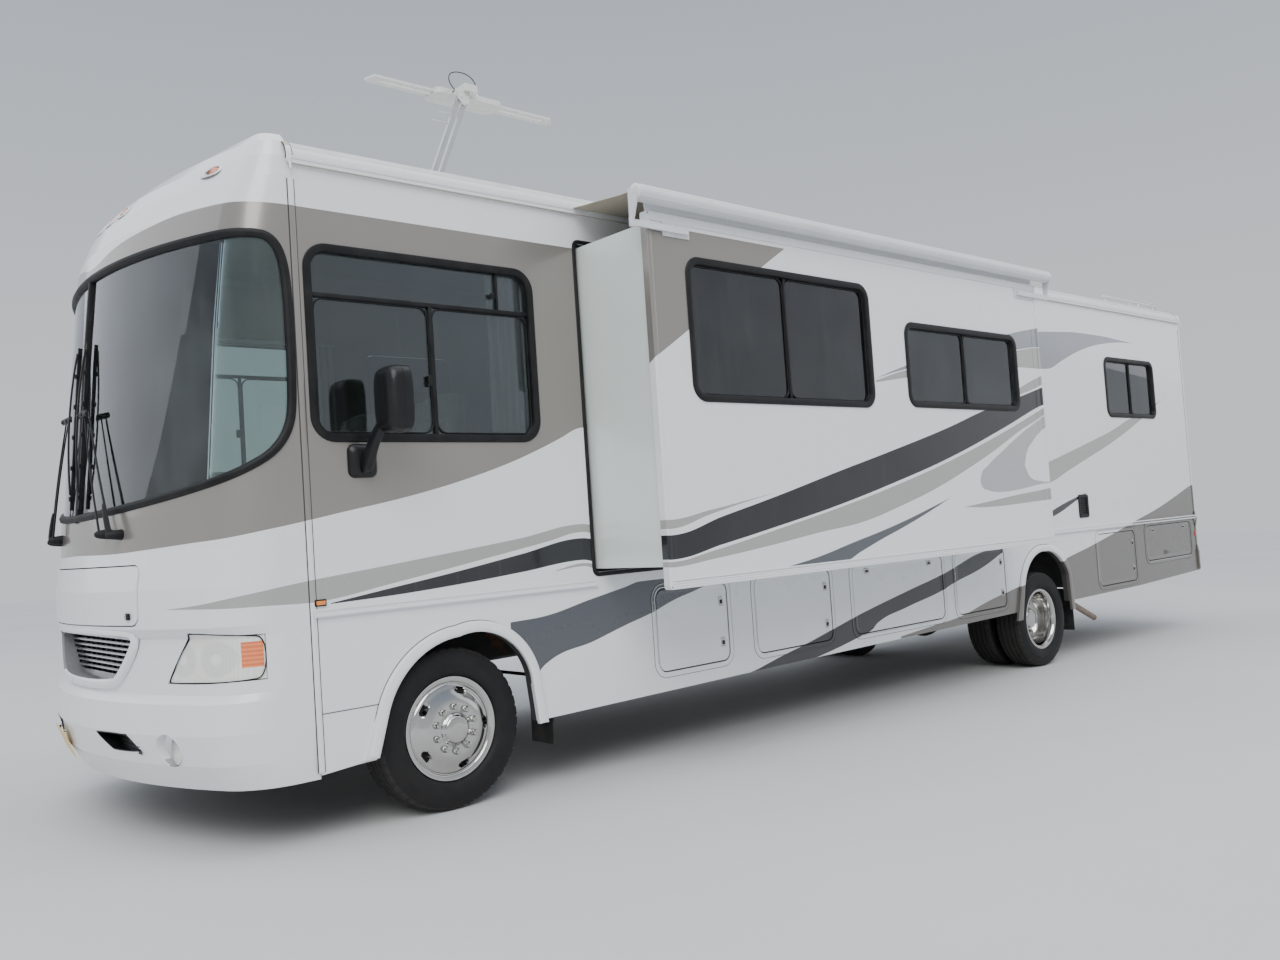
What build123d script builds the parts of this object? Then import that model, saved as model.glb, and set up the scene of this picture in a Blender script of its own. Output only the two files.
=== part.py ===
from build123d import *
import os
from math import asin, atan2, cos, degrees, pi, radians, sin, sqrt, tan

os.makedirs("parts", exist_ok=True)

# A front-engined motorhome, 2.54 m wide, with one slide-out room on the driver's side.
# Working frame while modelling (mm): x across, + towards the driver's side; y along, the
# front axle at 0 and the rear at +WHEELBASE; z up, the front axle at FRONT_AXLE_Z, the body level.
# park() at the end leans the whole body RAKE degrees nose down onto its wheels.

# ------------------------------------------------------------------ driving dimensions
HALF_W = 1270          # half width over the side walls
WALL = 50              # side wall and skirt thickness
SKIN = 35              # thickness of the moulded front cap
SEAM_Y = -735          # where the front cap meets the side walls
REAR_Y = 9431          # where the side walls meet the rear cap
TAIL_Y = 9525          # back of the rear cap
FLOOR_BOT, FLOOR_TOP = 980, 1040
WALL_TOP = 3190
ROOF_EDGE_TOP = 3310   # top of the roof's rounded edge
CROWN = 3350           # top of the roof on the centre line
WHEELBASE = 6031
FRONT_AXLE_Z, REAR_AXLE_Z = 400, 309
RAKE = degrees(asin((FRONT_AXLE_Z - REAR_AXLE_Z) / WHEELBASE))
TYRE_R = 412           # rolling radius of a 245/70R19.5 tyre
TYRE_W = 245
BEAD_R = 248
RIM_R = 264            # rim flange
RIM_W = 190            # over the flanges
FRONT_WHEEL_X = 1112   # tyre centres
REAR_OUTER_X, REAR_INNER_X = 1122, 836
KINGPIN_X = 890
KINGPIN_R = 20
SPINDLE_R = 30         # front spindle, 0.05 mm loose in its hub
REAR_SPINDLE_R = 45
FIT = 0.05
SLIDE_X = 1870         # outer face of the extended room
SLIDE_T = 45           # fascia thickness
SLIDE_Y0, SLIDE_Y1 = 985, 5028       # outer faces of the room's end walls
FASCIA_Y0, FASCIA_Y1 = 978, 5130
FASCIA_Z0, FASCIA_Z1 = 1020, 3050
SLIDE_Z0, SLIDE_Z1 = 1139, 2989      # underside and top of the room
TUBE_R = 45            # slide-topper roll tube with its fabric
ORIGIN_X, ORIGIN_Y = 185, 4100       # working-frame place of the row's origin

# windows: opening in the wall (y0, y1, z0, z1, corner radius)
DRIVER_WINDOW = (-665, 607, 1895, 2785, 90)
REAR_WINDOW = (7582, 8640, 2150, 2685, 60)
DINETTE_WINDOW = (1280, 2882, 2060, 2805, 70)
GALLEY_WINDOW = (3328, 4737, 2075, 2595, 60)
KERB_WINDOW = (2700, 3900, 2100, 2650, 60)
SLIDE_OPENING = (968, 5048, 1120, 3010, 8)
ENTRY = (940, 1640, 770, 2770, 40)   # opening of the entry door on the kerb side
REAR_GLASS = (-450, 450, 1950, 2600, 60)   # x0, x1, z0, z1 in the rear cap

# compartment doors (y0, y1, z0, z1, hinge): leaves, 6 mm smaller than their openings all round
STREET_DOORS = [
    (1412, 2012, 490, 975, "front"),
    (2284, 3052, 490, 975, "front"),
    (3320, 4455, 490, 975, "bottom"),
    (4652, 5392, 490, 975, "front"),
    (7110, 7905, 500, 985, "front"),
    (8180, 9285, 665, 1010, "bottom"),
]
KERB_DOORS = [
    (2284, 3052, 490, 975, "front"),
    (7110, 7905, 500, 985, "front"),
]
DOOR_GAP = 6
DOOR_T = 35

# front cap sections, bottom to top: z, nose, half width, corner radius, bow radius.
# nose is how far the middle of the front stands ahead of the front axle.
CAP = [
    (300, 1345, 1258, 300, 2600),
    (420, 1415, 1266, 300, 2650),
    (560, 1449, 1270, 300, 2700),
    (700, 1440, 1270, 300, 2700),
    (735, 1395, 1270, 300, 2700),
    (990, 1390, 1270, 300, 2700),
    (1040, 1432, 1270, 300, 2650),
    (1220, 1432, 1270, 300, 2600),
    (1400, 1405, 1270, 300, 2600),
    (1570, 1395, 1270, 300, 2600),
    (2000, 1357, 1270, 300, 2600),
    (2400, 1322, 1270, 300, 2600),
    (2850, 1275, 1270, 290, 2600),
    (2990, 1248, 1270, 280, 2600),
    (3120, 1192, 1268, 210, 2700),
    (3220, 1122, 1258, 150, 3100),
    (3300, 1030, 1232, 100, 4000),
    (3345, 940, 1185, 70, 6000),
    (3370, 850, 1080, 40, 9000),
]

# skirt's bottom edge (y, z)
SKIRT_LINE = [(-735, 318), (-550, 333), (585, 360), (2136, 380), (6545, 425), (7940, 436), (9431, 478)]

# front and rear wheel arches: (y, z) of foot, shoulder, flank, crown, flank, shoulder, foot
FRONT_ARCH = [(-482, 250), (-385, 560), (-215, 785), (30, 868), (345, 803), (468, 610), (510, 250)]
REAR_ARCH = [(5572, 250), (5680, 640), (5800, 820), (6080, 902), (6350, 815), (6465, 670), (6492, 250)]

# antenna: pins in the plane x = ANTENNA_X
ANTENNA_X = 700
MAST_Y, MAST_Z = 376, 3425
MAST_L = 614
MAST_ANGLE = 67        # elevation of the raised mast, leaning rearwards
LINK_DY, LINK_DZ = 32.0, -37.0


# ------------------------------------------------------------------ shared outlines
def outline_points(nose, half, corner, bow):
    """Tangent points of the cap's plan: side, corner middle, bow end; the rest is symmetric."""
    cx = half - corner
    cy = -nose + bow - sqrt((bow - corner) ** 2 - cx ** 2)
    k = bow / (bow - corner)
    tx, ty = cx * k, (-nose + bow) + (cy - (-nose + bow)) * k
    a = atan2(ty - cy, tx - cx) / 2
    return (half, cy), (cx + corner * cos(a), cy + corner * sin(a)), (tx, ty)


def cap_section(nose, half, corner, bow, back):
    """One closed plan section of the front cap, drawn inside a BuildSketch block."""
    side, mid, tip = outline_points(nose, half, corner, bow)
    with BuildLine() as plan:
        Line((-half, back), (-side[0], side[1]))
        ThreePointArc((-side[0], side[1]), (-mid[0], mid[1]), (-tip[0], tip[1]))
        ThreePointArc((-tip[0], tip[1]), (0, -nose), tip)
        ThreePointArc(tip, mid, side)
        Line(side, (half, back))
        Line((half, back), (-half, back))
    make_face(plan.line)


def between(z):
    """The cap's section values at any height, on the straight line between two table rows."""
    for low, high in zip(CAP, CAP[1:]):
        if low[0] <= z <= high[0]:
            t = (z - low[0]) / (high[0] - low[0])
            return tuple(a + (b - a) * t for a, b in zip(low, high))
    return CAP[0] if z < CAP[0][0] else CAP[-1]


def front_y(x, z):
    """Where the cap's outer face stands at a height and a distance from the middle."""
    _, nose, half, corner, bow = between(z)
    side, mid, tip = outline_points(nose, half, corner, bow)
    if abs(x) <= tip[0]:
        return -nose + bow - sqrt(bow ** 2 - x ** 2)
    return side[1] - sqrt(corner ** 2 - (abs(x) - half + corner) ** 2)


def window(y0, y1, z0, z1, r):
    """Rounded opening in a side wall, drawn inside a BuildSketch on Plane.YZ."""
    with Locations(((y0 + y1) / 2, (z0 + z1) / 2)):
        RectangleRounded(y1 - y0, z1 - z0, r)


def arch(points):
    """A wheel arch drawn inside a BuildSketch on Plane.YZ: foot line, two arcs, foot line."""
    foot0, sh0, fl0, crown, fl1, sh1, foot1 = points
    with BuildLine() as outline:
        Line(foot0, sh0)
        ThreePointArc(sh0, fl0, crown)
        ThreePointArc(crown, fl1, sh1)
        Line(sh1, foot1)
        Line(foot1, foot0)
    make_face(outline.line)


def grown(points, d):
    """An arch's points moved outwards by d from its middle, its feet on the same level."""
    cy = (points[0][0] + points[-1][0]) / 2
    cz = 450
    out = []
    for y, z in points:
        n = sqrt((y - cy) ** 2 + (z - cz) ** 2)
        out.append((y + d * (y - cy) / n, z + d * (z - cz) / n if z > 400 else z))
    return out


# ------------------------------------------------------------------ chassis
HITCH_PIN_Y = 9590                 # pin hole of the hitch receiver
RAIL_X, RAIL_W = 392, 80           # frame rails
RAIL_Z0, RAIL_Z1 = 620, 860
with BuildPart() as chassis_frame:
    for side in (-1, 1):
        with BuildSketch(Plane.YZ.offset(side * RAIL_X - RAIL_W / 2)):
            with BuildLine():
                Polyline((-1180, 660), (-1180, RAIL_Z1), (9300, RAIL_Z1), (9300, 640), (6700, RAIL_Z0),
                         (6500, 700), (5560, 700), (5300, RAIL_Z0), (-700, RAIL_Z0), (-1180, 660))
            make_face()
        extrude(amount=RAIL_W)
    for y in (-1140, -700, 900, 2300, 3700, 5100, 6900, 8100, 9260):   # crossmembers
        with BuildSketch(Plane.XY.offset(740)):
            with Locations((0, y)):
                Rectangle(2 * RAIL_X - RAIL_W - 1, 70)
        extrude(amount=100)
    for y in (880, 2160, 3180, 4560, 5450, 7000, 8040, 9340):          # outriggers under the floor
        with BuildSketch(Plane.XY.offset(RAIL_Z1 + 0.5)):
            with Locations((0, y)):
                Rectangle(2380, 60)
        extrude(amount=FLOOR_BOT - RAIL_Z1 - 0.5)
    # fuel tank between the rails behind the rear axle, on two straps' worth of crossmember
    with BuildSketch(Plane.XY.offset(560)):
        with Locations((0, 7500)):
            RectangleRounded(2 * RAIL_X - RAIL_W - 1, 1060, 60)
    extrude(amount=200)
    # hitch receiver under the rear crossmember: drop plates and a square tube with a pin hole
    with BuildSketch(Plane.XY.offset(500)):
        with Locations((-150, 9260), (150, 9260)):
            Rectangle(16, 70)
    extrude(amount=242)
    with BuildSketch(Plane.XZ.offset(-9225)):
        with Locations((0, 535)):
            Rectangle(320, 70)
    extrude(amount=-70)
    with BuildSketch(Plane.XZ.offset(-9150)):
        with Locations((0, 535)):
            Rectangle(64, 64)
    extrude(amount=-480)
    with BuildSketch(Plane.XZ.offset(-9200)):
        with Locations((0, 535)):
            Rectangle(51, 51)
    extrude(amount=-440, mode=Mode.SUBTRACT)
    with BuildSketch(Plane.YZ.offset(-60)):
        with Locations((HITCH_PIN_Y, 535)):
            Circle(8)
    extrude(amount=120, mode=Mode.SUBTRACT)

with BuildPart() as engine_block:
    with BuildSketch(Plane.XY.offset(640)):
        with Locations((0, -180)):
            Rectangle(620, 900)
    extrude(amount=320)
    with BuildSketch(Plane.XZ.offset(-270)):
        with Locations((0, 700)):
            Circle(150)
    extrude(amount=-560)

# ------------------------------------------------------------------ axles, steering, wheels
LEAF_X = 450
with BuildPart() as front_axle:
    with BuildSketch(Plane.XY.offset(FRONT_AXLE_Z - 45)):              # eyes for the kingpins
        with Locations((-KINGPIN_X, 0), (KINGPIN_X, 0)):
            Circle(45)
    extrude(amount=90)
    with BuildSketch(Plane.XY.offset(FRONT_AXLE_Z - 42)):
        Rectangle(2 * KINGPIN_X - 60, 62)
    extrude(amount=84)
    for side in (-1, 1):                                               # leaf packs, U-bolts, hangers
        with BuildSketch(Plane.YZ.offset(side * LEAF_X - 38)):
            with BuildLine():
                Polyline((-650, 560), (-620, 520), (-80, 442), (80, 442), (620, 520), (650, 560),
                         (620, 545), (80, 500), (-80, 500), (-620, 545), (-650, 560))
            make_face()
        extrude(amount=76)
        with BuildSketch(Plane.YZ.offset(side * (LEAF_X - 17))):
            with Locations((-635, 600), (635, 600)):
                Rectangle(60, 150)
        extrude(amount=side * 40)
    with BuildSketch(Plane.XY.offset(FRONT_AXLE_Z - 60)):
        with Locations((-KINGPIN_X, 0), (KINGPIN_X, 0)):
            Circle(KINGPIN_R + FIT)
    extrude(amount=120, mode=Mode.SUBTRACT)

with BuildPart() as rear_axle:
    with BuildSketch(Plane.YZ.offset(-690)):
        with Locations((WHEELBASE, REAR_AXLE_Z)):
            Circle(58)
    extrude(amount=1380)
    with Locations(Location((0, WHEELBASE, REAR_AXLE_Z))):
        Sphere(190)
    with BuildSketch(Plane.YZ.offset(-1098)):
        with Locations((WHEELBASE, REAR_AXLE_Z)):
            Circle(REAR_SPINDLE_R)
    extrude(amount=2196)
    for side in (-1, 1):
        with BuildSketch(Plane.YZ.offset(side * LEAF_X - 38)):
            with BuildLine():
                Polyline((5330, 560), (5370, 500), (5950, 362), (6110, 362), (6690, 500), (6730, 560),
                         (6690, 530), (6110, 440), (5950, 440), (5370, 530), (5330, 560))
            make_face()
        extrude(amount=76)
        with BuildSketch(Plane.YZ.offset(side * (LEAF_X - 17))):
            with Locations((5345, 610), (6715, 610)):
                Rectangle(60, 150)
        extrude(amount=side * 40)
    # drive shaft to the gearbox
    with BuildSketch(Plane.XZ.offset(-5850)):
        with Locations((0, REAR_AXLE_Z + 40)):
            Circle(40)
    with BuildSketch(Plane.XZ.offset(-960)):
        with Locations((0, 640)):
            Circle(40)
    loft()

knuckles = []
for side, name in ((1, "left_knuckle"), (-1, "right_knuckle")):
    with BuildPart() as knuckle:
        with BuildSketch(Plane.XY.offset(FRONT_AXLE_Z - 78)):          # lower and upper lug
            with Locations((side * KINGPIN_X, 0)):
                Circle(42)
            with Locations((side * (KINGPIN_X + 40), 0)):
                Rectangle(80, 70)
        extrude(amount=30)
        with BuildSketch(Plane.XY.offset(FRONT_AXLE_Z + 48)):
            with Locations((side * KINGPIN_X, 0)):
                Circle(42)
            with Locations((side * (KINGPIN_X + 40), 0)):
                Rectangle(80, 70)
        extrude(amount=30)
        with BuildSketch(Plane.XY.offset(FRONT_AXLE_Z - 78)):          # web outside the axle's eye
            with Locations((side * (KINGPIN_X + 66), 0)):
                Rectangle(28, 70)
        extrude(amount=156)
        with BuildSketch(Plane.XY.offset(FRONT_AXLE_Z - 78)):          # kingpin
            with Locations((side * KINGPIN_X, 0)):
                Circle(KINGPIN_R)
        extrude(amount=156)
        with BuildSketch(Plane.YZ.offset(side * (KINGPIN_X + 60))):    # spindle
            with Locations((0, FRONT_AXLE_Z)):
                Circle(SPINDLE_R)
        extrude(amount=side * 240)
        with BuildSketch(Plane.XY.offset(FRONT_AXLE_Z - 78)):          # steering arm
            with BuildLine():
                Polyline((side * (KINGPIN_X - 30), 20), (side * (KINGPIN_X + 30), 20),
                         (side * (KINGPIN_X + 22), 234), (side * (KINGPIN_X - 22), 234),
                         (side * (KINGPIN_X - 30), 20))
            make_face()
        extrude(amount=24)
        with BuildSketch(Plane.XY.offset(FRONT_AXLE_Z - 90)):          # hole for the tie rod's ball pin
            with Locations((side * KINGPIN_X, 210)):
                Circle(9.05 if side > 0 else 9.6)
        extrude(amount=60, mode=Mode.SUBTRACT)
    knuckles.append((knuckle, name))

with BuildPart() as tie_rod:
    with BuildSketch(Plane.YZ.offset(-KINGPIN_X)):
        with Locations((210, FRONT_AXLE_Z - 104)):
            Circle(17)
    extrude(amount=2 * KINGPIN_X)
    with BuildSketch(Plane.XY.offset(FRONT_AXLE_Z - 104)):
        with Locations((-KINGPIN_X, 210), (KINGPIN_X, 210)):
            Circle(9)
    extrude(amount=58)


def revolved_about_x(points, x0, z0, y0):
    """Sketch of (axial, radial) points revolved about the wheel's own axle line."""
    with BuildSketch(Plane.XZ.offset(-y0)) as section:
        with BuildLine():
            Polyline(*[(x0 + a, z0 + r) for a, r in points], (x0 + points[0][0], z0 + points[0][1]))
        make_face()
    revolve(section.sketch, axis=Axis((x0, y0, z0), (1, 0, 0)))


# sections as (axial from the rim's middle, + outboard; radius)
TYRE = [(-80, BEAD_R), (-80, 266), (-104, 270), (-118, 292), (-TYRE_W / 2, 335), (-114, 385), (-98, TYRE_R - 6),
        (-60, TYRE_R), (60, TYRE_R), (98, TYRE_R - 6), (114, 385), (TYRE_W / 2, 335), (118, 292), (104, 270),
        (80, 266), (80, BEAD_R)]
FRONT_RIM = [(-95, 222), (-95, RIM_R), (-84, RIM_R), (-80, BEAD_R), (80, BEAD_R), (84, RIM_R), (98, RIM_R), (98, 242),
             (88, 234), (96, 206), (118, 170), (130, 135), (132, 90), (136, 66), (156, 60), (162, 40), (162, 0),
             (84, 0), (84, SPINDLE_R + FIT), (-80, SPINDLE_R + FIT), (-80, 90), (60, 95), (100, 120), (90, 165),
             (66, 205), (60, 220)]
REAR_OUTER_RIM = [(-95, 222), (-95, RIM_R), (-84, RIM_R), (-80, BEAD_R), (80, BEAD_R), (84, RIM_R), (98, RIM_R),
                  (98, 242), (85, 230), (-40, 218), (-80, 196), (-128, 160), (-128, 118), (-70, 112), (-20, 100),
                  (10, 84), (14, 60), (14, 0), (-22, 0), (-22, REAR_SPINDLE_R + FIT), (-143, REAR_SPINDLE_R + FIT),
                  (-143, 160), (-105, 200)]
REAR_INNER_RIM = [(-95, 222), (-95, RIM_R), (-84, RIM_R), (-80, BEAD_R), (80, BEAD_R), (84, RIM_R), (95, RIM_R),
                  (95, 224), (112, 200), (143, 160), (143, REAR_SPINDLE_R + FIT), (60, REAR_SPINDLE_R + FIT),
                  (60, 110), (118, 120), (118, 150), (85, 205), (60, 220)]

wheels = []
for side, where in ((1, "left"), (-1, "right")):
    with BuildPart() as front_tyre:
        revolved_about_x([(side * a, r) for a, r in TYRE], side * FRONT_WHEEL_X, FRONT_AXLE_Z, 0)
    with BuildPart() as front_rim:
        revolved_about_x([(side * a, r) for a, r in FRONT_RIM], side * FRONT_WHEEL_X, FRONT_AXLE_Z, 0)
    with BuildPart() as rear_tyres:
        revolved_about_x([(side * a, r) for a, r in TYRE], side * REAR_OUTER_X, REAR_AXLE_Z, WHEELBASE)
        revolved_about_x([(side * a, r) for a, r in TYRE], side * REAR_INNER_X, REAR_AXLE_Z, WHEELBASE)
    with BuildPart() as rear_rims:
        revolved_about_x([(side * a, r) for a, r in REAR_OUTER_RIM], side * REAR_OUTER_X, REAR_AXLE_Z, WHEELBASE)
        revolved_about_x([(side * a, r) for a, r in REAR_INNER_RIM], side * REAR_INNER_X, REAR_AXLE_Z, WHEELBASE)
    wheels += [(front_tyre, "front_" + where + "_tyre"), (front_rim, "front_" + where + "_wheel"),
               (rear_tyres, "rear_" + where + "_tyres"), (rear_rims, "rear_" + where + "_wheels")]

# ------------------------------------------------------------------ exhaust
with BuildPart() as exhaust_pipe:
    with BuildLine() as pipe_path:
        Polyline((215, 1000, 650), (215, 6600, 650), (215, 6720, 430), (1120, 6720, 400), (1120, 7230, 190))
    with BuildSketch(Plane(origin=pipe_path.line @ 0, z_dir=(0, 1, 0))):
        Circle(27)
    sweep(transition=Transition.RIGHT)
    with BuildSketch(Plane.XZ.offset(-2380)):                          # silencer
        with Locations((215, 650)):
            Ellipse(115, 80)
    extrude(amount=-800)

# open-fronted luggage boxes behind the compartment doors
BOX_T = 4
with BuildPart() as compartment_boxes:
    for side, table in ((1, STREET_DOORS), (-1, KERB_DOORS)):
        for y0, y1, z0, z1, hinge in table:
            top = min(z1 + 10, FLOOR_BOT - 2)
            with BuildSketch(Plane.YZ.offset(side * 560)):
                with Locations(((y0 + y1) / 2, (z0 - 10 + top) / 2)):
                    Rectangle(y1 - y0 + 20, top - z0 + 10)
            extrude(amount=side * (HALF_W - WALL - 560))
    for side, table in ((1, STREET_DOORS), (-1, KERB_DOORS)):
        for y0, y1, z0, z1, hinge in table:
            top = min(z1 + 10, FLOOR_BOT - 2)
            with BuildSketch(Plane.YZ.offset(side * (560 + BOX_T))):
                with Locations(((y0 + y1) / 2, (z0 - 10 + top) / 2)):
                    Rectangle(y1 - y0 + 20 - 2 * BOX_T, top - z0 + 10 - 2 * BOX_T)
            extrude(amount=side * (HALF_W - WALL - 560), mode=Mode.SUBTRACT)

# ------------------------------------------------------------------ floor, walls, roof
TRACK_Y = (1600, 4400)
with BuildPart() as floor:
    with BuildSketch(Plane.XY.offset(FLOOR_BOT)):
        with Locations((0, (SEAM_Y + REAR_Y) / 2)):
            Rectangle(2 * (HALF_W - WALL), REAR_Y - SEAM_Y)
        with BuildLine():                                              # cab floor inside the front cap
            Polyline((-1215, SEAM_Y + 5), (-1215, -800), (-1000, -1080), (1000, -1080), (1215, -800),
                     (1215, SEAM_Y + 5), (-1215, SEAM_Y + 5))
        make_face()
    extrude(amount=FLOOR_TOP - FLOOR_BOT)
    with BuildSketch(Plane.XY.offset(FLOOR_BOT - 5)):                  # stair well by the entry door
        with Locations((-975, 1290)):
            Rectangle(520, 720)
    extrude(amount=80, mode=Mode.SUBTRACT)
    with BuildSketch(Plane.XY.offset(700)):
        with Locations((-977.5, 1290)):
            Rectangle(485, 720)
    extrude(amount=340)
    with BuildSketch(Plane.XY.offset(770)):
        with Locations((-990, 1290)):
            Rectangle(470, 680)
    extrude(amount=280, mode=Mode.SUBTRACT)
    with BuildSketch(Plane.XY.offset(FLOOR_BOT)):
        with Locations((-725, 1290)):
            Rectangle(40, 720)
    extrude(amount=FLOOR_TOP - FLOOR_BOT)
    for y in TRACK_Y:                                                  # tracks for the slide-out room
        with BuildSketch(Plane.XY.offset(FLOOR_TOP)):
            with Locations((560, y)):
                Rectangle(1300, 80)
        extrude(amount=SLIDE_Z0 - 5 - FLOOR_TOP)
    for y in (970, 1610):                                              # hangers of the entry step
        with BuildSketch(Plane.XY.offset(440)):
            with Locations((-930, y)):
                Rectangle(300, 16)
        extrude(amount=262)
    with BuildSketch(Plane.XY.offset(FLOOR_BOT - 5)):                  # joints between the floor panels
        with Locations((0, 925), (0, 1655)):
            Rectangle(2 * HALF_W, 0.5)
        with Locations((-703, 1290)):
            Rectangle(0.5, 730)
    extrude(amount=FLOOR_TOP - FLOOR_BOT + 10, mode=Mode.SUBTRACT)

sides = []
for side, name in ((1, "left_wall"), (-1, "right_wall")):
    inner = side * (HALF_W - WALL)
    with BuildPart() as wall:
        with BuildSketch(Plane.YZ.offset(inner)):
            with Locations(((SEAM_Y + REAR_Y) / 2, (FLOOR_TOP + WALL_TOP) / 2)):
                Rectangle(REAR_Y - SEAM_Y, WALL_TOP - FLOOR_TOP)
        extrude(amount=side * WALL)
        rails = [(SEAM_Y, 960), (5150, REAR_Y)] if side > 0 else [(SEAM_Y, 930), (1650, REAR_Y)]
        for y0, y1 in rails:                                           # belt moulding
            with BuildSketch(Plane.YZ.offset(side * HALF_W)):
                with Locations(((y0 + y1) / 2, 1060)):
                    Rectangle(y1 - y0, 40)
            extrude(amount=side * 16)
        openings = [DRIVER_WINDOW, REAR_WINDOW, SLIDE_OPENING] if side > 0 else [
            DRIVER_WINDOW, REAR_WINDOW, KERB_WINDOW, ENTRY]
        for hole in openings:
            with BuildSketch(Plane.YZ.offset(inner - side * 5)):
                window(*hole)
            extrude(amount=side * (WALL + 10), mode=Mode.SUBTRACT)
    sides.append((wall, name))

skirts = []
for side, name, doors in ((1, "left_skirt", STREET_DOORS), (-1, "right_skirt", KERB_DOORS)):
    inner = side * (HALF_W - WALL)
    with BuildPart() as skirt:
        with BuildSketch(Plane.YZ.offset(inner)):
            with BuildLine():
                Polyline(*SKIRT_LINE, (REAR_Y, FLOOR_TOP), (SEAM_Y, FLOOR_TOP), SKIRT_LINE[0])
            make_face()
        extrude(amount=side * WALL)
        for arch_points in (FRONT_ARCH, REAR_ARCH):                    # moulded flares round the arches
            with BuildSketch(Plane.YZ.offset(side * HALF_W)):
                arch([(y, max(z, 345)) for y, z in grown(arch_points, 52)])
            extrude(amount=side * 20)
        for arch_points in (FRONT_ARCH, REAR_ARCH):
            with BuildSketch(Plane.YZ.offset(inner - side * 5)):
                arch(arch_points)
            extrude(amount=side * (WALL + 40), mode=Mode.SUBTRACT)
        for y0, y1, z0, z1, hinge in doors:
            with BuildSketch(Plane.YZ.offset(inner - side * 5)):
                window(y0 - DOOR_GAP, y1 + DOOR_GAP, z0 - DOOR_GAP, z1 + DOOR_GAP, 60)
            extrude(amount=side * (WALL + 10), mode=Mode.SUBTRACT)
        if side < 0:
            with BuildSketch(Plane.YZ.offset(inner + 5)):
                with Locations(((ENTRY[0] + ENTRY[1]) / 2, (ENTRY[2] + 1100) / 2)):
                    Rectangle(ENTRY[1] - ENTRY[0], 1100 - ENTRY[2])
                with Locations((1290, 410)):
                    Rectangle(624, 180)
            extrude(amount=-(WALL + 10), mode=Mode.SUBTRACT)
    skirts.append((skirt, name))


def roof_outline(inset):
    """Cross-section of the roof in XZ: upright edges, rounded shoulders and a crowned top."""
    w = HALF_W - inset * 0.6
    low = WALL_TOP
    s, t, c = 3215 - inset * 0.4, ROOF_EDGE_TOP - inset, CROWN - inset
    with BuildLine() as outline:
        Line((-w, low), (-w, s))
        ThreePointArc((-w, s), (-w + 24, (s + t) / 2 + 22), (-w + 95, t))
        ThreePointArc((-w + 95, t), (0, c), (w - 95, t))
        ThreePointArc((w - 95, t), (w - 24, (s + t) / 2 + 22), (w, s))
        Line((w, s), (w, low))
        Line((w, low), (-w, low))
    make_face(outline.line)


with BuildPart() as roof:
    with BuildSketch(Plane.XZ.offset(-SEAM_Y)):
        roof_outline(0)
    extrude(amount=-(REAR_Y - SEAM_Y))
    with BuildSketch(Plane.XZ.offset(-SEAM_Y + 5)):
        roof_outline(60)
    extrude(amount=-(REAR_Y - SEAM_Y + 10), mode=Mode.SUBTRACT)
    for side in (-1, 1):                                               # drip rails
        with BuildSketch(Plane.XZ.offset(-SEAM_Y)):
            with Locations((side * (HALF_W + 10), 3194)):
                Rectangle(20, 24)
        extrude(amount=-(REAR_Y - SEAM_Y))

with BuildPart() as rear_cap:
    for z0, z1, grow in ((478, WALL_TOP, 0), (478, 700, 14)):
        with BuildSketch(Plane.XY.offset(z0)):
            with BuildLine():
                Line((-HALF_W - grow, REAR_Y), (HALF_W + grow, REAR_Y))
                ThreePointArc((HALF_W + grow, REAR_Y), (HALF_W + grow - 28, REAR_Y + 66), (HALF_W + grow - 95, TAIL_Y + grow))
                Line((HALF_W + grow - 95, TAIL_Y + grow), (-HALF_W - grow + 95, TAIL_Y + grow))
                ThreePointArc((-HALF_W - grow + 95, TAIL_Y + grow), (-HALF_W - grow + 28, REAR_Y + 66), (-HALF_W - grow, REAR_Y))
            make_face()
        extrude(amount=z1 - z0)
    with BuildSketch(Plane.XZ.offset(-REAR_Y)):
        roof_outline(0)
    extrude(amount=-(TAIL_Y - REAR_Y - 30))
    with BuildSketch(Plane.XY.offset(400)):
        with Locations((0, REAR_Y + 20)):
            Rectangle(2 * (HALF_W - WALL), 60)
    extrude(amount=3250 - 400, mode=Mode.SUBTRACT)
    with BuildSketch(Plane.XZ.offset(-REAR_Y + 5)):
        with Locations((0, (REAR_GLASS[2] + REAR_GLASS[3]) / 2)):
            RectangleRounded(REAR_GLASS[1] - REAR_GLASS[0], REAR_GLASS[3] - REAR_GLASS[2], REAR_GLASS[4])
    extrude(amount=-120, mode=Mode.SUBTRACT)
    with BuildSketch(Plane.XZ.offset(-REAR_Y + 5)):                    # the receiver passes through
        with Locations((0, 535)):
            Rectangle(120, 180)
    extrude(amount=-140, mode=Mode.SUBTRACT)

# ------------------------------------------------------------------ front cap
HOOD = (-712, 712, 1054, 1342)       # x0, x1, z0, z1 of the hood's opening
GRILLE = [(-646, 1014), (646, 1014), (436, 785), (-436, 785)]
INTAKE = [(295, 553), (600, 556), (684, 474), (442, 470)]      # driver's side; the other is its mirror
HEADLAMP = [(1000, 1020), (1400, 984), (1400, 795), (842, 787)]
HEADLAMP_BACK = -962                 # where the lamp ends on the side
FOG = (885, 490, 76)                 # x, z, radius of the recess
CLEARANCE_X = (-966, -190, 0, 190, 966)
WINDSHIELD = [(-1700, 1585), (-1420, 1585), (-1300, 1625), (-1160, 1675), (-1000, 1745), (-870, 1825), (-800, 1930),
              (-780, 2050), (-775, 2560), (-790, 2720), (-830, 2810), (-900, 2845), (-1700, 2845)]

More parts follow.
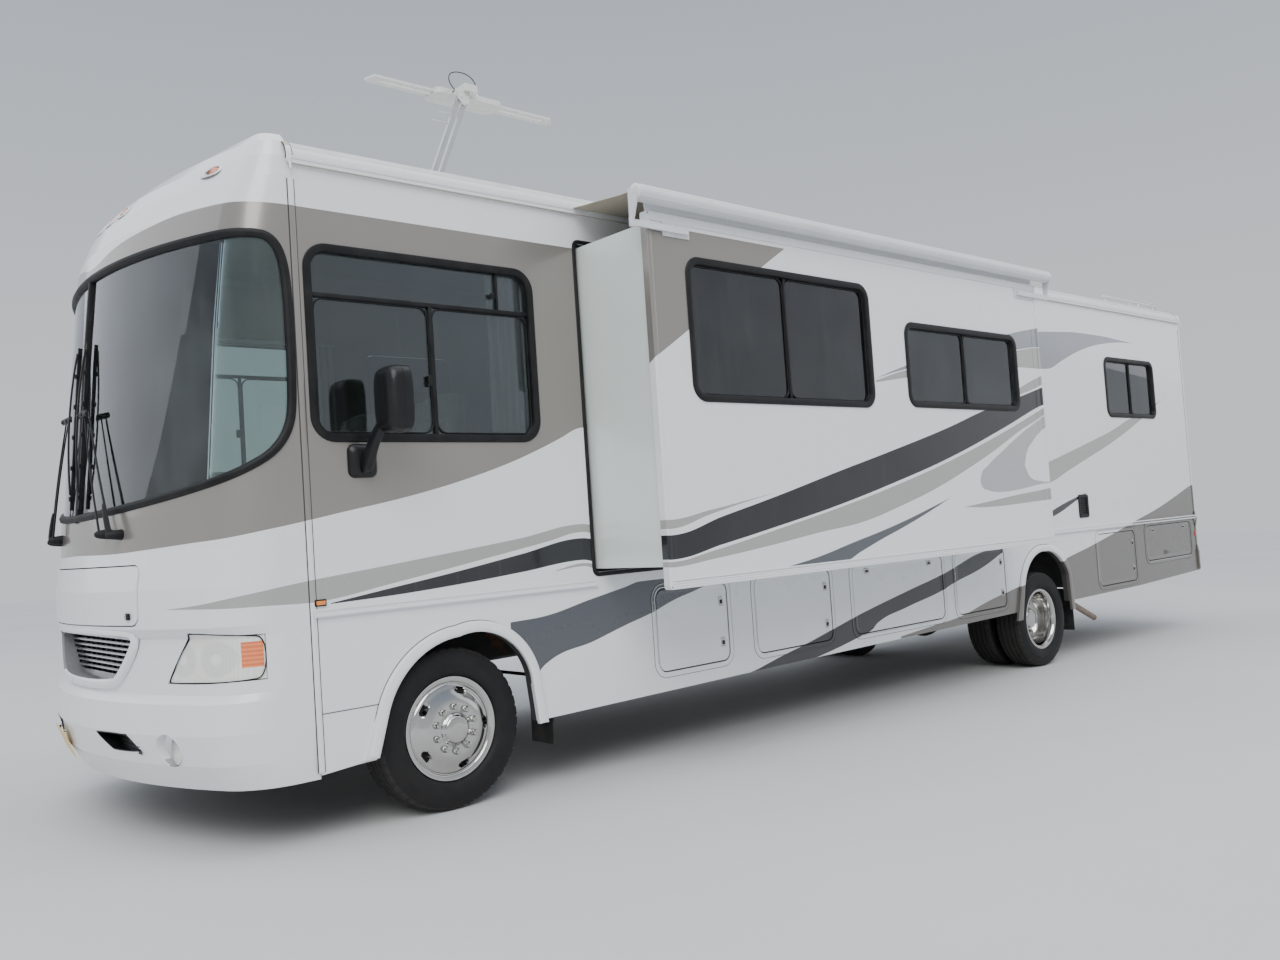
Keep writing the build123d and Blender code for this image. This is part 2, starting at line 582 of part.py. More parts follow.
with BuildPart() as cap_inner:
    for z in (290, 420, 560, 700, 735, 990, 1040, 1220, 1400, 1570, 2000, 2400, 2850, 2990, 3120, 3220, 3300, 3325):
        _, nose, half, corner, bow = between(z)
        with BuildSketch(Plane.XY.offset(z)):
            cap_section(nose - SKIN, half - SKIN, max(corner - SKIN, 18), bow - SKIN, SEAM_Y + 20)
    loft(ruled=True)

with BuildPart() as front_cap:
    for z, nose, half, corner, bow in CAP:
        with BuildSketch(Plane.XY.offset(z)):
            cap_section(nose, half, corner, bow, SEAM_Y)
    loft(ruled=True)
    add(cap_inner.part, mode=Mode.SUBTRACT)
    with BuildSketch(Plane.YZ.offset(-1400)):                          # windshield opening, round both corners
        with BuildLine():
            Polyline(*WINDSHIELD, WINDSHIELD[0])
        make_face()
    extrude(amount=2800, mode=Mode.SUBTRACT)
    with BuildSketch(Plane.XZ.offset(1200)):
        with Locations((0, (HOOD[2] + HOOD[3]) / 2)):
            RectangleRounded(HOOD[1] - HOOD[0], HOOD[3] - HOOD[2], 50)
        for outline in (GRILLE, INTAKE, [(-x, z) for x, z in INTAKE]):
            with BuildLine():
                Polyline(*outline, outline[0])
            make_face()
    extrude(amount=400, mode=Mode.SUBTRACT)
    for x in CLEARANCE_X:                                              # recesses of the clearance lamps
        z = 3187 if abs(x) > 500 else 3165
        with BuildSketch(Plane.XZ.offset(-front_y(x, z) - 22)):
            with Locations((x, z)):
                Ellipse(50, 24)
        extrude(amount=200, mode=Mode.SUBTRACT)
    for side in (-1, 1):                                               # fog lamp recesses, headlamp openings
        with BuildSketch(Plane.XZ.offset(1150)):
            with Locations((side * FOG[0], FOG[1])):
                Circle(FOG[2])
        extrude(amount=300, mode=Mode.SUBTRACT)
        with BuildSketch(Plane.XZ.offset(-HEADLAMP_BACK)):
            with BuildLine():
                Polyline(*[(side * x, z) for x, z in HEADLAMP], (side * HEADLAMP[0][0], HEADLAMP[0][1]))
            make_face()
        extrude(amount=500, mode=Mode.SUBTRACT)

with BuildPart() as hood_door:
    for z in (HOOD[2] - 2, 1220, HOOD[3] + 2):
        _, nose, half, corner, bow = between(z)
        with BuildSketch(Plane.XY.offset(z)):
            cap_section(nose + 4, half, corner, bow, SEAM_Y)
    loft(ruled=True)
    for z in (HOOD[2] - 4, 1220, HOOD[3] + 4):
        _, nose, half, corner, bow = between(z)
        with BuildSketch(Plane.XY.offset(z)):
            cap_section(nose - 24, half - 28, corner - 28, bow - 28, SEAM_Y + 10)
    loft(ruled=True, mode=Mode.SUBTRACT)
    with BuildSketch(Plane.XZ.offset(1000)):
        with Locations((0, (HOOD[2] + HOOD[3]) / 2)):
            RectangleRounded(HOOD[1] - HOOD[0] - 12, HOOD[3] - HOOD[2] - 12, 45)
    extrude(amount=600, mode=Mode.INTERSECT)

with BuildPart() as windshield:
    for z in (1570, 2000, 2400, 2850):
        _, nose, half, corner, bow = between(z)
        with BuildSketch(Plane.XY.offset(z)):
            cap_section(nose - 8, half - 8, corner - 8, bow - 8, SEAM_Y)
    loft(ruled=True)
    for z in (1568, 2000, 2400, 2852):
        _, nose, half, corner, bow = between(z)
        with BuildSketch(Plane.XY.offset(z)):
            cap_section(nose - 16, half - 16, corner - 16, bow - 16, SEAM_Y + 10)
    loft(ruled=True, mode=Mode.SUBTRACT)
    with BuildSketch(Plane.YZ.offset(-1400)):
        with BuildLine():
            Polyline(*WINDSHIELD, WINDSHIELD[0])
        make_face()
    extrude(amount=2800, mode=Mode.INTERSECT)
    with BuildSketch(Plane.XZ.offset(1000)):                           # the gap under the centre strip
        with Locations((0, 2200)):
            Rectangle(6, 1400)
    extrude(amount=600, mode=Mode.SUBTRACT)

with BuildPart() as grille:
    with BuildSketch(Plane.XZ.offset(1286)):
        with BuildLine():
            Polyline((-643, 1012), (643, 1012), (435, 787), (-435, 787), (-643, 1012))
        make_face()
        for z in (808, 835, 862, 889, 916, 943, 970, 997):
            with Locations((0, z)):
                Rectangle(2 * (415 + (z - 785) * 0.88), 14, mode=Mode.SUBTRACT)
    extrude(amount=12)

with BuildPart() as lamps:
    for z in (780, 990, 1030):                                         # headlamps, wrapped round the corners
        _, nose, half, corner, bow = between(z)
        with BuildSketch(Plane.XY.offset(z)):
            cap_section(nose - 4, half - 4, corner - 4, bow - 4, SEAM_Y)
    loft(ruled=True)
    for z in (778, 990, 1032):
        _, nose, half, corner, bow = between(z)
        with BuildSketch(Plane.XY.offset(z)):
            cap_section(nose - 32, half - 32, corner - 32, bow - 32, SEAM_Y + 10)
    loft(ruled=True, mode=Mode.SUBTRACT)
    with BuildSketch(Plane.XZ.offset(-HEADLAMP_BACK + 3)):
        for side in (-1, 1):
            with BuildLine():
                Polyline(*[(side * x, z) for x, z in ((1004, 1016), (1400, 980), (1400, 799), (848, 791), (1004, 1016))])
            make_face()
    extrude(amount=500, mode=Mode.INTERSECT)
    for side in (-1, 1):                                               # fog lamps
        with BuildSketch(Plane.XZ.offset(1212)):
            with Locations((side * FOG[0], FOG[1])):
                Circle(FOG[2] - 6)
        extrude(amount=36)
    for x in CLEARANCE_X:                                              # roof clearance lamps
        z = 3187 if abs(x) > 500 else 3165
        with BuildSketch(Plane.XZ.offset(-front_y(x, z) - 21)):
            with Locations((x, z)):
                Ellipse(46, 20)
        extrude(amount=20)
    for side in (-1, 1):                                               # tail lamps and rear markers
        with BuildSketch(Plane.XZ.offset(-TAIL_Y)):
            with Locations((side * 1060, 1180)):
                RectangleRounded(150, 420, 30)
        extrude(amount=-22)
    with BuildSketch(Plane.XZ.offset(-TAIL_Y)):
        with Locations((-1000, 3090), (-190, 3090), (0, 3090), (190, 3090), (1000, 3090)):
            RectangleRounded(100, 34, 12)
    extrude(amount=-16)

with BuildPart() as licence_plates:
    with Locations(Location((-337, front_y(-337, 440) - 14, 440), (21, 0, -7.2))):
        Box(305, 3, 152)
    with Locations(Location((0, TAIL_Y + 2, 900))):
        Box(305, 4, 152)

with BuildPart() as wipers:
    for side in (-1, 1):
        for (x0, z0), (x1, z1) in (((430, 1498), (140, 2130)), ((540, 1490), (215, 2105))):
            base = (side * x0, front_y(x0, z0) - 46, z0)
            tip = (side * x1, front_y(x1, z1) - 34, z1)
            reach = sqrt(sum((b - a) ** 2 for a, b in zip(base, tip)))
            with BuildSketch(Plane(origin=base, z_dir=(tip[0] - base[0], tip[1] - base[1], tip[2] - base[2]))):
                Circle(6)
            extrude(amount=reach)
            with BuildSketch(Plane.XZ.offset(-front_y(x0, z0) + 8)):   # pivot boss
                with Locations((side * x0, z0)):
                    Circle(20)
            extrude(amount=47)
        low = (side * 75, front_y(75, 1640) - 22, 1640)
        high = (side * 75, front_y(75, 2490) - 22, 2490)
        with BuildSketch(Plane(origin=low, x_dir=(1, 0, 0), z_dir=(0, high[1] - low[1], high[2] - low[2]))):
            Rectangle(16, 20)
        extrude(amount=855)
        with BuildSketch(Plane.XZ.offset(-front_y(150, 2115) + 28)):   # bracket from the arms to the blade
            with Locations((side * 145, 2115)):
                Rectangle(150, 36)
        extrude(amount=12)

# ------------------------------------------------------------------ cab
with BuildPart() as dashboard:
    with BuildSketch(Plane.YZ.offset(-930)):
        with BuildLine():
            Polyline((-1150, 1320), (-1150, 1500), (-950, 1530), (-640, 1500), (-600, 1440), (-620, 1340),
                     (-700, 1150), (-740, 1045), (-800, 1045), (-780, 1180), (-720, 1320), (-1150, 1320))
        make_face()
    extrude(amount=1860)
    with BuildSketch(Plane(origin=(480, -640, 1440), z_dir=(0, 0.86, 0.5))):
        Circle(40)
    extrude(amount=150)

WHEEL_TILT = Plane(origin=(480, -490, 1528), z_dir=(0, 0.86, 0.5), x_dir=(1, 0, 0))
with BuildPart() as steering_wheel:
    with BuildSketch(WHEEL_TILT):
        Circle(222)
        Circle(196, mode=Mode.SUBTRACT)
        Circle(70)
        for angle in (0, 180, 270):
            with PolarLocations(130, 1, start_angle=angle):
                Rectangle(160, 34)
    extrude(amount=24)

with BuildPart() as cab_seats:
    for side in (-1, 1):
        x = side * 500
        with BuildSketch(Plane.XY.offset(FLOOR_TOP)):
            with Locations((x, 130)):
                RectangleRounded(300, 340, 30)
        extrude(amount=300)
        with BuildSketch(Plane.XY.offset(1340)):
            with Locations((x, 120)):
                RectangleRounded(540, 560, 60)
        extrude(amount=160)
        with BuildSketch(Plane.YZ.offset(x - 270)):
            with BuildLine():
                Polyline((330, 1480), (400, 1480), (560, 2230), (440, 2250), (300, 1500), (330, 1480))
            make_face()
        extrude(amount=540)
        for arm in (-1, 1):
            with BuildSketch(Plane.YZ.offset(x + arm * 288 - 30)):
                with Locations((200, 1640)):
                    RectangleRounded(420, 70, 30)
                with Locations((370, 1560)):
                    Rectangle(60, 180)
            extrude(amount=60)

# ------------------------------------------------------------------ panes, mirrors, trim outside
with BuildPart() as windows:
    for side, holes in ((1, (DRIVER_WINDOW, REAR_WINDOW)), (-1, (DRIVER_WINDOW, REAR_WINDOW, KERB_WINDOW))):
        for hole in holes:
            with BuildSketch(Plane.YZ.offset(side * 1244)):
                window(hole[0] + 1, hole[1] - 1, hole[2] + 1, hole[3] - 1, hole[4])
            extrude(amount=side * 6)
    with BuildSketch(Plane.XZ.offset(-(TAIL_Y - 20))):
        with Locations((0, (REAR_GLASS[2] + REAR_GLASS[3]) / 2)):
            RectangleRounded(REAR_GLASS[1] - REAR_GLASS[0] - 2, REAR_GLASS[3] - REAR_GLASS[2] - 2, REAR_GLASS[4])
    extrude(amount=-6)

with BuildPart() as mirrors:
    for side in (-1, 1):
        with BuildSketch(Plane.YZ.offset(side * HALF_W)):
            with Locations((-447, 1772)):
                RectangleRounded(160, 175, 30)
        extrude(amount=side * 34)
        with BuildSketch(Plane.XY.offset(1780)):
            with Locations((side * 1325, -440)):
                RectangleRounded(60, 50, 15)
        with BuildSketch(Plane.XY.offset(1960)):
            with Locations((side * 1440, -405)):
                RectangleRounded(80, 50, 15)
        loft()
        with BuildSketch(Plane.XZ.offset(325)):                        # head: mirror face towards the driver
            with Locations((side * 1485, 2045)):
                RectangleRounded(210, 320, 40)
        extrude(amount=120)
        with BuildSketch(Plane.XY.offset(1740)):
            with Locations((side * 1318, -440)):
                RectangleRounded(60, 70, 15)
        extrude(amount=60)

with BuildPart() as mud_flaps:
    for side in (-1, 1):
        with BuildSketch(Plane.XZ.offset(-640)):
            with Locations((side * 1110, 390)):
                Rectangle(200, 380)
        extrude(amount=-12)
        with BuildSketch(Plane.XZ.offset(-6640)):
            with Locations((side * 980, 330)):
                Rectangle(460, 380)
        extrude(amount=-12)
        for y, z, x0, x1 in ((646, 570, 480, 1200), (6646, 510, 500, 1200)):   # hangers from the rails
            with BuildSketch(Plane.YZ.offset(side * x0)):
                with Locations((y, z)):
                    Circle(10)
            extrude(amount=side * (x1 - x0))

with BuildPart() as roof_equipment:
    for y in (2450, 6650):                                             # air conditioners
        for z0, dz, w, l in ((CROWN, 60, 640, 900), (CROWN + 50, 200, 700, 980)):
            with BuildSketch(Plane.XY.offset(z0)):
                with Locations((0, y)):
                    RectangleRounded(w, l, 90)
            extrude(amount=dz)
    for x, y, w, l, h in ((-500, 4500, 400, 400, 90), (450, 8600, 400, 400, 90), (-780, 6200, 150, 300, 120),
                          (850, 3600, 120, 120, 110)):
        with BuildSketch(Plane.XY.offset(CROWN + 2 - 40 * ((abs(x) - w / 2) / 1175) ** 2)):
            with Locations((x, y)):
                RectangleRounded(w, l, 40)
        extrude(amount=h)
    with BuildSketch(Plane.XY.offset(3341)):                           # foot of the antenna mast
        with Locations((ANTENNA_X, MAST_Y + 10)):
            RectangleRounded(170, 210, 30)
    extrude(amount=22)
    for x in (ANTENNA_X - 32, ANTENNA_X + 22):
        with BuildSketch(Plane.YZ.offset(x)):
            with BuildLine():
                Polyline((MAST_Y - 40, 3350), (MAST_Y - 22, MAST_Z + 22), (MAST_Y + 20, MAST_Z + 22),
                         (MAST_Y + 75, 3350), (MAST_Y - 40, 3350))
            make_face()
        extrude(amount=10)
    with BuildSketch(Plane.YZ.offset(ANTENNA_X - 40)):                 # its two pins
        with Locations((MAST_Y, MAST_Z), (MAST_Y + LINK_DY, MAST_Z + LINK_DZ)):
            Circle(6)
    extrude(amount=80)
    for side in (-1, 1):                                               # luggage rails at the rear
        with BuildSketch(Plane.XZ.offset(-8100)):
            with Locations((side * 1080, 3400)):
                Circle(13)
        extrude(amount=-1210)
        for y in (8130, 8700, 9280):
            with BuildSketch(Plane.XY.offset(3320)):
                with Locations((side * 1080, y)):
                    Circle(12)
            extrude(amount=76)

LADDER_X = (620, 960)
with BuildPart() as rear_ladder:
    for x in LADDER_X:
        foot = 3354 - 40 * (x / 1175) ** 2
        with BuildLine(Plane.YZ.offset(x)) as rail_path:
            corners = FilletPolyline((TAIL_Y + 110, 760), (TAIL_Y + 110, 3470), (9213, 3470), (9213, foot), radius=60)
        with BuildSketch(Plane(origin=rail_path.line @ 0, z_dir=rail_path.line % 0)):
            Circle(13)
        sweep()
        for z in (860, 1700, 2600):
            with BuildSketch(Plane.XZ.offset(-TAIL_Y)):
                with Locations((x, z)):
                    Circle(10)
            extrude(amount=-105)
    for z in range(900, 3200, 280):
        with BuildSketch(Plane.YZ.offset(LADDER_X[0])):
            with Locations((TAIL_Y + 110, z)):
                Circle(12)
        extrude(amount=LADDER_X[1] - LADDER_X[0])

with BuildPart() as patio_awning:
    with BuildSketch(Plane.XZ.offset(-1720)):
        with Locations((-1345, 3080)):
            Circle(52)
    extrude(amount=-5330)
    with BuildSketch(Plane.XZ.offset(-1800)):                          # rail on the wall and valance to it
        with Locations((-1284, 3150)):
            Rectangle(28, 30)
    extrude(amount=-5170)
    for y in (1705, 7050):
        with BuildSketch(Plane.XY.offset(1120)):
            with Locations((-1292, y + 7.5)):
                Rectangle(44, 34)
        extrude(amount=1950)
        with BuildSketch(Plane.XZ.offset(-y)):
            with Locations((-1328, 3080)):
                RectangleRounded(110, 90, 20)
        extrude(amount=-15)

# ------------------------------------------------------------------ slide-out room
with BuildPart() as slide_room:
    with BuildSketch(Plane.YZ.offset(900)):
        with Locations(((SLIDE_Y0 + SLIDE_Y1) / 2, (SLIDE_Z0 + SLIDE_Z1) / 2)):
            Rectangle(SLIDE_Y1 - SLIDE_Y0, SLIDE_Z1 - SLIDE_Z0)
    extrude(amount=SLIDE_X - SLIDE_T - 900)
    with BuildSketch(Plane.YZ.offset(890)):
        with Locations(((SLIDE_Y0 + SLIDE_Y1) / 2, (SLIDE_Z0 + SLIDE_Z1) / 2)):
            Rectangle(SLIDE_Y1 - SLIDE_Y0 - 80, SLIDE_Z1 - SLIDE_Z0 - 80)
    extrude(amount=SLIDE_X - SLIDE_T - 890, mode=Mode.SUBTRACT)
    with BuildSketch(Plane.YZ.offset(SLIDE_X - SLIDE_T)):
        with Locations(((FASCIA_Y0 + FASCIA_Y1) / 2, (FASCIA_Z0 + FASCIA_Z1) / 2)):
            RectangleRounded(FASCIA_Y1 - FASCIA_Y0, FASCIA_Z1 - FASCIA_Z0, 14)
    extrude(amount=SLIDE_T)
    for hole in (DINETTE_WINDOW, GALLEY_WINDOW):
        with BuildSketch(Plane.YZ.offset(SLIDE_X - SLIDE_T - 5)):
            window(*hole)
        extrude(amount=SLIDE_T + 10, mode=Mode.SUBTRACT)

with BuildPart() as slide_windows:
    for hole in (DINETTE_WINDOW, GALLEY_WINDOW):
        with BuildSketch(Plane.YZ.offset(SLIDE_X - 26)):
            window(hole[0] + 1, hole[1] - 1, hole[2] + 1, hole[3] - 1, hole[4])
        extrude(amount=6)

TUBE_X, TUBE_Z, TUBE_Y0, TUBE_Y1 = 1915, 3122, 880, 5240
with BuildPart() as topper_arms:
    for plate_y0, plate_y1, arm_y in ((1090, 1290, 850), (4810, 5080, 5255)):
        with BuildSketch(Plane.YZ.offset(SLIDE_X)):
            with Locations(((plate_y0 + plate_y1) / 2, 2965)):
                Rectangle(plate_y1 - plate_y0, 74)
        extrude(amount=8)
        y0, y1 = min(plate_y0 + 20, arm_y), max(plate_y1 - 20, arm_y + 15)
        with BuildSketch(Plane.YZ.offset(SLIDE_X + 8)):
            with Locations(((y0 + y1) / 2, 2965)):
                Rectangle(y1 - y0, 34)
        extrude(amount=18)
        with BuildSketch(Plane.XZ.offset(-arm_y)):
            with BuildLine():
                Polyline((1878, 2948), (1896, 2948), (1950, 3110), (1950, 3140), (1880, 3140), (1878, 2948))
            make_face()
        extrude(amount=-15)
        inward = 1 if arm_y < 3000 else -1
        with BuildSketch(Plane.XZ.offset(-(arm_y + (15 if inward > 0 else 0)))):
            with Locations((TUBE_X, TUBE_Z)):
                Circle(30)
        extrude(amount=-inward * 60)

with BuildPart() as topper_tube:
    with BuildSketch(Plane.XZ.offset(-TUBE_Y0)):
        with Locations((TUBE_X, TUBE_Z)):
            Circle(TUBE_R)
            Circle(TUBE_R - 9, mode=Mode.SUBTRACT)
    extrude(amount=-(TUBE_Y1 - TUBE_Y0))

with BuildPart() as topper_fabric:
    with BuildSketch(Plane.XZ.offset(-960)):
        with BuildLine():
            Polyline((1282, 3212), (1898, 3168), (1899, 3172), (1282, 3216), (1282, 3212))
        make_face()
    extrude(amount=-4190)

# ------------------------------------------------------------------ doors and step
doors = []
for side, table, prefix in ((1, STREET_DOORS, "compartment_door_"), (-1, KERB_DOORS, "right_compartment_door_")):
    for number, (y0, y1, z0, z1, hinge) in enumerate(table, 1):
        with BuildPart() as leaf:
            with BuildSketch(Plane.YZ.offset(side * (HALF_W - 2 - DOOR_T))):
                window(y0, y1, z0, z1, 55)
            extrude(amount=side * DOOR_T)
        doors.append((leaf, prefix + str(number)))

with BuildPart() as entry_door:
    with BuildSketch(Plane.YZ.offset(-(HALF_W - 2))):
        window(ENTRY[0] + DOOR_GAP, ENTRY[1] - DOOR_GAP, ENTRY[2] + DOOR_GAP, ENTRY[3] - DOOR_GAP, 36)
    extrude(amount=45)
    with BuildSketch(Plane.YZ.offset(-(HALF_W + 5))):
        window(1120, 1460, 1900, 2500, 60)
    extrude(amount=60, mode=Mode.SUBTRACT)
    with BuildSketch(Plane.YZ.offset(-(HALF_W - 20))):
        window(1121, 1459, 1901, 2499, 60)
    extrude(amount=6)
    with BuildSketch(Plane.YZ.offset(-(HALF_W - 2))):
        with Locations((1560, 1700)):
            RectangleRounded(90, 150, 20)
    extrude(amount=-22)

with BuildPart() as entry_step:
    with BuildSketch(Plane.XY.offset(395)):
        with Locations((-1110, 1290)):
            RectangleRounded(300, 610, 15)
    extrude(amount=30)
    for y in (989, 1591):
        with BuildSketch(Plane.XY.offset(420)):
            with Locations((-1040, y)):
                Rectangle(280, 8)
        extrude(amount=70)

# ------------------------------------------------------------------ antenna
UP = radians(MAST_ANGLE)
MAST_TIP = (MAST_Y + MAST_L * cos(UP), MAST_Z + MAST_L * sin(UP))


def bar(y0, z0, x0, width, thick, hole0, hole1):
    """A flat bar of the mast from a lower pin to the matching upper pin."""
    with BuildSketch(Plane.YZ.offset(x0)) as side_view:
        with Locations(Location((y0 + MAST_L / 2 * cos(UP), z0 + MAST_L / 2 * sin(UP), 0), (0, 0, MAST_ANGLE))):
            SlotOverall(MAST_L + width, width)
        with Locations((y0, z0)):
            Circle(hole0, mode=Mode.SUBTRACT)
        with Locations((y0 + MAST_L * cos(UP), z0 + MAST_L * sin(UP))):
            Circle(hole1, mode=Mode.SUBTRACT)
    extrude(side_view.sketch, amount=thick)


with BuildPart() as antenna_mast:
    bar(MAST_Y, MAST_Z, ANTENNA_X - 12, 27, 24, 6.05, 6.05)
    for along, reach in ((488, 92), (424, 116)):                       # two short rods pointing forward
        y0, z0 = MAST_Y + along * cos(UP), MAST_Z + along * sin(UP)
        with BuildSketch(Plane.XZ.offset(-y0)):
            with Locations((ANTENNA_X, z0)):
                Circle(4)
        extrude(amount=reach)

with BuildPart() as antenna_link:
    bar(MAST_Y + LINK_DY, MAST_Z + LINK_DZ, ANTENNA_X - 12, 27, 24, 6.05, 6.6)

TIP_Y, TIP_Z = MAST_TIP
WING_Z = TIP_Z + 30                                                    # underside of the wing's two arms
with BuildPart() as antenna_head:
    with BuildSketch(Plane.YZ.offset(ANTENNA_X + 16)):                 # cheek plate with both upper pins
        with BuildLine():
            Polyline((TIP_Y - 14, TIP_Z + 40), (TIP_Y - 20, TIP_Z - 14), (TIP_Y + LINK_DY - 16, TIP_Z + LINK_DZ - 16),
                     (TIP_Y + LINK_DY + 20, TIP_Z + LINK_DZ - 6), (TIP_Y + 60, TIP_Z + 40),
                     (TIP_Y - 14, TIP_Z + 40))
        make_face()
    extrude(amount=10)
    with BuildSketch(Plane.YZ.offset(ANTENNA_X - 14)):
        with Locations((TIP_Y, TIP_Z), (TIP_Y + LINK_DY, TIP_Z + LINK_DZ)):
            Circle(6)
    extrude(amount=34)
    with BuildSketch(Plane.XY.offset(TIP_Z + 32)):                     # box over the bars, joined to the body
        with Locations((ANTENNA_X - 20, TIP_Y + 60)):
            RectangleRounded(140, 90, 8)
    extrude(amount=44)
    with BuildSketch(Plane.XY.offset(TIP_Z + 18)):                     # body between the arms
        with Locations((ANTENNA_X - 105, TIP_Y + 100)):
            RectangleRounded(170, 470, 40)
    extrude(amount=32)
    with BuildSketch(Plane.XY.offset(WING_Z)):                         # two slotted arms
        with BuildLine():
            Polyline((558, 72), (640, 95), (640, TIP_Y + 100), (640, 1345), (596, 1385), (545, 1372),
                     (545, TIP_Y + 100), (545, 92), (558, 72))
        make_face()
        with Locations((594, (150 + TIP_Y - 120) / 2)):
            SlotOverall(TIP_Y - 120 - 150, 24, rotation=90, mode=Mode.SUBTRACT)
        with Locations((594, (TIP_Y + 350 + 1300) / 2)):
            SlotOverall(1300 - TIP_Y - 350, 24, rotation=90, mode=Mode.SUBTRACT)
    extrude(amount=14)

# loose cable loop of the head: leaves the body's front face and goes back in at its top
BODY_TOP = TIP_Z + 50
LOOP = ((680, 586, 4024), (700, 586, 4024), (718, 574, 4026), (726, 548, 4040), (723, 533, 4076), (718, 548, 4114),
        (712, 583, 4134), (706, 628, 4144), (699, 674, 4146), (690, 717, 4137), (680, 752, 4112), (668, 766, 4078),
        (668, 766, BODY_TOP))
CABLE_R = 3
turns = []
for a, b, c in zip(LOOP, LOOP[1:], LOOP[2:]):
    run_in, run_out = Vector(*b) - Vector(*a), Vector(*c) - Vector(*b)
    half_turn = radians(run_in.get_angle(run_out)) / 2
    turns.append(0.45 * min(run_in.length, run_out.length) / tan(half_turn))
print("cable radii", [round(r, 1) for r in turns])
with BuildPart() as antenna_cable:
    with BuildLine() as cable_path:
        FilletPolyline(*LOOP, radius=turns)
    with BuildSketch(Plane(origin=cable_path.line @ 0, z_dir=cable_path.line % 0)):
        Circle(CABLE_R)
    sweep()
cable_length = sum(edge.length for edge in cable_path.line.edges())
print("cable length", round(cable_length, 1), "volume over section times length",
      round(antenna_cable.part.volume / (pi * CABLE_R ** 2 * cable_length), 4))

# ------------------------------------------------------------------ park on the wheels and export
PARKED = Pos(-ORIGIN_X, -ORIGIN_Y, TYRE_R) * Rot(RAKE, 0, 0) * Pos(0, 0, -FRONT_AXLE_Z)

NODES = [
    (chassis_frame, "chassis_frame"), (engine_block, "engine_block"), (front_axle, "front_axle"),
    (rear_axle, "rear_axle"), (exhaust_pipe, "exhaust_pipe"), (compartment_boxes, "compartment_boxes"),
    (floor, "floor"),
    *sides, *skirts, (roof, "roof"), (rear_cap, "rear_cap"), (front_cap, "front_cap"),
    (windshield, "windshield"), (windows, "windows"), (lamps, "lamps"), (grille, "grille"),
    (licence_plates, "licence_plates"), (wipers, "wipers"), (mirrors, "mirrors"), (dashboard, "dashboard"),
    (cab_seats, "cab_seats"), (mud_flaps, "mud_flaps"), (roof_equipment, "roof_equipment"),
    (rear_ladder, "rear_ladder"), (patio_awning, "patio_awning"),
    (hood_door, "hood_door"), (steering_wheel, "steering_wheel"), *knuckles, (tie_rod, "tie_rod"), *wheels,
    (slide_room, "slide_room"), (slide_windows, "slide_windows"), (topper_arms, "topper_arms"),
    (topper_tube, "topper_tube"), (topper_fabric, "topper_fabric"), *doors, (entry_door, "entry_door"),
    (entry_step, "entry_step"), (antenna_mast, "antenna_mast"), (antenna_link, "antenna_link"),
    (antenna_head, "antenna_head"), (antenna_cable, "antenna_cable"),
]
for built, name in NODES:
    placed = PARKED * built.part
    placed.label = name
    export_step(placed, "parts/" + name + ".step")
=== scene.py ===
from math import asin, atan2, cos, floor, pi, radians, sin, sqrt

import bmesh
import bpy
from mathutils import Matrix, Vector, noise


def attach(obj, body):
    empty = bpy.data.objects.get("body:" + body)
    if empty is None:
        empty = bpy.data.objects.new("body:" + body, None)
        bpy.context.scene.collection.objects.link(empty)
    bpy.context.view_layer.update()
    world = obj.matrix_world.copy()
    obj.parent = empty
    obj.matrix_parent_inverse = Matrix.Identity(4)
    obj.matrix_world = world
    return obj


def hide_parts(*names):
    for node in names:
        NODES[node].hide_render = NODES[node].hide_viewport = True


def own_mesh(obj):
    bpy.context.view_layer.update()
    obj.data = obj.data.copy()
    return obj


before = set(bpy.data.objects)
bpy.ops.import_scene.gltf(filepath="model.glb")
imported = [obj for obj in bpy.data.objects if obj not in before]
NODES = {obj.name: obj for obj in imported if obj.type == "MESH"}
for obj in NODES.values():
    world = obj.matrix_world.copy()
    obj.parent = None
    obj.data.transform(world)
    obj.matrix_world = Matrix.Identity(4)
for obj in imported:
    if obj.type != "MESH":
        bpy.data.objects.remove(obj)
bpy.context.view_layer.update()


# The body stands nose-up on its wheels by a small angle. Everything below is in the body's own frame,
# in metres: x to the driver's side, y to the rear from the front axle, z up.
RAKE = asin((0.400 - 0.309) / 6.031)
BODY = (Matrix.Translation((-0.185, -4.1, 0.412)) @ Matrix.Rotation(RAKE, 4, "X")
        @ Matrix.Translation((0, 0, -0.4)))

# ------------------------------------------------------------------ camera
YAW, PITCH, ROLL = -0.8395, 0.0412, -0.0667
EYE = Vector((6.042, -2.932, 1.373))
forward = Vector((sin(YAW) * cos(PITCH), cos(YAW) * cos(PITCH), sin(PITCH)))
level = Vector((cos(YAW), -sin(YAW), 0))
upright = level.cross(forward)
right = cos(ROLL) * level + sin(ROLL) * upright
top = -sin(ROLL) * level + cos(ROLL) * upright
lens = bpy.data.cameras.new("camera")
lens.sensor_width = 36
lens.lens = 1078.821 * 36 / 1280
lens.clip_end = 300
camera = bpy.data.objects.new("camera", lens)
bpy.context.scene.collection.objects.link(camera)
pose = Matrix((right, top, -forward)).transposed().to_4x4()
pose.translation = EYE
camera.matrix_world = BODY @ pose
bpy.context.scene.camera = camera


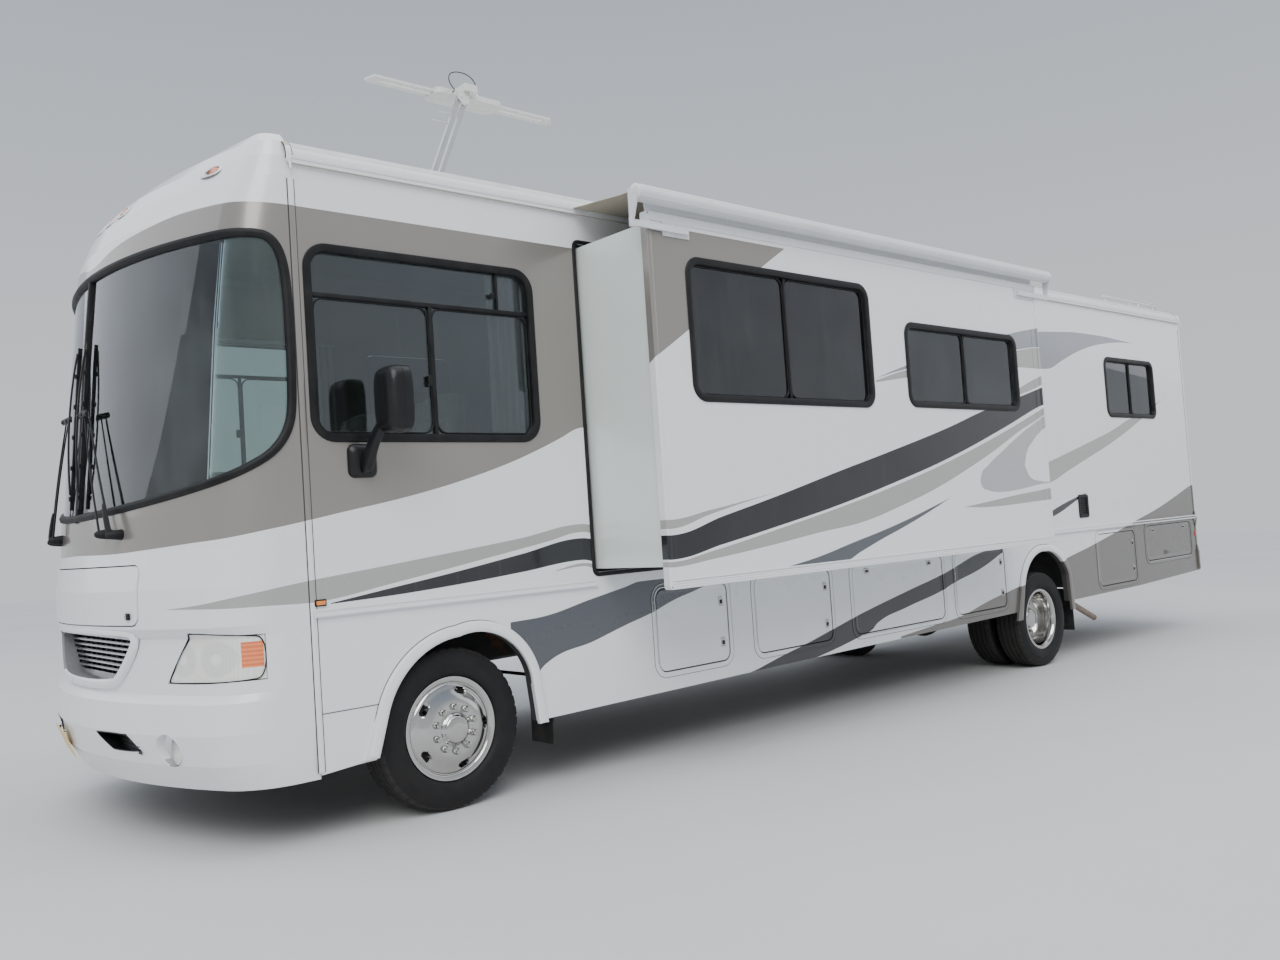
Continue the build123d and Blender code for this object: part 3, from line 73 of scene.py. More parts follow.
# ------------------------------------------------------------------ mesh building
class Build:
    """Collects the parts of one piece, in body coordinates."""

    def __init__(self):
        self.verts, self.faces, self.mats, self.smooth = [], [], [], []

    def add(self, verts, faces, mat=0, smooth=True, flip=False):
        base = len(self.verts)
        self.verts += [tuple(v) for v in verts]
        for f in faces:
            f = tuple(base + i for i in f)
            self.faces.append(f[::-1] if flip else f)
            self.mats.append(mat)
            self.smooth.append(smooth)

    def grid(self, rows, mat=0, closed=False, around=False, smooth=True, flip=False):
        """rows of points; closed joins each row's ends, around joins the last row to the first."""
        n, m = len(rows), len(rows[0])
        verts = [p for row in rows for p in row]
        faces = []
        for i in range(n if around else n - 1):
            a, b = i * m, ((i + 1) % n) * m
            for j in range(m if closed else m - 1):
                k = (j + 1) % m
                faces.append((a + j, b + j, b + k, a + k))
        self.add(verts, faces, mat, smooth, flip)

    def cap(self, ring, mat=0, smooth=False, flip=False):
        self.add(ring, [tuple(range(len(ring)))], mat, smooth, flip)

    def box(self, lo, hi, bevel=0.002, mat=0, turn=None, segments=2):
        bm = bmesh.new()
        bmesh.ops.create_cube(bm, size=1)
        mid = [(a + b) / 2 for a, b in zip(lo, hi)]
        size = [abs(b - a) for a, b in zip(lo, hi)]
        for v in bm.verts:
            v.co = Vector([c * s for c, s in zip(v.co, size)])
        if bevel:
            bmesh.ops.bevel(bm, geom=bm.edges[:], offset=min(bevel, 0.45 * min(size)), segments=segments,
                            profile=0.5, affect="EDGES")
        for v in bm.verts:
            v.co = (turn @ v.co if turn else v.co) + Vector(mid)
        self.bm(bm, mat)

    def bm(self, bm, mat=0, smooth=True):
        bm.verts.index_update()
        self.add([v.co for v in bm.verts], [[v.index for v in f.verts] for f in bm.faces], mat, smooth)
        bm.free()

    def sweep(self, path, ups, section, closed=False, mat=0, caps=True, scale=None):
        """section: (sideways, outward) pairs, counter-clockwise, carried along path; ups gives outward."""
        rows = []
        n = len(path)
        for i, p in enumerate(path):
            before = path[(i - 1) % n] if closed or i else path[0]
            after = path[(i + 1) % n] if closed or i < n - 1 else path[-1]
            along = (Vector(after) - Vector(before)).normalized()
            up = Vector(ups[i] if isinstance(ups, list) else ups)
            up = (up - along * up.dot(along)).normalized()
            side = along.cross(up)
            s = scale[i] if scale else 1
            rows.append([Vector(p) + side * a * s + up * b * s for a, b in section])
        self.grid(rows, mat, closed=True, around=closed)
        if caps and not closed:
            self.cap(rows[0], mat, flip=False)
            self.cap(rows[-1], mat, flip=True)

    def tube(self, path, r, mat=0, sides=12, closed=False, caps=True):
        ring = [(cos(2 * pi * k / sides), sin(2 * pi * k / sides)) for k in range(sides)]
        n = len(path)
        up = Vector((0.13, 0.21, 0.97))
        rows = []
        for i, p in enumerate(path):
            before = path[(i - 1) % n] if closed or i else path[0]
            after = path[(i + 1) % n] if closed or i < n - 1 else path[-1]
            along = (Vector(after) - Vector(before)).normalized()
            up = up - along * up.dot(along)
            if up.length < 1e-3:
                up = along.orthogonal()
            up.normalize()
            side = along.cross(up)
            rr = r[i] if isinstance(r, (list, tuple)) else r
            rows.append([Vector(p) + side * a * rr + up * b * rr for a, b in ring])
        self.grid(rows, mat, closed=True, around=closed)
        if caps and not closed:
            self.cap(rows[0], mat)
            self.cap(rows[-1], mat, flip=True)

    def lathe(self, profile, centre, axis="X", sides=48, mat=0, shape=None, mats=None, start=0.0):
        """profile: (along, radius) pairs turned about axis through centre."""
        c = Vector(centre)
        rows = []
        for k in range(sides):
            a = start + 2 * pi * k / sides
            row = []
            for i, (t, r) in enumerate(profile):
                if shape:
                    t, r = shape(t, r, a, i, k)
                if axis == "X":
                    row.append(c + Vector((t, r * cos(a), r * sin(a))))
                elif axis == "Y":
                    row.append(c + Vector((r * sin(a), t, r * cos(a))))
                else:
                    row.append(c + Vector((r * cos(a), r * sin(a), t)))
            rows.append(row)
        n, m = sides, len(profile)
        verts = [p for row in rows for p in row]
        groups = {}
        for i in range(n):
            a, b = i * m, ((i + 1) % n) * m
            for j in range(m - 1):
                which = mats(i, j) if mats else mat
                groups.setdefault(which, []).append((a + j, a + j + 1, b + j + 1, b + j))
        base = len(self.verts)
        self.verts += [tuple(v) for v in verts]
        for which, faces in groups.items():
            for f in faces:
                self.faces.append(tuple(base + i for i in f))
                self.mats.append(which)
                self.smooth.append(True)

    def prism(self, outline, axis, a0, a1, mat=0, bevel=0.0):
        """outline in the other two axes (in x, y, z order), drawn out along axis from a0 to a1."""
        bm = bmesh.new()

        def at(p, q, s):
            return {"X": (s, p, q), "Y": (p, s, q), "Z": (p, q, s)}[axis]
        low = [bm.verts.new(at(p, q, a0)) for p, q in outline]
        high = [bm.verts.new(at(p, q, a1)) for p, q in outline]
        n = len(outline)
        bm.faces.new(low[::-1])
        bm.faces.new(high)
        for i in range(n):
            bm.faces.new((low[i], low[(i + 1) % n], high[(i + 1) % n], high[i]))
        bmesh.ops.recalc_face_normals(bm, faces=bm.faces[:])
        if bevel:
            bmesh.ops.bevel(bm, geom=bm.edges[:], offset=bevel, segments=2, profile=0.5, affect="EDGES")
        self.bm(bm, mat)

    def mirrored(self, other, flip=True):
        """Adds other's parts mirrored to the kerb side."""
        base = len(self.verts)
        self.verts += [(-x, y, z) for x, y, z in other.verts]
        for f, m, s in zip(other.faces, other.mats, other.smooth):
            self.faces.append(tuple(base + i for i in f[::-1]))
            self.mats.append(m)
            self.smooth.append(s)


def piece(name, build, materials, body="motorhome", stands_for=(), sharp=32, frame_matrix=BODY):
    mesh = bpy.data.meshes.new(name)
    mesh.from_pydata([tuple(v) for v in build.verts], [], build.faces)
    for m in materials:
        mesh.materials.append(m.mat if isinstance(m, Shader) else m)
    mesh.polygons.foreach_set("material_index", build.mats)
    mesh.polygons.foreach_set("use_smooth", build.smooth)
    bm = bmesh.new()
    bm.from_mesh(mesh)
    bmesh.ops.remove_doubles(bm, verts=bm.verts[:], dist=2e-5)
    bmesh.ops.recalc_face_normals(bm, faces=bm.faces[:])
    bm.to_mesh(mesh)
    bm.free()
    if frame_matrix:
        mesh.transform(frame_matrix)
    mesh.set_sharp_from_angle(angle=radians(sharp))
    obj = bpy.data.objects.new(name, mesh)
    bpy.context.scene.collection.objects.link(obj)
    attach(obj, body)
    if stands_for:
        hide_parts(*stands_for)
    return obj


def rounded(y0, y1, z0, z1, r, steps=6):
    """A rounded rectangle's outline, counter-clockwise, as (y, z)."""
    out = []
    for cy, cz, a0 in ((y1 - r, z0 + r, -90), (y1 - r, z1 - r, 0), (y0 + r, z1 - r, 90), (y0 + r, z0 + r, 180)):
        for k in range(steps + 1):
            a = radians(a0 + 90 * k / steps)
            out.append((cy + r * cos(a), cz + r * sin(a)))
    return out


def smooth_line(points, per=8):
    """A smooth run of points through the given ones (Catmull-Rom)."""
    pts = [Vector(p) for p in points]
    pts = [2 * pts[0] - pts[1]] + pts + [2 * pts[-1] - pts[-2]]
    out = []
    for a, b, c, d in zip(pts, pts[1:], pts[2:], pts[3:]):
        for k in range(per):
            t = k / per
            out.append(0.5 * ((2 * b) + (c - a) * t + (2 * a - 5 * b + 4 * c - d) * t * t
                              + (3 * b - a - 3 * c + d) * t ** 3))
    out.append(pts[-2])
    return out


# ------------------------------------------------------------------ the front cap's surface
CAP = [(.300, 1.345, 1.258, .300, 2.6), (.420, 1.415, 1.266, .300, 2.65), (.560, 1.449, 1.270, .300, 2.7),
       (.700, 1.440, 1.270, .300, 2.7), (.735, 1.395, 1.270, .300, 2.7), (.990, 1.390, 1.270, .300, 2.7),
       (1.040, 1.432, 1.270, .300, 2.65), (1.220, 1.432, 1.270, .300, 2.6), (1.400, 1.405, 1.270, .300, 2.6),
       (1.570, 1.395, 1.270, .300, 2.6), (2.000, 1.357, 1.270, .300, 2.6), (2.400, 1.322, 1.270, .300, 2.6),
       (2.850, 1.275, 1.270, .290, 2.6), (2.990, 1.248, 1.270, .280, 2.6), (3.120, 1.192, 1.268, .210, 2.7),
       (3.220, 1.122, 1.258, .150, 3.1), (3.300, 1.030, 1.232, .100, 4.0), (3.345, .940, 1.185, .070, 6.0),
       (3.370, .850, 1.080, .040, 9.0)]


def cap_row(z):
    z = min(max(z, CAP[0][0]), CAP[-1][0])
    for a, b in zip(CAP, CAP[1:]):
        if a[0] <= z <= b[0]:
            t = (z - a[0]) / (b[0] - a[0])
            return [p + (q - p) * t for p, q in zip(a[1:], b[1:])]


def cap_tips(nose, half, corner, bow):
    cx = half - corner
    cy = -nose + bow - sqrt((bow - corner) ** 2 - cx ** 2)
    k = bow / (bow - corner)
    return (half, cy), (cx * k, (-nose + bow) + (cy - (-nose + bow)) * k)


def front_y(x, z):
    nose, half, corner, bow = cap_row(z)
    side, tip = cap_tips(nose, half, corner, bow)
    if abs(x) <= tip[0]:
        return -nose + bow - sqrt(bow ** 2 - x ** 2)
    return side[1] - sqrt(max(corner ** 2 - (abs(x) - half + corner) ** 2, 0))


def cap_x(y, z):
    """How far out the cap reaches at y."""
    nose, half, corner, bow = cap_row(z)
    side, tip = cap_tips(nose, half, corner, bow)
    if y <= -nose:
        return 0.0
    if y >= side[1]:
        return half
    if y <= tip[1]:
        return sqrt(max(bow ** 2 - (-nose + bow - y) ** 2, 0))
    return half - corner + sqrt(max(corner ** 2 - (side[1] - y) ** 2, 0))


def cap_normal(p):
    """Outward normal of the cap near p, for x >= 0 and mirrored."""
    x, y, z = p
    nose, half, corner, bow = cap_row(z)
    side, tip = cap_tips(nose, half, corner, bow)
    if y >= side[1]:
        n = Vector((1, 0, 0))
    elif abs(x) > tip[0]:
        n = Vector((abs(x) - half + corner, y - side[1], 0)).normalized()
    else:
        n = Vector((abs(x), y - (-nose + bow), 0)).normalized()
    d = 0.02
    lower, upper = cap_row(z - d), cap_row(z + d)
    slope = (upper[0] - lower[0]) / (2 * d) * max(-n.y, 0) + (upper[1] - lower[1]) / (2 * d) * n.x
    n = Vector((n.x if x >= 0 else -n.x, n.y, -slope))
    return n.normalized()


# ------------------------------------------------------------------ procedural materials
class Nodes:
    """Short names for the nodes of one tree."""

    def __init__(self, tree):
        self.tree = tree

    def node(self, kind, inputs=(), **props):
        n = self.tree.nodes.new(kind)
        for k, v in props.items():
            setattr(n, k, v)
        for k, v in dict(inputs).items():
            self.put(n.inputs[k], v)
        return n

    def put(self, socket, value):
        if isinstance(value, bpy.types.NodeSocket):
            self.tree.links.new(value, socket)
        else:
            if socket.type == "RGBA" and len(value) == 3:
                value = (*value, 1)
            socket.default_value = value

    def math(self, op, a, b=0.0, c=0.0, clamp=False):
        n = self.node("ShaderNodeMath", {0: a, 1: b, 2: c}, operation=op, use_clamp=clamp)
        return n.outputs[0]

    def times(self, *terms):
        out = terms[0]
        for t in terms[1:]:
            out = self.math("MULTIPLY", out, t)
        return out

    def below(self, a, b):
        return self.math("LESS_THAN", a, b)

    def above(self, a, b):
        return self.math("GREATER_THAN", a, b)

    def within(self, v, lo, hi):
        return self.times(self.above(v, lo), self.below(v, hi))

    def either(self, a, b):
        return self.math("MAXIMUM", a, b)

    def unless(self, a, b):
        return self.math("MULTIPLY", a, self.math("SUBTRACT", 1.0, b))

    def ease(self, v, lo, hi):
        n = self.node("ShaderNodeMapRange", {0: v, 1: lo, 2: hi, 3: 0.0, 4: 1.0}, interpolation_type="SMOOTHSTEP")
        return n.outputs[0]

    def span(self, v, lo, hi, out_lo=0.0, out_hi=1.0):
        n = self.node("ShaderNodeMapRange", {0: v, 1: lo, 2: hi, 3: out_lo, 4: out_hi})
        return n.outputs[0]

    def mix(self, fac, a, b, blend="MIX"):
        n = self.node("ShaderNodeMix", data_type="RGBA", blend_type=blend)
        self.put(n.inputs[0], fac)
        self.put(n.inputs[6], a)
        self.put(n.inputs[7], b)
        return n.outputs[2]

    def noise(self, at, scale, detail=3.0, rough=0.55, stretch=None):
        if stretch:
            at = self.node("ShaderNodeMapping", {0: at, 3: stretch}).outputs[0]
        n = self.node("ShaderNodeTexNoise", {"Vector": at, "Scale": scale, "Detail": detail, "Roughness": rough})
        return n.outputs[0]

    def cells(self, at, scale, feature="F1", stretch=None):
        if stretch:
            at = self.node("ShaderNodeMapping", {0: at, 3: stretch}).outputs[0]
        n = self.node("ShaderNodeTexVoronoi", {"Vector": at, "Scale": scale}, feature=feature)
        return n.outputs[0]

    def wave(self, at, scale, direction="X", profile="SIN", distortion=0.0):
        n = self.node("ShaderNodeTexWave", {"Vector": at, "Scale": scale, "Distortion": distortion},
                      wave_type="BANDS", bands_direction=direction, wave_profile=profile)
        return n.outputs[1]

    def curve(self, value, points, soft=True):
        n = self.node("ShaderNodeFloatCurve", {1: value})
        c = n.mapping.curves[0]
        c.points[0].location = points[0]
        c.points[1].location = points[-1]
        for p in points[1:-1]:
            c.points.new(*p)
        for p in c.points:
            p.handle_type = "AUTO_CLAMPED" if soft else "VECTOR"
        n.mapping.use_clip = False
        n.mapping.update()
        return n.outputs[0]

    def split(self, vector):
        n = self.node("ShaderNodeSeparateXYZ", {0: vector})
        return n.outputs[0], n.outputs[1], n.outputs[2]


class Shader(Nodes):
    """One material on the Principled shader, with body coordinates at hand."""

    def __init__(self, name, rough=0.5, metal=0.0, coat=0.0, coat_rough=0.08, ior=1.5, spec=None, sheen=0.0,
                 transmission=0.0, subsurface=0.0):
        self.mat = bpy.data.materials.new(name)
        self.mat.use_nodes = True
        super().__init__(self.mat.node_tree)
        self.bsdf = self.tree.nodes["Principled BSDF"]
        self.set("Roughness", rough)
        self.set("Metallic", metal)
        self.set("IOR", ior)
        if coat:
            self.set("Coat Weight", coat)
            self.set("Coat Roughness", coat_rough)
        if spec is not None:
            self.set("Specular IOR Level", spec)
        if sheen:
            self.set("Sheen Weight", sheen)
        if transmission:
            self.set("Transmission Weight", transmission)
        if subsurface:
            self.set("Subsurface Weight", subsurface)
            self.set("Subsurface Scale", 0.01)
        coords = self.node("ShaderNodeTexCoord")
        self.row = coords.outputs["Object"]
        self.normal = coords.outputs["Normal"]
        back = Matrix.Rotation(-RAKE, 4, "X")
        shift = Vector((0, 0, 0.4)) - (back @ Vector((-0.185, -4.1, 0.412)))
        self.at = self.node("ShaderNodeMapping", {0: self.row, 1: tuple(shift), 2: (-RAKE, 0, 0)}).outputs[0]
        self.x, self.y, self.z = self.split(self.at)
        self.ax = self.math("ABSOLUTE", self.x)

    def set(self, socket, value):
        self.put(self.bsdf.inputs[socket], value)
        return self

    def color(self, value):
        return self.set("Base Color", value)

    def rough(self, fac, lo, hi):
        return self.set("Roughness", self.span(fac, 0.3, 0.7, lo, hi))

    def bump(self, height, distance, strength=1.0):
        last = getattr(self, "last_bump", None)
        inputs = {"Height": height, "Distance": distance, "Strength": strength}
        if last:
            inputs["Normal"] = last
        self.last_bump = self.node("ShaderNodeBump", inputs).outputs[0]
        return self.set("Normal", self.last_bump)

    def outward(self, cx, cy, cz):
        """1 where the surface faces away from a point inside the body."""
        to = self.node("ShaderNodeVectorMath", {0: self.at, 1: (cx, cy, cz)}, operation="SUBTRACT").outputs[0]
        dot = self.node("ShaderNodeVectorMath", {0: to, 1: self.normal}, operation="DOT_PRODUCT").outputs["Value"]
        return self.above(dot, 0.0)


WHITE = (0.80, 0.815, 0.83)
TAUPE = (0.262, 0.243, 0.222)
LIGHT_TAUPE = (0.415, 0.405, 0.388)
DEEP_TAUPE = (0.172, 0.160, 0.148)
CHARCOAL = (0.014, 0.0145, 0.018)
MID_GREY = (0.095, 0.103, 0.118)
DARK_GREY = (0.078, 0.085, 0.099)
COOL_GREY = (0.285, 0.295, 0.33)
HOOK_GREY = (0.46, 0.47, 0.475)

TAUPE_LOW = [(.05, 1.403), (.508, 1.398), (.921, 1.409), (1.268, 1.423), (1.56, 1.437), (1.785, 1.463), (1.972, 1.493),
             (2.167, 1.528), (2.396, 1.567), (2.64, 1.616), (2.867, 1.671), (3.143, 1.752), (3.327, 1.818),
             (3.499, 1.888), (3.623, 1.942), (3.709, 1.952), (3.96, 2.066), (5.228, 2.855), (5.458, 2.997)]
TAUPE_TOP = [(0, 2.902), (.046, 2.904), (.29, 2.947), (.642, 2.981), (.905, 2.998), (1.124, 2.995), (1.244, 2.985),
             (1.27, 2.982), (1.3, 2.98)]
LOWER_TAUPE = [(3.851, .413), (4.302, .446), (4.663, .473), (5.141, .56), (5.679, .641), (6.487, .809), (6.948, .885),
               (7.441, .976), (7.97, 1.08), (8.535, 1.189), (9.021, 1.305), (9.438, 1.405), (9.6, 1.42)]
STRIPES = [
    ("B", LIGHT_TAUPE,
     [(-1.278, 1.128), (-1.218, 1.139), (-1.104, 1.165), (-.948, 1.19), (-.759, 1.214), (-.487, 1.242), (-.195, 1.272),
      (.121, 1.305), (.463, 1.343), (.877, 1.398), (1.002, 1.387), (1.314, 1.427), (1.885, 1.51)],
     [(-1.278, 1.128), (-1.219, 1.126), (-1.106, 1.121), (-.951, 1.119), (-.757, 1.113), (-.632, 1.12), (-.35, 1.162),
      (-.046, 1.207), (.284, 1.258), (.64, 1.314), (.877, 1.353), (1.002, 1.339), (1.312, 1.403), (1.542, 1.449),
      (1.885, 1.51)]),
    ("C", CHARCOAL,
     [(-.647, 1.102), (-.351, 1.142), (.032, 1.193), (.456, 1.257), (.875, 1.319), (1.001, 1.305), (1.422, 1.391),
      (1.909, 1.493), (2.452, 1.616), (3.063, 1.75), (3.754, 1.91), (4.197, 2.028), (4.782, 2.159), (5.154, 2.248),
      (6.3, 2.56)],
     [(-.647, 1.098), (-.28, 1.11), (.109, 1.133), (.449, 1.16), (.872, 1.196), (1.003, 1.175), (1.406, 1.235),
      (1.889, 1.313), (2.428, 1.407), (3.034, 1.532), (3.723, 1.692), (4.516, 1.918), (5.028, 2.078), (5.167, 2.115),
      (6.3, 2.56)]),
    ("D", LIGHT_TAUPE,
     [(.683, 1.152), (.875, 1.178), (1.008, 1.163), (1.314, 1.202), (1.887, 1.296), (2.425, 1.39), (3.032, 1.51),
      (3.72, 1.669), (4.511, 1.886), (5.163, 2.09), (5.5, 2.2)],
     [(.683, 1.148), (.875, 1.161), (1.005, 1.134), (1.309, 1.157), (1.753, 1.198), (2.245, 1.252), (2.701, 1.298),
      (3.11, 1.381), (3.555, 1.49), (4.006, 1.629), (4.413, 1.77), (4.718, 1.888), (5.154, 2.036), (5.5, 2.2)]),
    ("K", LIGHT_TAUPE,
     [(3.869, 1.343), (4.203, 1.371), (4.601, 1.406), (5.026, 1.437), (5.175, 1.451), (5.7, 1.565), (6.347, 1.70),
      (7.125, 1.872), (7.631, 1.991), (8.01, 2.101), (8.287, 2.157), (8.7, 2.281), (8.995, 2.393)],
     [(3.869, 1.343), (4.197, 1.331), (4.49, 1.335), (4.868, 1.348), (5.178, 1.36), (5.7, 1.42), (6.341, 1.513),
      (6.622, 1.595), (7.1, 1.729), (7.609, 1.872), (8.276, 2.098), (8.697, 2.267), (8.995, 2.393)]),
    ("L", MID_GREY,
     [(1.932, 1.068), (2.228, 1.108), (2.569, 1.172), (2.872, 1.227), (3.161, 1.286), (3.468, 1.358), (3.713, 1.417)],
     [(1.932, 1.064), (2.47, 1.062), (2.648, 1.111), (2.865, 1.173), (3.156, 1.249), (3.466, 1.339), (3.713, 1.417)]),
    ("M", COOL_GREY,
     [(2.937, 2.225), (3.285, 2.323), (4.746, 2.648), (5.157, 2.717), (5.6, 2.79), (6.331, 2.876), (6.67, 2.899),
      (7.125, 2.92), (7.605, 2.919), (7.956, 2.903), (8.27, 2.892)],
     [(2.937, 2.225), (3.288, 2.301), (4.784, 2.521), (5.157, 2.559), (5.7, 2.55), (6.2, 2.535), (6.459, 2.546),
      (6.712, 2.633), (6.998, 2.725), (7.291, 2.797), (7.591, 2.845), (7.899, 2.876), (8.27, 2.892)]),
    ("M2", LIGHT_TAUPE,
     [(2.937, 2.21), (3.281, 2.292), (4.794, 2.515), (5.156, 2.555), (5.9, 2.545)],
     [(2.937, 2.197), (3.274, 2.241), (4.801, 2.385), (5.158, 2.389), (5.9, 2.545)]),
    ("N", LIGHT_TAUPE,
     [(4.6, 2.15), (4.8, 2.23), (5.157, 2.341), (5.7, 2.5)],
     [(4.6, 2.15), (4.803, 2.18), (5.158, 2.275), (5.7, 2.5)]),
    ("P", CHARCOAL,
     [(5.95, 1.142), (6.35, 1.265), (6.781, 1.359), (6.993, 1.395)],
     [(5.95, 1.138), (6.353, 1.208), (6.776, 1.329), (6.993, 1.395)]),
    ("R", CHARCOAL,
     [(2.09, .369), (2.247, .389), (2.379, .417), (2.535, .45), (2.817, .504), (3.098, .566), (3.329, .617),
      (3.966, .737), (4.493, .832), (4.671, .874), (5.005, .952), (5.387, .985)],
     [(2.09, .34), (2.651, .364), (3.028, .412), (3.313, .462), (3.511, .504), (3.588, .546), (3.95, .618),
      (4.455, .703), (4.579, .736), (5.052, .833), (5.387, .935)]),
]
DARK_TOP = [(.36, .901), (.609, .913), (.896, .967), (1.181, 1.018), (1.3, 1.04), (2.05, 1.04)]
DARK_LOW = [(.36, .52), (.47, .56), (.569, .648), (.935, .738), (1.162, .797), (1.377, .848), (1.582, .91),
            (1.741, .944), (1.95, 1.0), (2.05, 1.035)]
HOOK_TOP = [(4.115, 1.52), (4.127, 1.556), (4.244, 1.638), (4.453, 1.738), (4.743, 1.869), (5.006, 1.97),
            (5.18, 2.036)]
HOOK_LOW = [(4.115, 1.52), (4.127, 1.489), (4.216, 1.453), (4.406, 1.436), (4.676, 1.449), (4.96, 1.477),
            (5.18, 1.49)]
HOOK_IN_TOP = [(4.767, 1.631), (4.806, 1.719), (4.908, 1.808), (5.027, 1.88), (5.18, 1.945)]
HOOK_IN_LOW = [(4.767, 1.631), (4.829, 1.542), (5.001, 1.503), (5.18, 1.493)]


def livery_tree():
    """Stripes as pairs of edge curves in the side view; output: the paint's colour and how metallic it is."""
    tree = bpy.data.node_groups.new("livery", "ShaderNodeTree")
    tree.interface.new_socket("Place", in_out="INPUT", socket_type="NodeSocketVector")
    tree.interface.new_socket("Color", in_out="OUTPUT", socket_type="NodeSocketColor")
    tree.interface.new_socket("Flake", in_out="OUTPUT", socket_type="NodeSocketFloat")
    g = Nodes(tree)
    x, y, z = g.split(g.node("NodeGroupInput").outputs[0])
    ax = g.math("ABSOLUTE", x)
    height = g.math("DIVIDE", z, 4.0)

    def edge(v, points):
        a, b = points[0][0], points[-1][0]
        return g.curve(g.span(v, a, b), [((p - a) / (b - a), q / 4) for p, q in points])

    def stripe(top_line, low_line):
        lo, hi = min(top_line[0][0], low_line[0][0]), max(top_line[-1][0], low_line[-1][0])
        return g.times(g.within(y, lo, hi), g.below(height, edge(y, top_line)), g.above(height, edge(y, low_line)))

    u = g.math("ADD", g.math("ADD", ax, y), 1.45)
    band = g.times(g.below(u, 5.458), g.above(height, edge(u, TAUPE_LOW)), g.below(height, edge(ax, TAUPE_TOP)))
    color = g.mix(band, WHITE, TAUPE)
    flake = band
    low_band = g.times(g.above(y, 3.851), g.below(height, edge(y, LOWER_TAUPE)))
    color = g.mix(low_band, color, DEEP_TAUPE)
    flake = g.either(flake, low_band)
    dark = g.times(stripe(DARK_TOP, DARK_LOW), g.below(ax, 1.2735))
    color = g.mix(dark, color, DARK_GREY)
    flake = g.either(flake, dark)
    hook = g.unless(stripe(HOOK_TOP, HOOK_LOW), stripe(HOOK_IN_TOP, HOOK_IN_LOW))
    color = g.mix(hook, color, HOOK_GREY)
    flake = g.either(flake, hook)
    for name, paint, top_line, low_line in STRIPES:
        mask = stripe(top_line, low_line)
        color = g.mix(mask, color, paint)
        flake = g.either(flake, mask)
    out = g.node("NodeGroupOutput")
    g.put(out.inputs[0], color)
    g.put(out.inputs[1], flake)
    return tree


LIVERY = livery_tree()


def painted(name, inside=None, inner=(0.52, 0.47, 0.40)):
    """Gelcoat with the livery. inside: a function that gives 1 on faces that look into the body."""
    s = Shader(name, coat=0.55, coat_rough=0.07)
    art = s.node("ShaderNodeGroup", node_tree=LIVERY)
    s.put(art.inputs[0], s.at)
    color, flake = art.outputs[0], art.outputs[1]
    # slow mottling, road film low down and thin rain streaks
    slow = s.noise(s.at, 0.7, 3)
    film = s.times(s.span(s.z, 1.15, 0.30), s.noise(s.at, 3.5, 4, 0.6))
    streaks = s.noise(s.at, 3.0, 4, 0.6, stretch=(11.0, 11.0, 0.35))
    color = s.mix(s.span(slow, 0.3, 0.75, 0.0, 0.035), color, (0.62, 0.63, 0.63))
    color = s.mix(s.span(film, 0.12, 0.75, 0.0, 0.09), color, (0.24, 0.215, 0.185))
    color = s.mix(s.span(streaks, 0.56, 0.88, 0.0, 0.06), color, (0.40, 0.39, 0.37))
    sparkle = s.cells(s.at, 900.0)
    color = s.mix(s.times(flake, s.span(sparkle, 0.0, 0.35, 0.08, 0.0)), color, (0.60, 0.58, 0.55))
    metal = s.times(flake, 0.34)
    rough = s.math("ADD", s.span(slow, 0.25, 0.75, 0.20, 0.30), s.span(film, 0.1, 0.8, 0.0, 0.28))
    if inside is not None:
        inner_mask = inside(s)
        weave = s.noise(s.at, 120.0, 2)
        # inner faces' colour with a weave; on the front cap a darker grey, painted shade
        cloth = s.mix(s.span(weave, 0.35, 0.65), inner, tuple(c * 0.86 for c in inner))
        color = s.mix(inner_mask, color, cloth)
        metal = s.unless(metal, inner_mask)
        rough = s.math("MAXIMUM", rough, s.times(inner_mask, 0.72))
    s.color(color)
    s.set("Metallic", metal)
    s.set("Roughness", rough)
    s.bump(s.noise(s.at, 55.0, 2), 0.0004, 0.35)
    s.bump(s.noise(s.at, 1.1, 1), 0.003, 0.15)
    return s


def flat_wall_inside(s):
    return s.below(s.ax, 1.262)


def white_plastic(name, base=(0.76, 0.775, 0.79), rough=(0.26, 0.42), dirt=0.2):
    s = Shader(name, coat=0.2)
    slow = s.noise(s.at, 5.0, 4)
    grime = s.noise(s.at, 22.0, 5, 0.65)
    color = s.mix(s.span(slow, 0.3, 0.75, 0.0, 0.5 * dirt), base, tuple(c * 0.82 for c in base))
    color = s.mix(s.span(grime, 0.55, 0.85, 0.0, dirt), color, (0.36, 0.34, 0.30))
    s.color(color)
    s.rough(slow, *rough)
    s.bump(s.noise(s.at, 90.0, 2), 0.0003, 0.5)
    return s


def rubber(name, base=(0.010, 0.010, 0.011), rough=(0.5, 0.72), dust=0.25):
    s = Shader(name, spec=0.28)
    slow = s.noise(s.at, 9.0, 4)
    fine = s.noise(s.at, 160.0, 3)
    color = s.mix(s.span(slow, 0.4, 0.8, 0.0, dust), base, (0.075, 0.072, 0.066))
    s.color(color)
    s.rough(slow, *rough)
    s.bump(fine, 0.0004, 0.6)
    return s


def metal(name, base, rough=(0.15, 0.3), brushed=None, stain=(0.2, 0.18, 0.15), stain_amount=0.25, bump=0.0002):
    s = Shader(name, metal=1.0)
    slow = s.noise(s.at, 7.0, 5, 0.6)
    color = s.mix(s.span(slow, 0.55, 0.85, 0.0, stain_amount), base, stain)
    s.color(color)
    s.rough(slow, *rough)
    lines = s.noise(s.at, 200.0, 3, stretch=brushed) if brushed else s.noise(s.at, 140.0, 3)
    s.bump(lines, bump, 0.6)
    return s


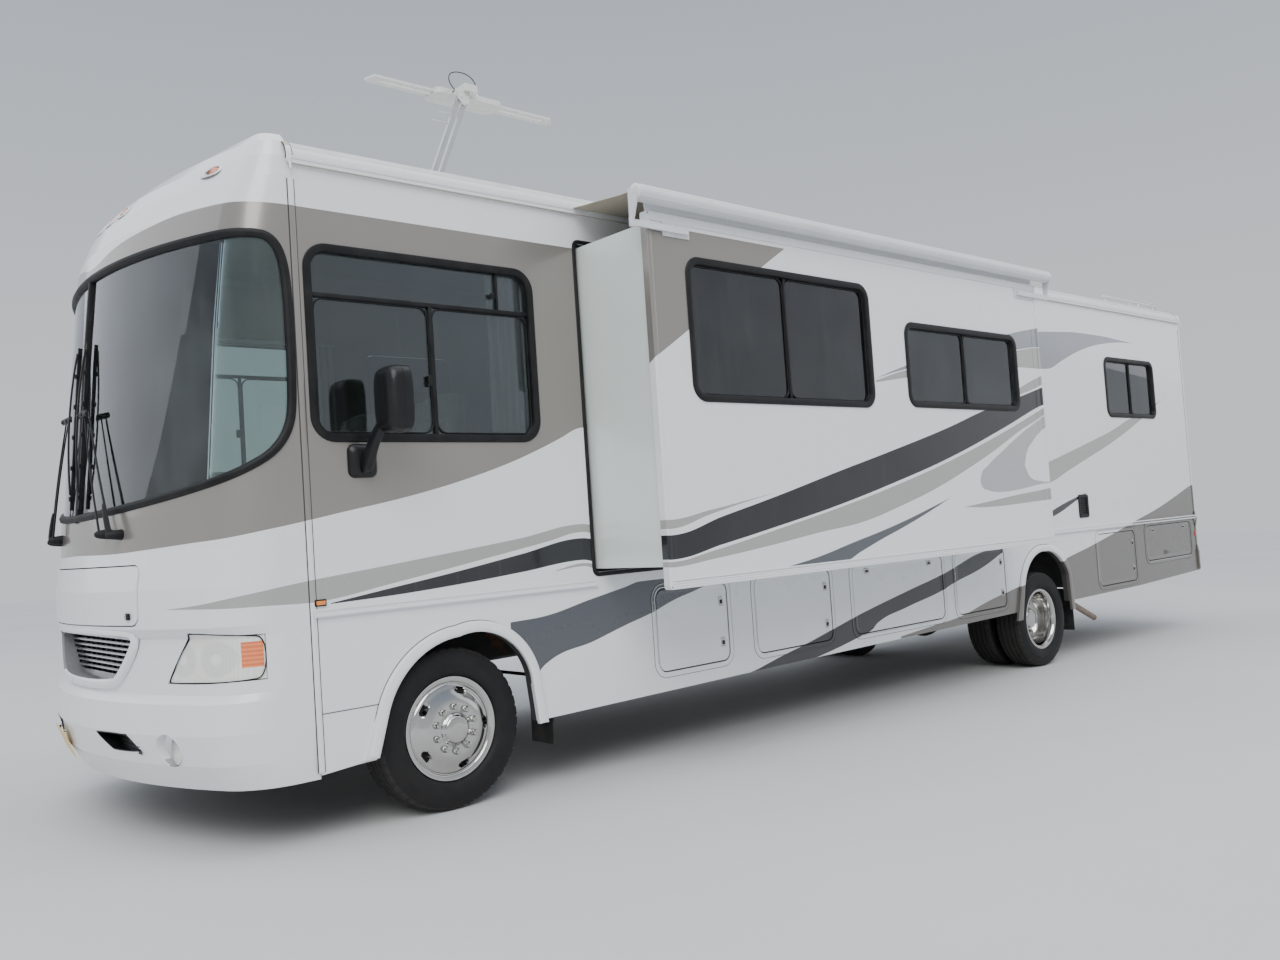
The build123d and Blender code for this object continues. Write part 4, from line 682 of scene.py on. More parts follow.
# ------------------------------------------------------------------ materials
gelcoat_wall = painted("wall_gelcoat", flat_wall_inside)
gelcoat_skirt = painted("skirt_gelcoat", flat_wall_inside, (0.045, 0.045, 0.045))
# the cap's inner faces take a darker grey, painted shade of the cab seen through the windshield
gelcoat_cap = painted("cap_gelcoat", lambda s: s.math("SUBTRACT", 1.0, s.outward(0.0, -0.2, 1.6)), (0.40, 0.41, 0.40))
gelcoat_tail = painted("tail_gelcoat", lambda s: s.math("SUBTRACT", 1.0, s.outward(0.0, 8.9, 1.9)), (0.5, 0.46, 0.4))
gelcoat_door = painted("door_gelcoat", flat_wall_inside, (0.42, 0.42, 0.41))
gelcoat_hood = painted("hood_gelcoat", lambda s: s.math("SUBTRACT", 1.0, s.outward(0.0, -0.9, 1.2)), (0.2, 0.2, 0.2))


def slide_inside(s):
    shell = s.times(s.above(s.y, 0.989), s.below(s.y, 5.022), s.above(s.z, 1.147), s.below(s.z, 2.982))
    return s.times(shell, s.below(s.ax, 1.862))


gelcoat_slide = painted("slide_gelcoat", slide_inside, (0.50, 0.45, 0.38))

# the slide-out's side wall is a little greener than the gelcoat
slide_side = gelcoat_slide.times(gelcoat_slide.below(gelcoat_slide.ax, 1.8245),
                                 gelcoat_slide.math("SUBTRACT", 1.0, slide_inside(gelcoat_slide)))
base = gelcoat_slide.bsdf.inputs["Base Color"].links[0].from_socket
side_tone = gelcoat_slide.noise(gelcoat_slide.at, 1.4, 3)
side_paint = gelcoat_slide.mix(gelcoat_slide.span(side_tone, 0.3, 0.7), (0.71, 0.765, 0.73), (0.675, 0.73, 0.695))
gelcoat_slide.color(gelcoat_slide.mix(slide_side, base, side_paint))
flakes = gelcoat_slide.bsdf.inputs["Metallic"].links[0].from_socket
gelcoat_slide.set("Metallic", gelcoat_slide.unless(flakes, slide_side))

white_trim = white_plastic("white_trim")
white_old = white_plastic("aged_white_plastic", (0.70, 0.70, 0.67), (0.34, 0.5), 0.34)
black_trim = rubber("black_trim", (0.0065, 0.0065, 0.0075), (0.38, 0.55), 0.14)
seal_rubber = rubber("seal_rubber", (0.007, 0.007, 0.008), (0.5, 0.66), 0.22)
chrome = metal("chrome", (0.50, 0.49, 0.475), (0.05, 0.15), stain=(0.34, 0.30, 0.26), stain_amount=0.35, bump=0.0001)
aluminium = metal("aluminium", (0.72, 0.72, 0.73), (0.24, 0.38), brushed=(1, 0.06, 1))
grey_frame = metal("anodised_frame", (0.60, 0.61, 0.62), (0.30, 0.44), brushed=(1, 1, 0.06))


def black_gloss():
    s = Shader("black_moulding", coat=0.1, spec=0.3)
    slow, grain = s.noise(s.at, 6.0, 4), s.cells(s.at, 420.0)
    s.color(s.mix(s.span(slow, 0.5, 0.85, 0.0, 0.3), (0.0075, 0.0075, 0.0085), (0.035, 0.035, 0.034)))
    s.rough(slow, 0.30, 0.46)
    s.bump(grain, 0.0003, 0.5)
    return s


black_moulding = black_gloss()


def chassis():
    s = Shader("chassis_steel", metal=0.25)
    rust = s.noise(s.at, 8.0, 6, 0.65)
    mud = s.times(s.span(s.z, 0.75, 0.25), s.noise(s.at, 2.5, 4))
    color = s.mix(s.span(rust, 0.52, 0.66), (0.022, 0.022, 0.024), (0.13, 0.062, 0.034))
    s.color(s.mix(s.span(mud, 0.2, 0.65, 0.0, 0.55), color, (0.17, 0.145, 0.115)))
    s.set("Roughness", s.span(rust, 0.4, 0.7, 0.48, 0.86))
    s.bump(rust, 0.0025, 0.7)
    return s


def cast_iron():
    s = Shader("cast_iron", metal=0.4)
    grain, rust = s.noise(s.at, 90.0, 4), s.noise(s.at, 14.0, 5)
    s.color(s.mix(s.span(rust, 0.45, 0.7), (0.05, 0.047, 0.045), (0.145, 0.07, 0.04)))
    s.rough(rust, 0.55, 0.85)
    s.bump(grain, 0.001, 0.8)
    return s


def exhaust_steel():
    s = Shader("exhaust_steel", metal=0.85)
    heat, rust = s.noise(s.at, 5.0, 4), s.noise(s.at, 40.0, 5)
    s.color(s.mix(s.span(heat, 0.4, 0.7), (0.30, 0.24, 0.19), (0.15, 0.10, 0.08)))
    s.set("Roughness", s.span(rust, 0.3, 0.7, 0.34, 0.72))
    s.bump(rust, 0.0008, 0.6)
    return s


def floor_mat():
    s = Shader("floor_covering")
    pile = s.noise(s.at, 260.0, 4, 0.7)
    slow = s.noise(s.at, 1.5, 4)
    under = s.below(s.z, 1.035)
    plank = s.wave(s.at, 2.2, "X", "SAW")
    tone = s.mix(s.span(slow, 0.3, 0.7), (0.235, 0.185, 0.135), (0.31, 0.25, 0.19))
    tone = s.mix(s.span(pile, 0.35, 0.65, 0.0, 0.35), tone, (0.16, 0.125, 0.09))
    tone = s.mix(s.times(s.above(plank, 0.97), s.above(s.y, 1.7)), tone, (0.1, 0.08, 0.06))
    s.color(s.mix(under, tone, s.mix(s.span(slow, 0.35, 0.65), (0.03, 0.03, 0.032), (0.085, 0.08, 0.072))))
    s.set("Roughness", s.span(pile, 0.3, 0.7, 0.7, 0.9))
    s.bump(pile, 0.0012, 0.7)
    return s


def roof_membrane():
    s = Shader("roof_membrane", coat=0.1)
    slow, film, grit = s.noise(s.at, 0.9, 4), s.noise(s.at, 6.0, 5, 0.65), s.noise(s.at, 300.0, 3)
    ceiling = s.math("SUBTRACT", 1.0, s.outward(0.0, 4.3, -40.0))
    on_top = s.above(s.z, 3.262)
    rain = s.noise(s.at, 4.0, 4, 0.6, stretch=(0.3, 9.0, 0.3))
    color = s.mix(on_top, WHITE, (0.66, 0.665, 0.655))
    color = s.mix(s.span(slow, 0.4, 0.75, 0.0, 0.12), color, (0.46, 0.45, 0.42))
    color = s.mix(s.times(on_top, s.span(film, 0.45, 0.75, 0.0, 0.35)), color, (0.38, 0.37, 0.33))
    color = s.mix(s.span(rain, 0.55, 0.85, 0.0, 0.18), color, (0.42, 0.41, 0.38))
    s.color(s.mix(ceiling, color, (0.55, 0.50, 0.43)))
    s.set("Roughness", s.math("ADD", s.times(on_top, 0.3), s.span(film, 0.3, 0.7, 0.26, 0.42)))
    s.bump(grit, 0.0005, 0.5)
    return s


def glass(name, tint, rough=0.012, haze=0.04):
    s = Shader(name, rough=rough, ior=1.45, transmission=1.0)
    film = s.noise(s.at, 2.2, 5, 0.6)
    runs = s.noise(s.at, 5.0, 4, 0.6, stretch=(6.0, 6.0, 0.5))
    dirt = s.math("ADD", s.span(film, 0.4, 0.8, 0.0, haze), s.span(runs, 0.5, 0.85, 0.0, haze))
    s.color(s.mix(dirt, tint, tuple(min(1.0, c + 0.25) for c in tint)))
    s.set("Roughness", s.math("ADD", rough, s.times(dirt, 0.35)))
    return s


def seen_through(name, tint, gloss, haze=0.05):
    """Pane glass: a tinted clear sheet with the sky's reflection by angle."""
    s = Shader(name)
    tree = s.tree
    out = next(n for n in tree.nodes if n.type == "OUTPUT_MATERIAL")
    film = s.noise(s.at, 2.2, 5, 0.6)
    runs = s.noise(s.at, 4.0, 4, 0.6, stretch=(7.0, 7.0, 0.5))
    dirt = s.math("ADD", s.span(film, 0.4, 0.8, 0.0, haze), s.span(runs, 0.5, 0.85, 0.0, haze))
    clear = s.node("ShaderNodeBsdfTransparent", {0: tint(s) if callable(tint) else tint}).outputs[0]
    mirror = s.node("ShaderNodeBsdfGlossy", {0: (0.92, 0.95, 1.0, 1), 1: 0.015}).outputs[0]
    dust = s.node("ShaderNodeBsdfDiffuse", {0: (0.42, 0.43, 0.42, 1)}).outputs[0]
    facing = s.node("ShaderNodeFresnel", {0: 1.5}).outputs[0]
    amount = s.math("ADD", s.math("MULTIPLY", facing, gloss), 0.02, clamp=True)
    a = s.node("ShaderNodeMixShader", {0: amount, 1: clear, 2: mirror}).outputs[0]
    b = s.node("ShaderNodeMixShader", {0: dirt, 1: a, 2: dust}).outputs[0]
    tree.links.new(b, out.inputs[0])
    return s


windshield_glass = seen_through("windshield_glass", (0.80, 0.90, 0.86, 1), 1.25, 0.05)
# the galley's panes, the rear ones of the room, are the lighter ones
tinted_glass = seen_through("tinted_glass", lambda s: s.mix(s.above(s.y, 3.1), (0.38, 0.41, 0.45), (0.93, 0.95, 0.96)), 1.35, 0.03)
cab_glass = seen_through("cab_window_glass", (0.60, 0.65, 0.67, 1), 1.3, 0.03)


def lens_material():
    """All lamps share one node, so the lens colours follow their places."""
    s = Shader("lamp_lens", rough=0.16, coat=0.6, subsurface=0.25)
    flutes = s.wave(s.at, 26.0, "X")
    rows = s.wave(s.at, 16.0, "Z")
    cloud = s.noise(s.at, 14.0, 5, 0.6)
    rim = s.noise(s.at, 4.0, 3)
    front_low = s.times(s.below(s.y, -0.5), s.below(s.z, 1.2))
    clear = s.mix(s.span(flutes, 0.2, 0.8, 0.0, 0.35), (0.84, 0.85, 0.81), (0.66, 0.67, 0.63))
    clear = s.mix(s.span(cloud, 0.35, 0.75, 0.0, 0.55), clear, (0.78, 0.76, 0.66))
    # two round reflector bowls behind the lens, painted on: each a darker disc of painted shade with a lighter centre
    # as a painted highlight
    for cx in (0.94, 1.125):
        dx = s.math("SUBTRACT", s.ax, cx)
        dz = s.math("SUBTRACT", s.z, 0.895)
        d = s.math("SQRT", s.math("ADD", s.times(dx, dx), s.times(dz, dz)))
        bowl = s.times(s.ease(d, 0.088, 0.070), 0.35)
        clear = s.mix(bowl, clear, (0.50, 0.51, 0.50))
        clear = s.mix(s.ease(d, 0.030, 0.018), clear, (0.83, 0.83, 0.80))
    amber_low = s.times(s.above(s.y, -1.058), s.within(s.z, 0.852, 0.966), s.below(s.y, -0.972), front_low)
    amber = s.mix(s.span(rows, 0.2, 0.8), (0.78, 0.17, 0.055), (0.90, 0.28, 0.10))
    high = s.above(s.z, 3.0)
    front_high = s.times(high, s.below(s.y, 0.0))
    tail = s.above(s.y, 5.0)
    red = s.mix(s.span(rows, 0.2, 0.8), (0.36, 0.008, 0.008), (0.55, 0.02, 0.015))
    reverse = s.times(tail, s.within(s.z, 1.11, 1.20))
    turn = s.times(tail, s.within(s.z, 0.985, 1.10))
    color = s.mix(s.either(amber_low, front_high), clear, amber)
    color = s.mix(tail, color, red)
    color = s.mix(turn, color, amber)
    color = s.mix(reverse, color, (0.75, 0.75, 0.74))
    s.color(color)
    s.set("Roughness", s.span(cloud, 0.3, 0.7, 0.10, 0.30))
    s.bump(flutes, 0.0015, 0.5)
    s.bump(rows, 0.001, 0.35)
    return s


def plate_material():
    s = Shader("plate_yellow", rough=0.38, coat=0.15)
    wear = s.noise(s.at, 12.0, 5, 0.6)
    color = s.mix(s.span(wear, 0.35, 0.75), (0.84, 0.58, 0.12), (0.72, 0.47, 0.10))
    s.color(s.mix(s.span(s.noise(s.at, 45.0, 4), 0.62, 0.8, 0.0, 0.6), color, (0.30, 0.22, 0.10)))
    s.rough(wear, 0.32, 0.5)
    s.bump(wear, 0.0006, 0.4)
    return s


def moulded(name, light, dark, scale=240.0, rough=(0.5, 0.68), depth=0.0005):
    """Textured interior plastic or vinyl."""
    s = Shader(name)
    grain, slow = s.cells(s.at, scale), s.noise(s.at, 4.0, 4)
    s.color(s.mix(s.span(slow, 0.3, 0.7), dark, light))
    s.rough(slow, *rough)
    s.bump(grain, depth, 0.6)
    return s


def tyre_rubber():
    s = Shader("tyre_rubber", spec=0.25)
    dust, fine = s.noise(s.at, 11.0, 5, 0.62), s.noise(s.at, 190.0, 4)
    # road dust gathers on the tread, judged by the distance from the nearer axle
    dy = s.math("MINIMUM", s.math("ABSOLUTE", s.y), s.math("ABSOLUTE", s.math("SUBTRACT", s.y, 6.031)))
    front = s.below(s.y, 3.0)
    dz = s.math("SUBTRACT", s.z, s.math("ADD", s.times(front, 0.400), s.times(s.math("SUBTRACT", 1.0, front), 0.309)))
    r = s.math("SQRT", s.math("ADD", s.times(dy, dy), s.times(dz, dz)))
    tread = s.ease(r, 0.388, 0.404)
    color = s.mix(s.span(dust, 0.35, 0.75, 0.0, 0.5), (0.009, 0.009, 0.010), (0.030, 0.028, 0.026))
    s.color(s.mix(s.times(tread, 0.5), color, (0.055, 0.051, 0.046)))
    s.set("Roughness", s.span(dust, 0.3, 0.7, 0.52, 0.78))
    s.bump(fine, 0.0005, 0.7)
    rings = s.wave(s.node("ShaderNodeCombineXYZ", {0: r}).outputs[0], 26.0)
    s.bump(rings, 0.0008, 0.3)
    return s


def awning_cloth(name, light, stripe=None, under=None, scale=1.0):
    s = Shader(name, rough=0.8, sheen=0.2)
    weave_a, weave_b = s.wave(s.at, 210.0 * scale, "Y"), s.wave(s.at, 210.0 * scale, "X")
    slow, mildew = s.noise(s.at, 1.6, 4), s.noise(s.at, 9.0, 5, 0.65)
    color = s.mix(s.span(slow, 0.3, 0.75, 0.0, 0.35), light, tuple(c * 0.74 for c in light))
    color = s.mix(s.span(mildew, 0.58, 0.8, 0.0, 0.35), color, (0.17, 0.16, 0.14))
    if stripe:
        color = s.mix(s.above(s.wave(s.at, 0.9, "Y"), 0.80), color, stripe)
    if under:
        down = s.node("ShaderNodeNewGeometry").outputs["Backfacing"]
        color = s.mix(down, color, under)
    s.color(color)
    s.bump(s.math("ADD", weave_a, weave_b), 0.0003, 0.6)
    s.bump(slow, 0.01, 0.3)
    return s


def seat_cloth(name, light, dark):
    s = Shader(name, rough=0.86, sheen=0.35)
    twill = s.wave(s.at, 330.0, "DIAGONAL")
    cross = s.wave(s.at, 300.0, "Z")
    slow, lint = s.noise(s.at, 6.0, 4), s.noise(s.at, 420.0, 3)
    color = s.mix(s.span(slow, 0.3, 0.7), dark, light)
    s.color(s.mix(s.span(lint, 0.4, 0.7, 0.0, 0.3), color, tuple(c * 1.3 for c in light)))
    s.bump(s.math("ADD", twill, cross), 0.0004, 0.7)
    s.bump(slow, 0.004, 0.3)
    return s


def painted_steel(name, base, rough=(0.35, 0.5)):
    s = Shader(name, coat=0.2)
    slow, chips = s.noise(s.at, 5.0, 4), s.noise(s.at, 30.0, 5, 0.7)
    color = s.mix(s.span(slow, 0.3, 0.75, 0.0, 0.3), base, tuple(c * 0.7 for c in base))
    s.color(s.mix(s.ease(chips, 0.70, 0.74), color, (0.15, 0.09, 0.06)))
    s.rough(slow, *rough)
    s.bump(chips, 0.0004, 0.4)
    return s


chassis_steel, iron, exhaust = chassis(), cast_iron(), exhaust_steel()
carpet, membrane, lens = floor_mat(), roof_membrane(), lens_material()
plate_paint = plate_material()
dash_plastic = moulded("dash_plastic", (0.20, 0.185, 0.165), (0.135, 0.125, 0.112))
wheel_leather = moulded("steering_wheel_grip", (0.035, 0.034, 0.033), (0.02, 0.02, 0.02), 300.0, (0.4, 0.55))
box_plastic = moulded("compartment_lining", (0.16, 0.16, 0.155), (0.09, 0.09, 0.088), 150.0, (0.6, 0.8))
tyre = tyre_rubber()
topper_cloth = awning_cloth("topper_cloth", (0.50, 0.43, 0.335))
patio_cloth = awning_cloth("patio_awning_cloth", (0.42, 0.41, 0.38), stripe=(0.16, 0.15, 0.145))
beige_cloth = seat_cloth("seat_cloth", (0.36, 0.31, 0.25), (0.27, 0.23, 0.18))
curtain_cloth = seat_cloth("curtain_cloth", (0.62, 0.57, 0.49), (0.50, 0.45, 0.38))
flap_rubber = rubber("mud_flap_rubber", (0.02, 0.02, 0.021), (0.6, 0.8), 0.75)
white_steel = painted_steel("white_steel", (0.74, 0.75, 0.77))
step_steel = painted_steel("step_steel", (0.055, 0.055, 0.06))
grille_bar = metal("grille_chrome", (0.80, 0.80, 0.82), (0.08, 0.22), stain=(0.25, 0.22, 0.2), stain_amount=0.4)


def slot_colours(node, *shaders):
    obj = NODES[node]
    for k, slot in enumerate(obj.material_slots):
        slot.material = shaders[min(k, len(shaders) - 1)].mat
    if not obj.material_slots:
        obj.data.materials.append(shaders[0].mat)


DRESS = {
    gelcoat_wall: ("left_wall", "right_wall"), gelcoat_skirt: ("left_skirt", "right_skirt"),
    gelcoat_cap: ("front_cap",), gelcoat_tail: ("rear_cap",), gelcoat_hood: ("hood_door",),
    gelcoat_door: tuple(f"compartment_door_{k}" for k in range(1, 7)) + (
        "right_compartment_door_1", "right_compartment_door_2", "entry_door"),
    gelcoat_slide: ("slide_room",), membrane: ("roof",), carpet: ("floor",),
    chassis_steel: ("chassis_frame", "rear_axle", "front_axle", "engine_block"),
    iron: ("left_knuckle", "right_knuckle", "tie_rod"), exhaust: ("exhaust_pipe",),
    box_plastic: ("compartment_boxes",), windshield_glass: ("windshield",), tinted_glass: ("slide_windows",),
    cab_glass: ("windows",), lens: ("lamps",), grille_bar: ("grille",), plate_paint: ("licence_plates",),
    black_trim: ("wipers",), dash_plastic: ("dashboard",), flap_rubber: ("mud_flaps",),
    white_old: ("roof_equipment", "antenna_head"), aluminium: ("rear_ladder", "antenna_mast", "antenna_link"),
    white_steel: ("topper_arms", "topper_tube"), patio_cloth: ("patio_awning",), wheel_leather: ("steering_wheel",),
    step_steel: ("entry_step",),
}
for shader, names in DRESS.items():
    for n in names:
        slot_colours(n, shader)

# ------------------------------------------------------------------ the antenna's loose cable
LOOP = ((.680, .586, 4.024), (.700, .586, 4.024), (.718, .574, 4.026), (.726, .548, 4.040), (.723, .533, 4.076),
        (.718, .548, 4.114), (.712, .583, 4.134), (.706, .628, 4.144), (.699, .674, 4.146), (.690, .717, 4.137),
        (.680, .752, 4.112), (.668, .766, 4.078), (.668, .766, 4.0402))
run = bpy.data.curves.new("antenna_cable_loop", "CURVE")
run.dimensions = "3D"
run.resolution_u = 12
spline = run.splines.new("NURBS")
spline.points.add(len(LOOP) - 1)
for point, place in zip(spline.points, LOOP):
    point.co = (*(BODY @ Vector(place)), 1)
spline.order_u = 3
spline.use_endpoint_u = True
run.bevel_depth = 0.003
run.bevel_resolution = 5
run.use_fill_caps = True
cable_sheath = rubber("cable_sheath", (0.022, 0.022, 0.024), (0.4, 0.55), 0.25)
run.materials.append(cable_sheath.mat)
antenna_loop = bpy.data.objects.new("antenna_cable_loop", run)
bpy.context.scene.collection.objects.link(antenna_loop)
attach(antenna_loop, "antenna_head")
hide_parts("antenna_cable")
tuple(BODY @ Vector(LOOP[0]))


# ------------------------------------------------------------------ tyres
FRONT_X, REAR_OUT, REAR_IN, WHEELBASE = 1.112, 1.122, 0.836, 6.031
FRONT_Z, REAR_Z = 0.400, 0.309


def tyre_profile():
    """(axial, radius, kind); kind 1 = shoulder block, 2 = groove."""
    pts = [(-.080, .248, 0), (-.081, .258, 0), (-.084, .266, 0), (-.096, .2675, 0), (-.104, .270, 0), (-.112, .280, 0),
           (-.118, .292, 0), (-.1195, .300, 0), (-.1215, .315, 0), (-.1225, .335, 0), (-.1215, .345, 0),
           (-.1205, .347, 0), (-.119, .360, 0), (-.1155, .376, 0), (-.114, .383, 1), (-.110, .393, 1), (-.104, .402, 1),
           (-.098, .4055, 1), (-.086, .4085, 1), (-.074, .4105, 1), (-.0705, .4108, 0)]
    for centre in (-.064, -.022, .022, .064):
        pts += [(centre - .0052, .4112, 0), (centre - .0042, .4045, 2), (centre - .003, .4005, 2),
                (centre + .003, .4005, 2), (centre + .0042, .4045, 2), (centre + .0052, .4112, 0)]
        if centre < .06:
            pts += [(centre + .016, .4118, 3), (centre + .028, .4118, 3)]
    pts += [(-a, r, k) for a, r, k in pts[20::-1]]
    return pts


TYRE = tyre_profile()


def add_tyre(b, x, z, y, out):
    """A ribbed road tyre with notched shoulders; out is +1 where its outer side faces +x."""
    def shape(t, r, a, i, k):
        kind = TYRE[i][2]
        if kind == 1 and k % 5 == 0:
            r -= 0.0065 if r > .40 else 0.003
        if kind == 3 and k % 5 == 2:
            r -= 0.003
        return out * t, min(r, 0.4118)
    b.lathe([(a, r) for a, r, k in TYRE], (x, y, z), sides=220, shape=shape)


for name, node, spots in (
        ("front_left_tyre_tread", "front_left_tyre", [(FRONT_X, FRONT_Z, 0, 1)]),
        ("front_right_tyre_tread", "front_right_tyre", [(-FRONT_X, FRONT_Z, 0, -1)]),
        ("rear_left_tyre_treads", "rear_left_tyres", [(REAR_OUT, REAR_Z, WHEELBASE, 1), (REAR_IN, REAR_Z, WHEELBASE, 1)]),
        ("rear_right_tyre_treads", "rear_right_tyres",
         [(-REAR_OUT, REAR_Z, WHEELBASE, -1), (-REAR_IN, REAR_Z, WHEELBASE, -1)])):
    b = Build()
    for x, z, y, out in spots:
        add_tyre(b, x, z, y, out)
    body = node.replace("_tyres", "_wheels").replace("_tyre", "_wheel")
    piece(name, b, [tyre], body, (node,), sharp=38)


# ------------------------------------------------------------------ wheel covers, nuts and hubs
def hex_nut(b, centre, out, r=0.0155, length=0.030, mat=0):
    """A capped wheel nut whose axis lies along x."""
    rings = []
    for t, rr, six in ((0.0, 1.25, 0), (0.003, 1.25, 0), (0.003, 1.0, 1), (length * 0.55, 1.0, 1),
                       (length * 0.62, 0.86, 0), (length * 0.86, 0.74, 0), (length * 0.97, 0.42, 0), (length, 0.06, 0)):
        ring = []
        for k in range(18):
            a = 2 * pi * k / 18
            radius = r * rr
            if six:
                radius *= 0.93 / cos((a % (pi / 3)) - pi / 6)
            ring.append((centre[0] + out * t, centre[1] + radius * cos(a), centre[2] + radius * sin(a)))
        rings.append(ring)
    b.grid(rings, mat, closed=True)


def wheel_cover(b, x, z, y, out, rows, holes, nuts, hub):
    """A pressed cover turned from rows of (axial, radius), with oval hand holes pressed into it; their deep floors take
    the second material, near black as painted shade.
    """
    count, r_mid, r_half, a_half, depth = holes
    fine = []
    for (a0, r0), (a1, r1) in zip(rows, rows[1:]):
        steps = max(1, int(abs(r1 - r0) / 0.006), int(abs(a1 - a0) / 0.012))
        fine += [(a0 + (a1 - a0) * k / steps, r0 + (r1 - r0) * k / steps) for k in range(steps)]
    fine.append(rows[-1])

    def dip(r, a):
        if abs(r - r_mid) > r_half * 1.35:
            return 0.0
        step = 2 * pi / count
        off = (a + step / 2) % step - step / 2
        e = sqrt(((r - r_mid) / r_half) ** 2 + (off * r_mid / a_half) ** 2)
        if e >= 1.3:
            return 0.0
        if e > 1.0:
            return -0.08 * (1.3 - e) / 0.3
        return min(1.0, (1.0 - e) * 3.2)

    def shape(t, r, a, i, k):
        d = dip(r, a)
        return out * (t - depth * max(d, 0.0) + 0.0035 * (-d if d < 0 else 0)), r

    sides = 240

    def mats(i, j):
        r = (fine[j][1] + fine[j + 1][1]) / 2
        a = 2 * pi * (i + 0.5) / sides
        return 1 if dip(r, a) > 0.55 else 0
    b.lathe(fine, (x, y, z), sides=sides, shape=shape, mats=mats)
    n, r_bolt, at, r_nut, tall = nuts
    for k in range(n):
        a = 2 * pi * (k + 0.5) / n
        hex_nut(b, (x + out * at, y + r_bolt * cos(a), z + r_bolt * sin(a)), out, r_nut, tall)
    b.lathe([(out * t, r) for t, r in hub], (x, y, z), sides=72)


# near black for the floors of the hand holes and the disc behind the cover: painted shade
hole_shade = moulded("wheel_hole_shadow", (0.012, 0.012, 0.012), (0.007, 0.007, 0.007), 200.0, (0.7, 0.9))

FRONT_ROWS = [(-.080, .249), (-.084, .263), (-.088, .2635), (-.095, .262), (-.095, .224), (-.080, .221), (.030, .217),
              (.060, .2205), (.080, .226), (.0925, .2345), (.0985, .2425), (.0988, .262), (.0965, .2635), (.0850, .2645),
              (.0805, .2585), (.0795, .249)]
FRONT_FACE = [(.0955, .240), (.0935, .2365), (.0895, .2325), (.0895, .2285), (.0945, .2235), (.0985, .2130),
              (.1020, .2000), (.1100, .1850), (.1180, .1700), (.1265, .1500), (.1300, .1380), (.1305, .1300),
              (.1305, .0960), (.1320, .0880), (.1345, .0800)]
FRONT_HUB = [(.1325, .084), (.1375, .0815), (.1415, .0760), (.1440, .0720), (.1500, .0690), (.1560, .0640),
             (.1590, .0585), (.1600, .0480), (.1612, .0440), (.1618, .0300), (.1620, .0120), (.1620, .0005)]
REAR_ROWS = [(-.080, .249), (-.084, .263), (-.095, .2635), (-.095, .224), (-.090, .2185), (-.078, .2165), (.020, .2190),
             (.075, .2260), (.0915, .2350), (.0985, .2425), (.0988, .262), (.0965, .2635), (.0850, .2645),
             (.0805, .2585), (.0795, .249)]
REAR_FACE = [(.0480, .2225), (.0050, .2180), (-.0250, .2130), (-.0420, .2080), (-.0580, .1990), (-.0760, .1860),
             (-.0980, .1650), (-.1130, .1500), (-.1180, .1430), (-.1180, .1200), (-.1130, .1120)]
REAR_HUB = [(-.1270, .119), (-.0690, .1130), (-.0600, .1110), (-.0330, .1050), (-.0190, .0960), (.0000, .0860),
            (.0110, .0800), (.0150, .0700), (.0160, .0560), (.0168, .0300), (.0170, .0120), (.0170, .0005)]

for side, label in ((1, "left"), (-1, "right")):
    b = Build()
    b.lathe([(side * a, r) for a, r in FRONT_ROWS], (side * FRONT_X, 0, FRONT_Z), sides=120)
    wheel_cover(b, side * FRONT_X, FRONT_Z, 0, side, FRONT_FACE, (5, .1960, .0170, .0330, .030),
                (10, .1125, .1302, .0165, .030), FRONT_HUB)
    # dark disc behind the cover, painted shade in the wheel's hollow
    b.lathe([(side * a, r) for a, r in ((-.094, .150), (-.020, .150), (-.010, .140), (.030, .135), (.050, .08),
                                       (.050, .020))], (side * FRONT_X, 0, FRONT_Z), sides=48, mat=1)
    # valve stem
    b.tube([(side * (FRONT_X + .090), .03, FRONT_Z + .212), (side * (FRONT_X + .104), .031, FRONT_Z + .207),
            (side * (FRONT_X + .118), .032, FRONT_Z + .196)], .0035, sides=10)
    piece(f"front_{label}_wheel_cover", b, [chrome, hole_shade], f"front_{label}_wheel", (f"front_{label}_wheel",),
          sharp=40)
    b = Build()
    b.lathe([(side * a, r) for a, r in REAR_ROWS], (side * REAR_OUT, WHEELBASE, REAR_Z), sides=120)
    wheel_cover(b, side * REAR_OUT, REAR_Z, WHEELBASE, side, REAR_FACE, (8, .1740, .0150, .0260, .030),
                (10, .1125, -.1175, .0150, .040), REAR_HUB)
    inner = [(-.095, .249), (-.098, .263), (-.086, .2635), (-.060, .2290), (.020, .2190), (.070, .2150), (.095, .2080),
             (.118, .1800), (.124, .1500), (.124, .1200), (.085, .1150), (.085, .2000), (.060, .2120), (-.090, .2150),
             (-.095, .249)]
    b.lathe([(side * a, r) for a, r in inner], (side * REAR_IN, WHEELBASE, REAR_Z), sides=96)
    piece(f"rear_{label}_wheel_covers", b, [chrome, hole_shade], f"rear_{label}_wheels", (f"rear_{label}_wheels",),
          sharp=40)


# ------------------------------------------------------------------ window frames
FLANGE = [(-.0080, -.0192), (-.0012, -.0192), (-.0012, .0004), (.0330, .0004), (.0340, .0036), (.0300, .0086),
          (.0180, .0106), (.0020, .0104), (-.0050, .0080), (-.0080, .0030)]
SASH = [(-.0090, .0), (-.0010, .0), (-.0010, .0080), (-.0030, .0095), (-.0070, .0095), (-.0090, .0070)]


def ring(b, hole, x, section, mat=0, side=1, grow=0.0, steps=8):
    y0, y1, z0, z1, r = hole
    path = [(x, y, z) for y, z in rounded(y0 - grow, y1 + grow, z0 - grow, z1 + grow, max(r + grow, .004), steps)]
    b.sweep(path, (1, 0, 0), section, closed=True, mat=mat)


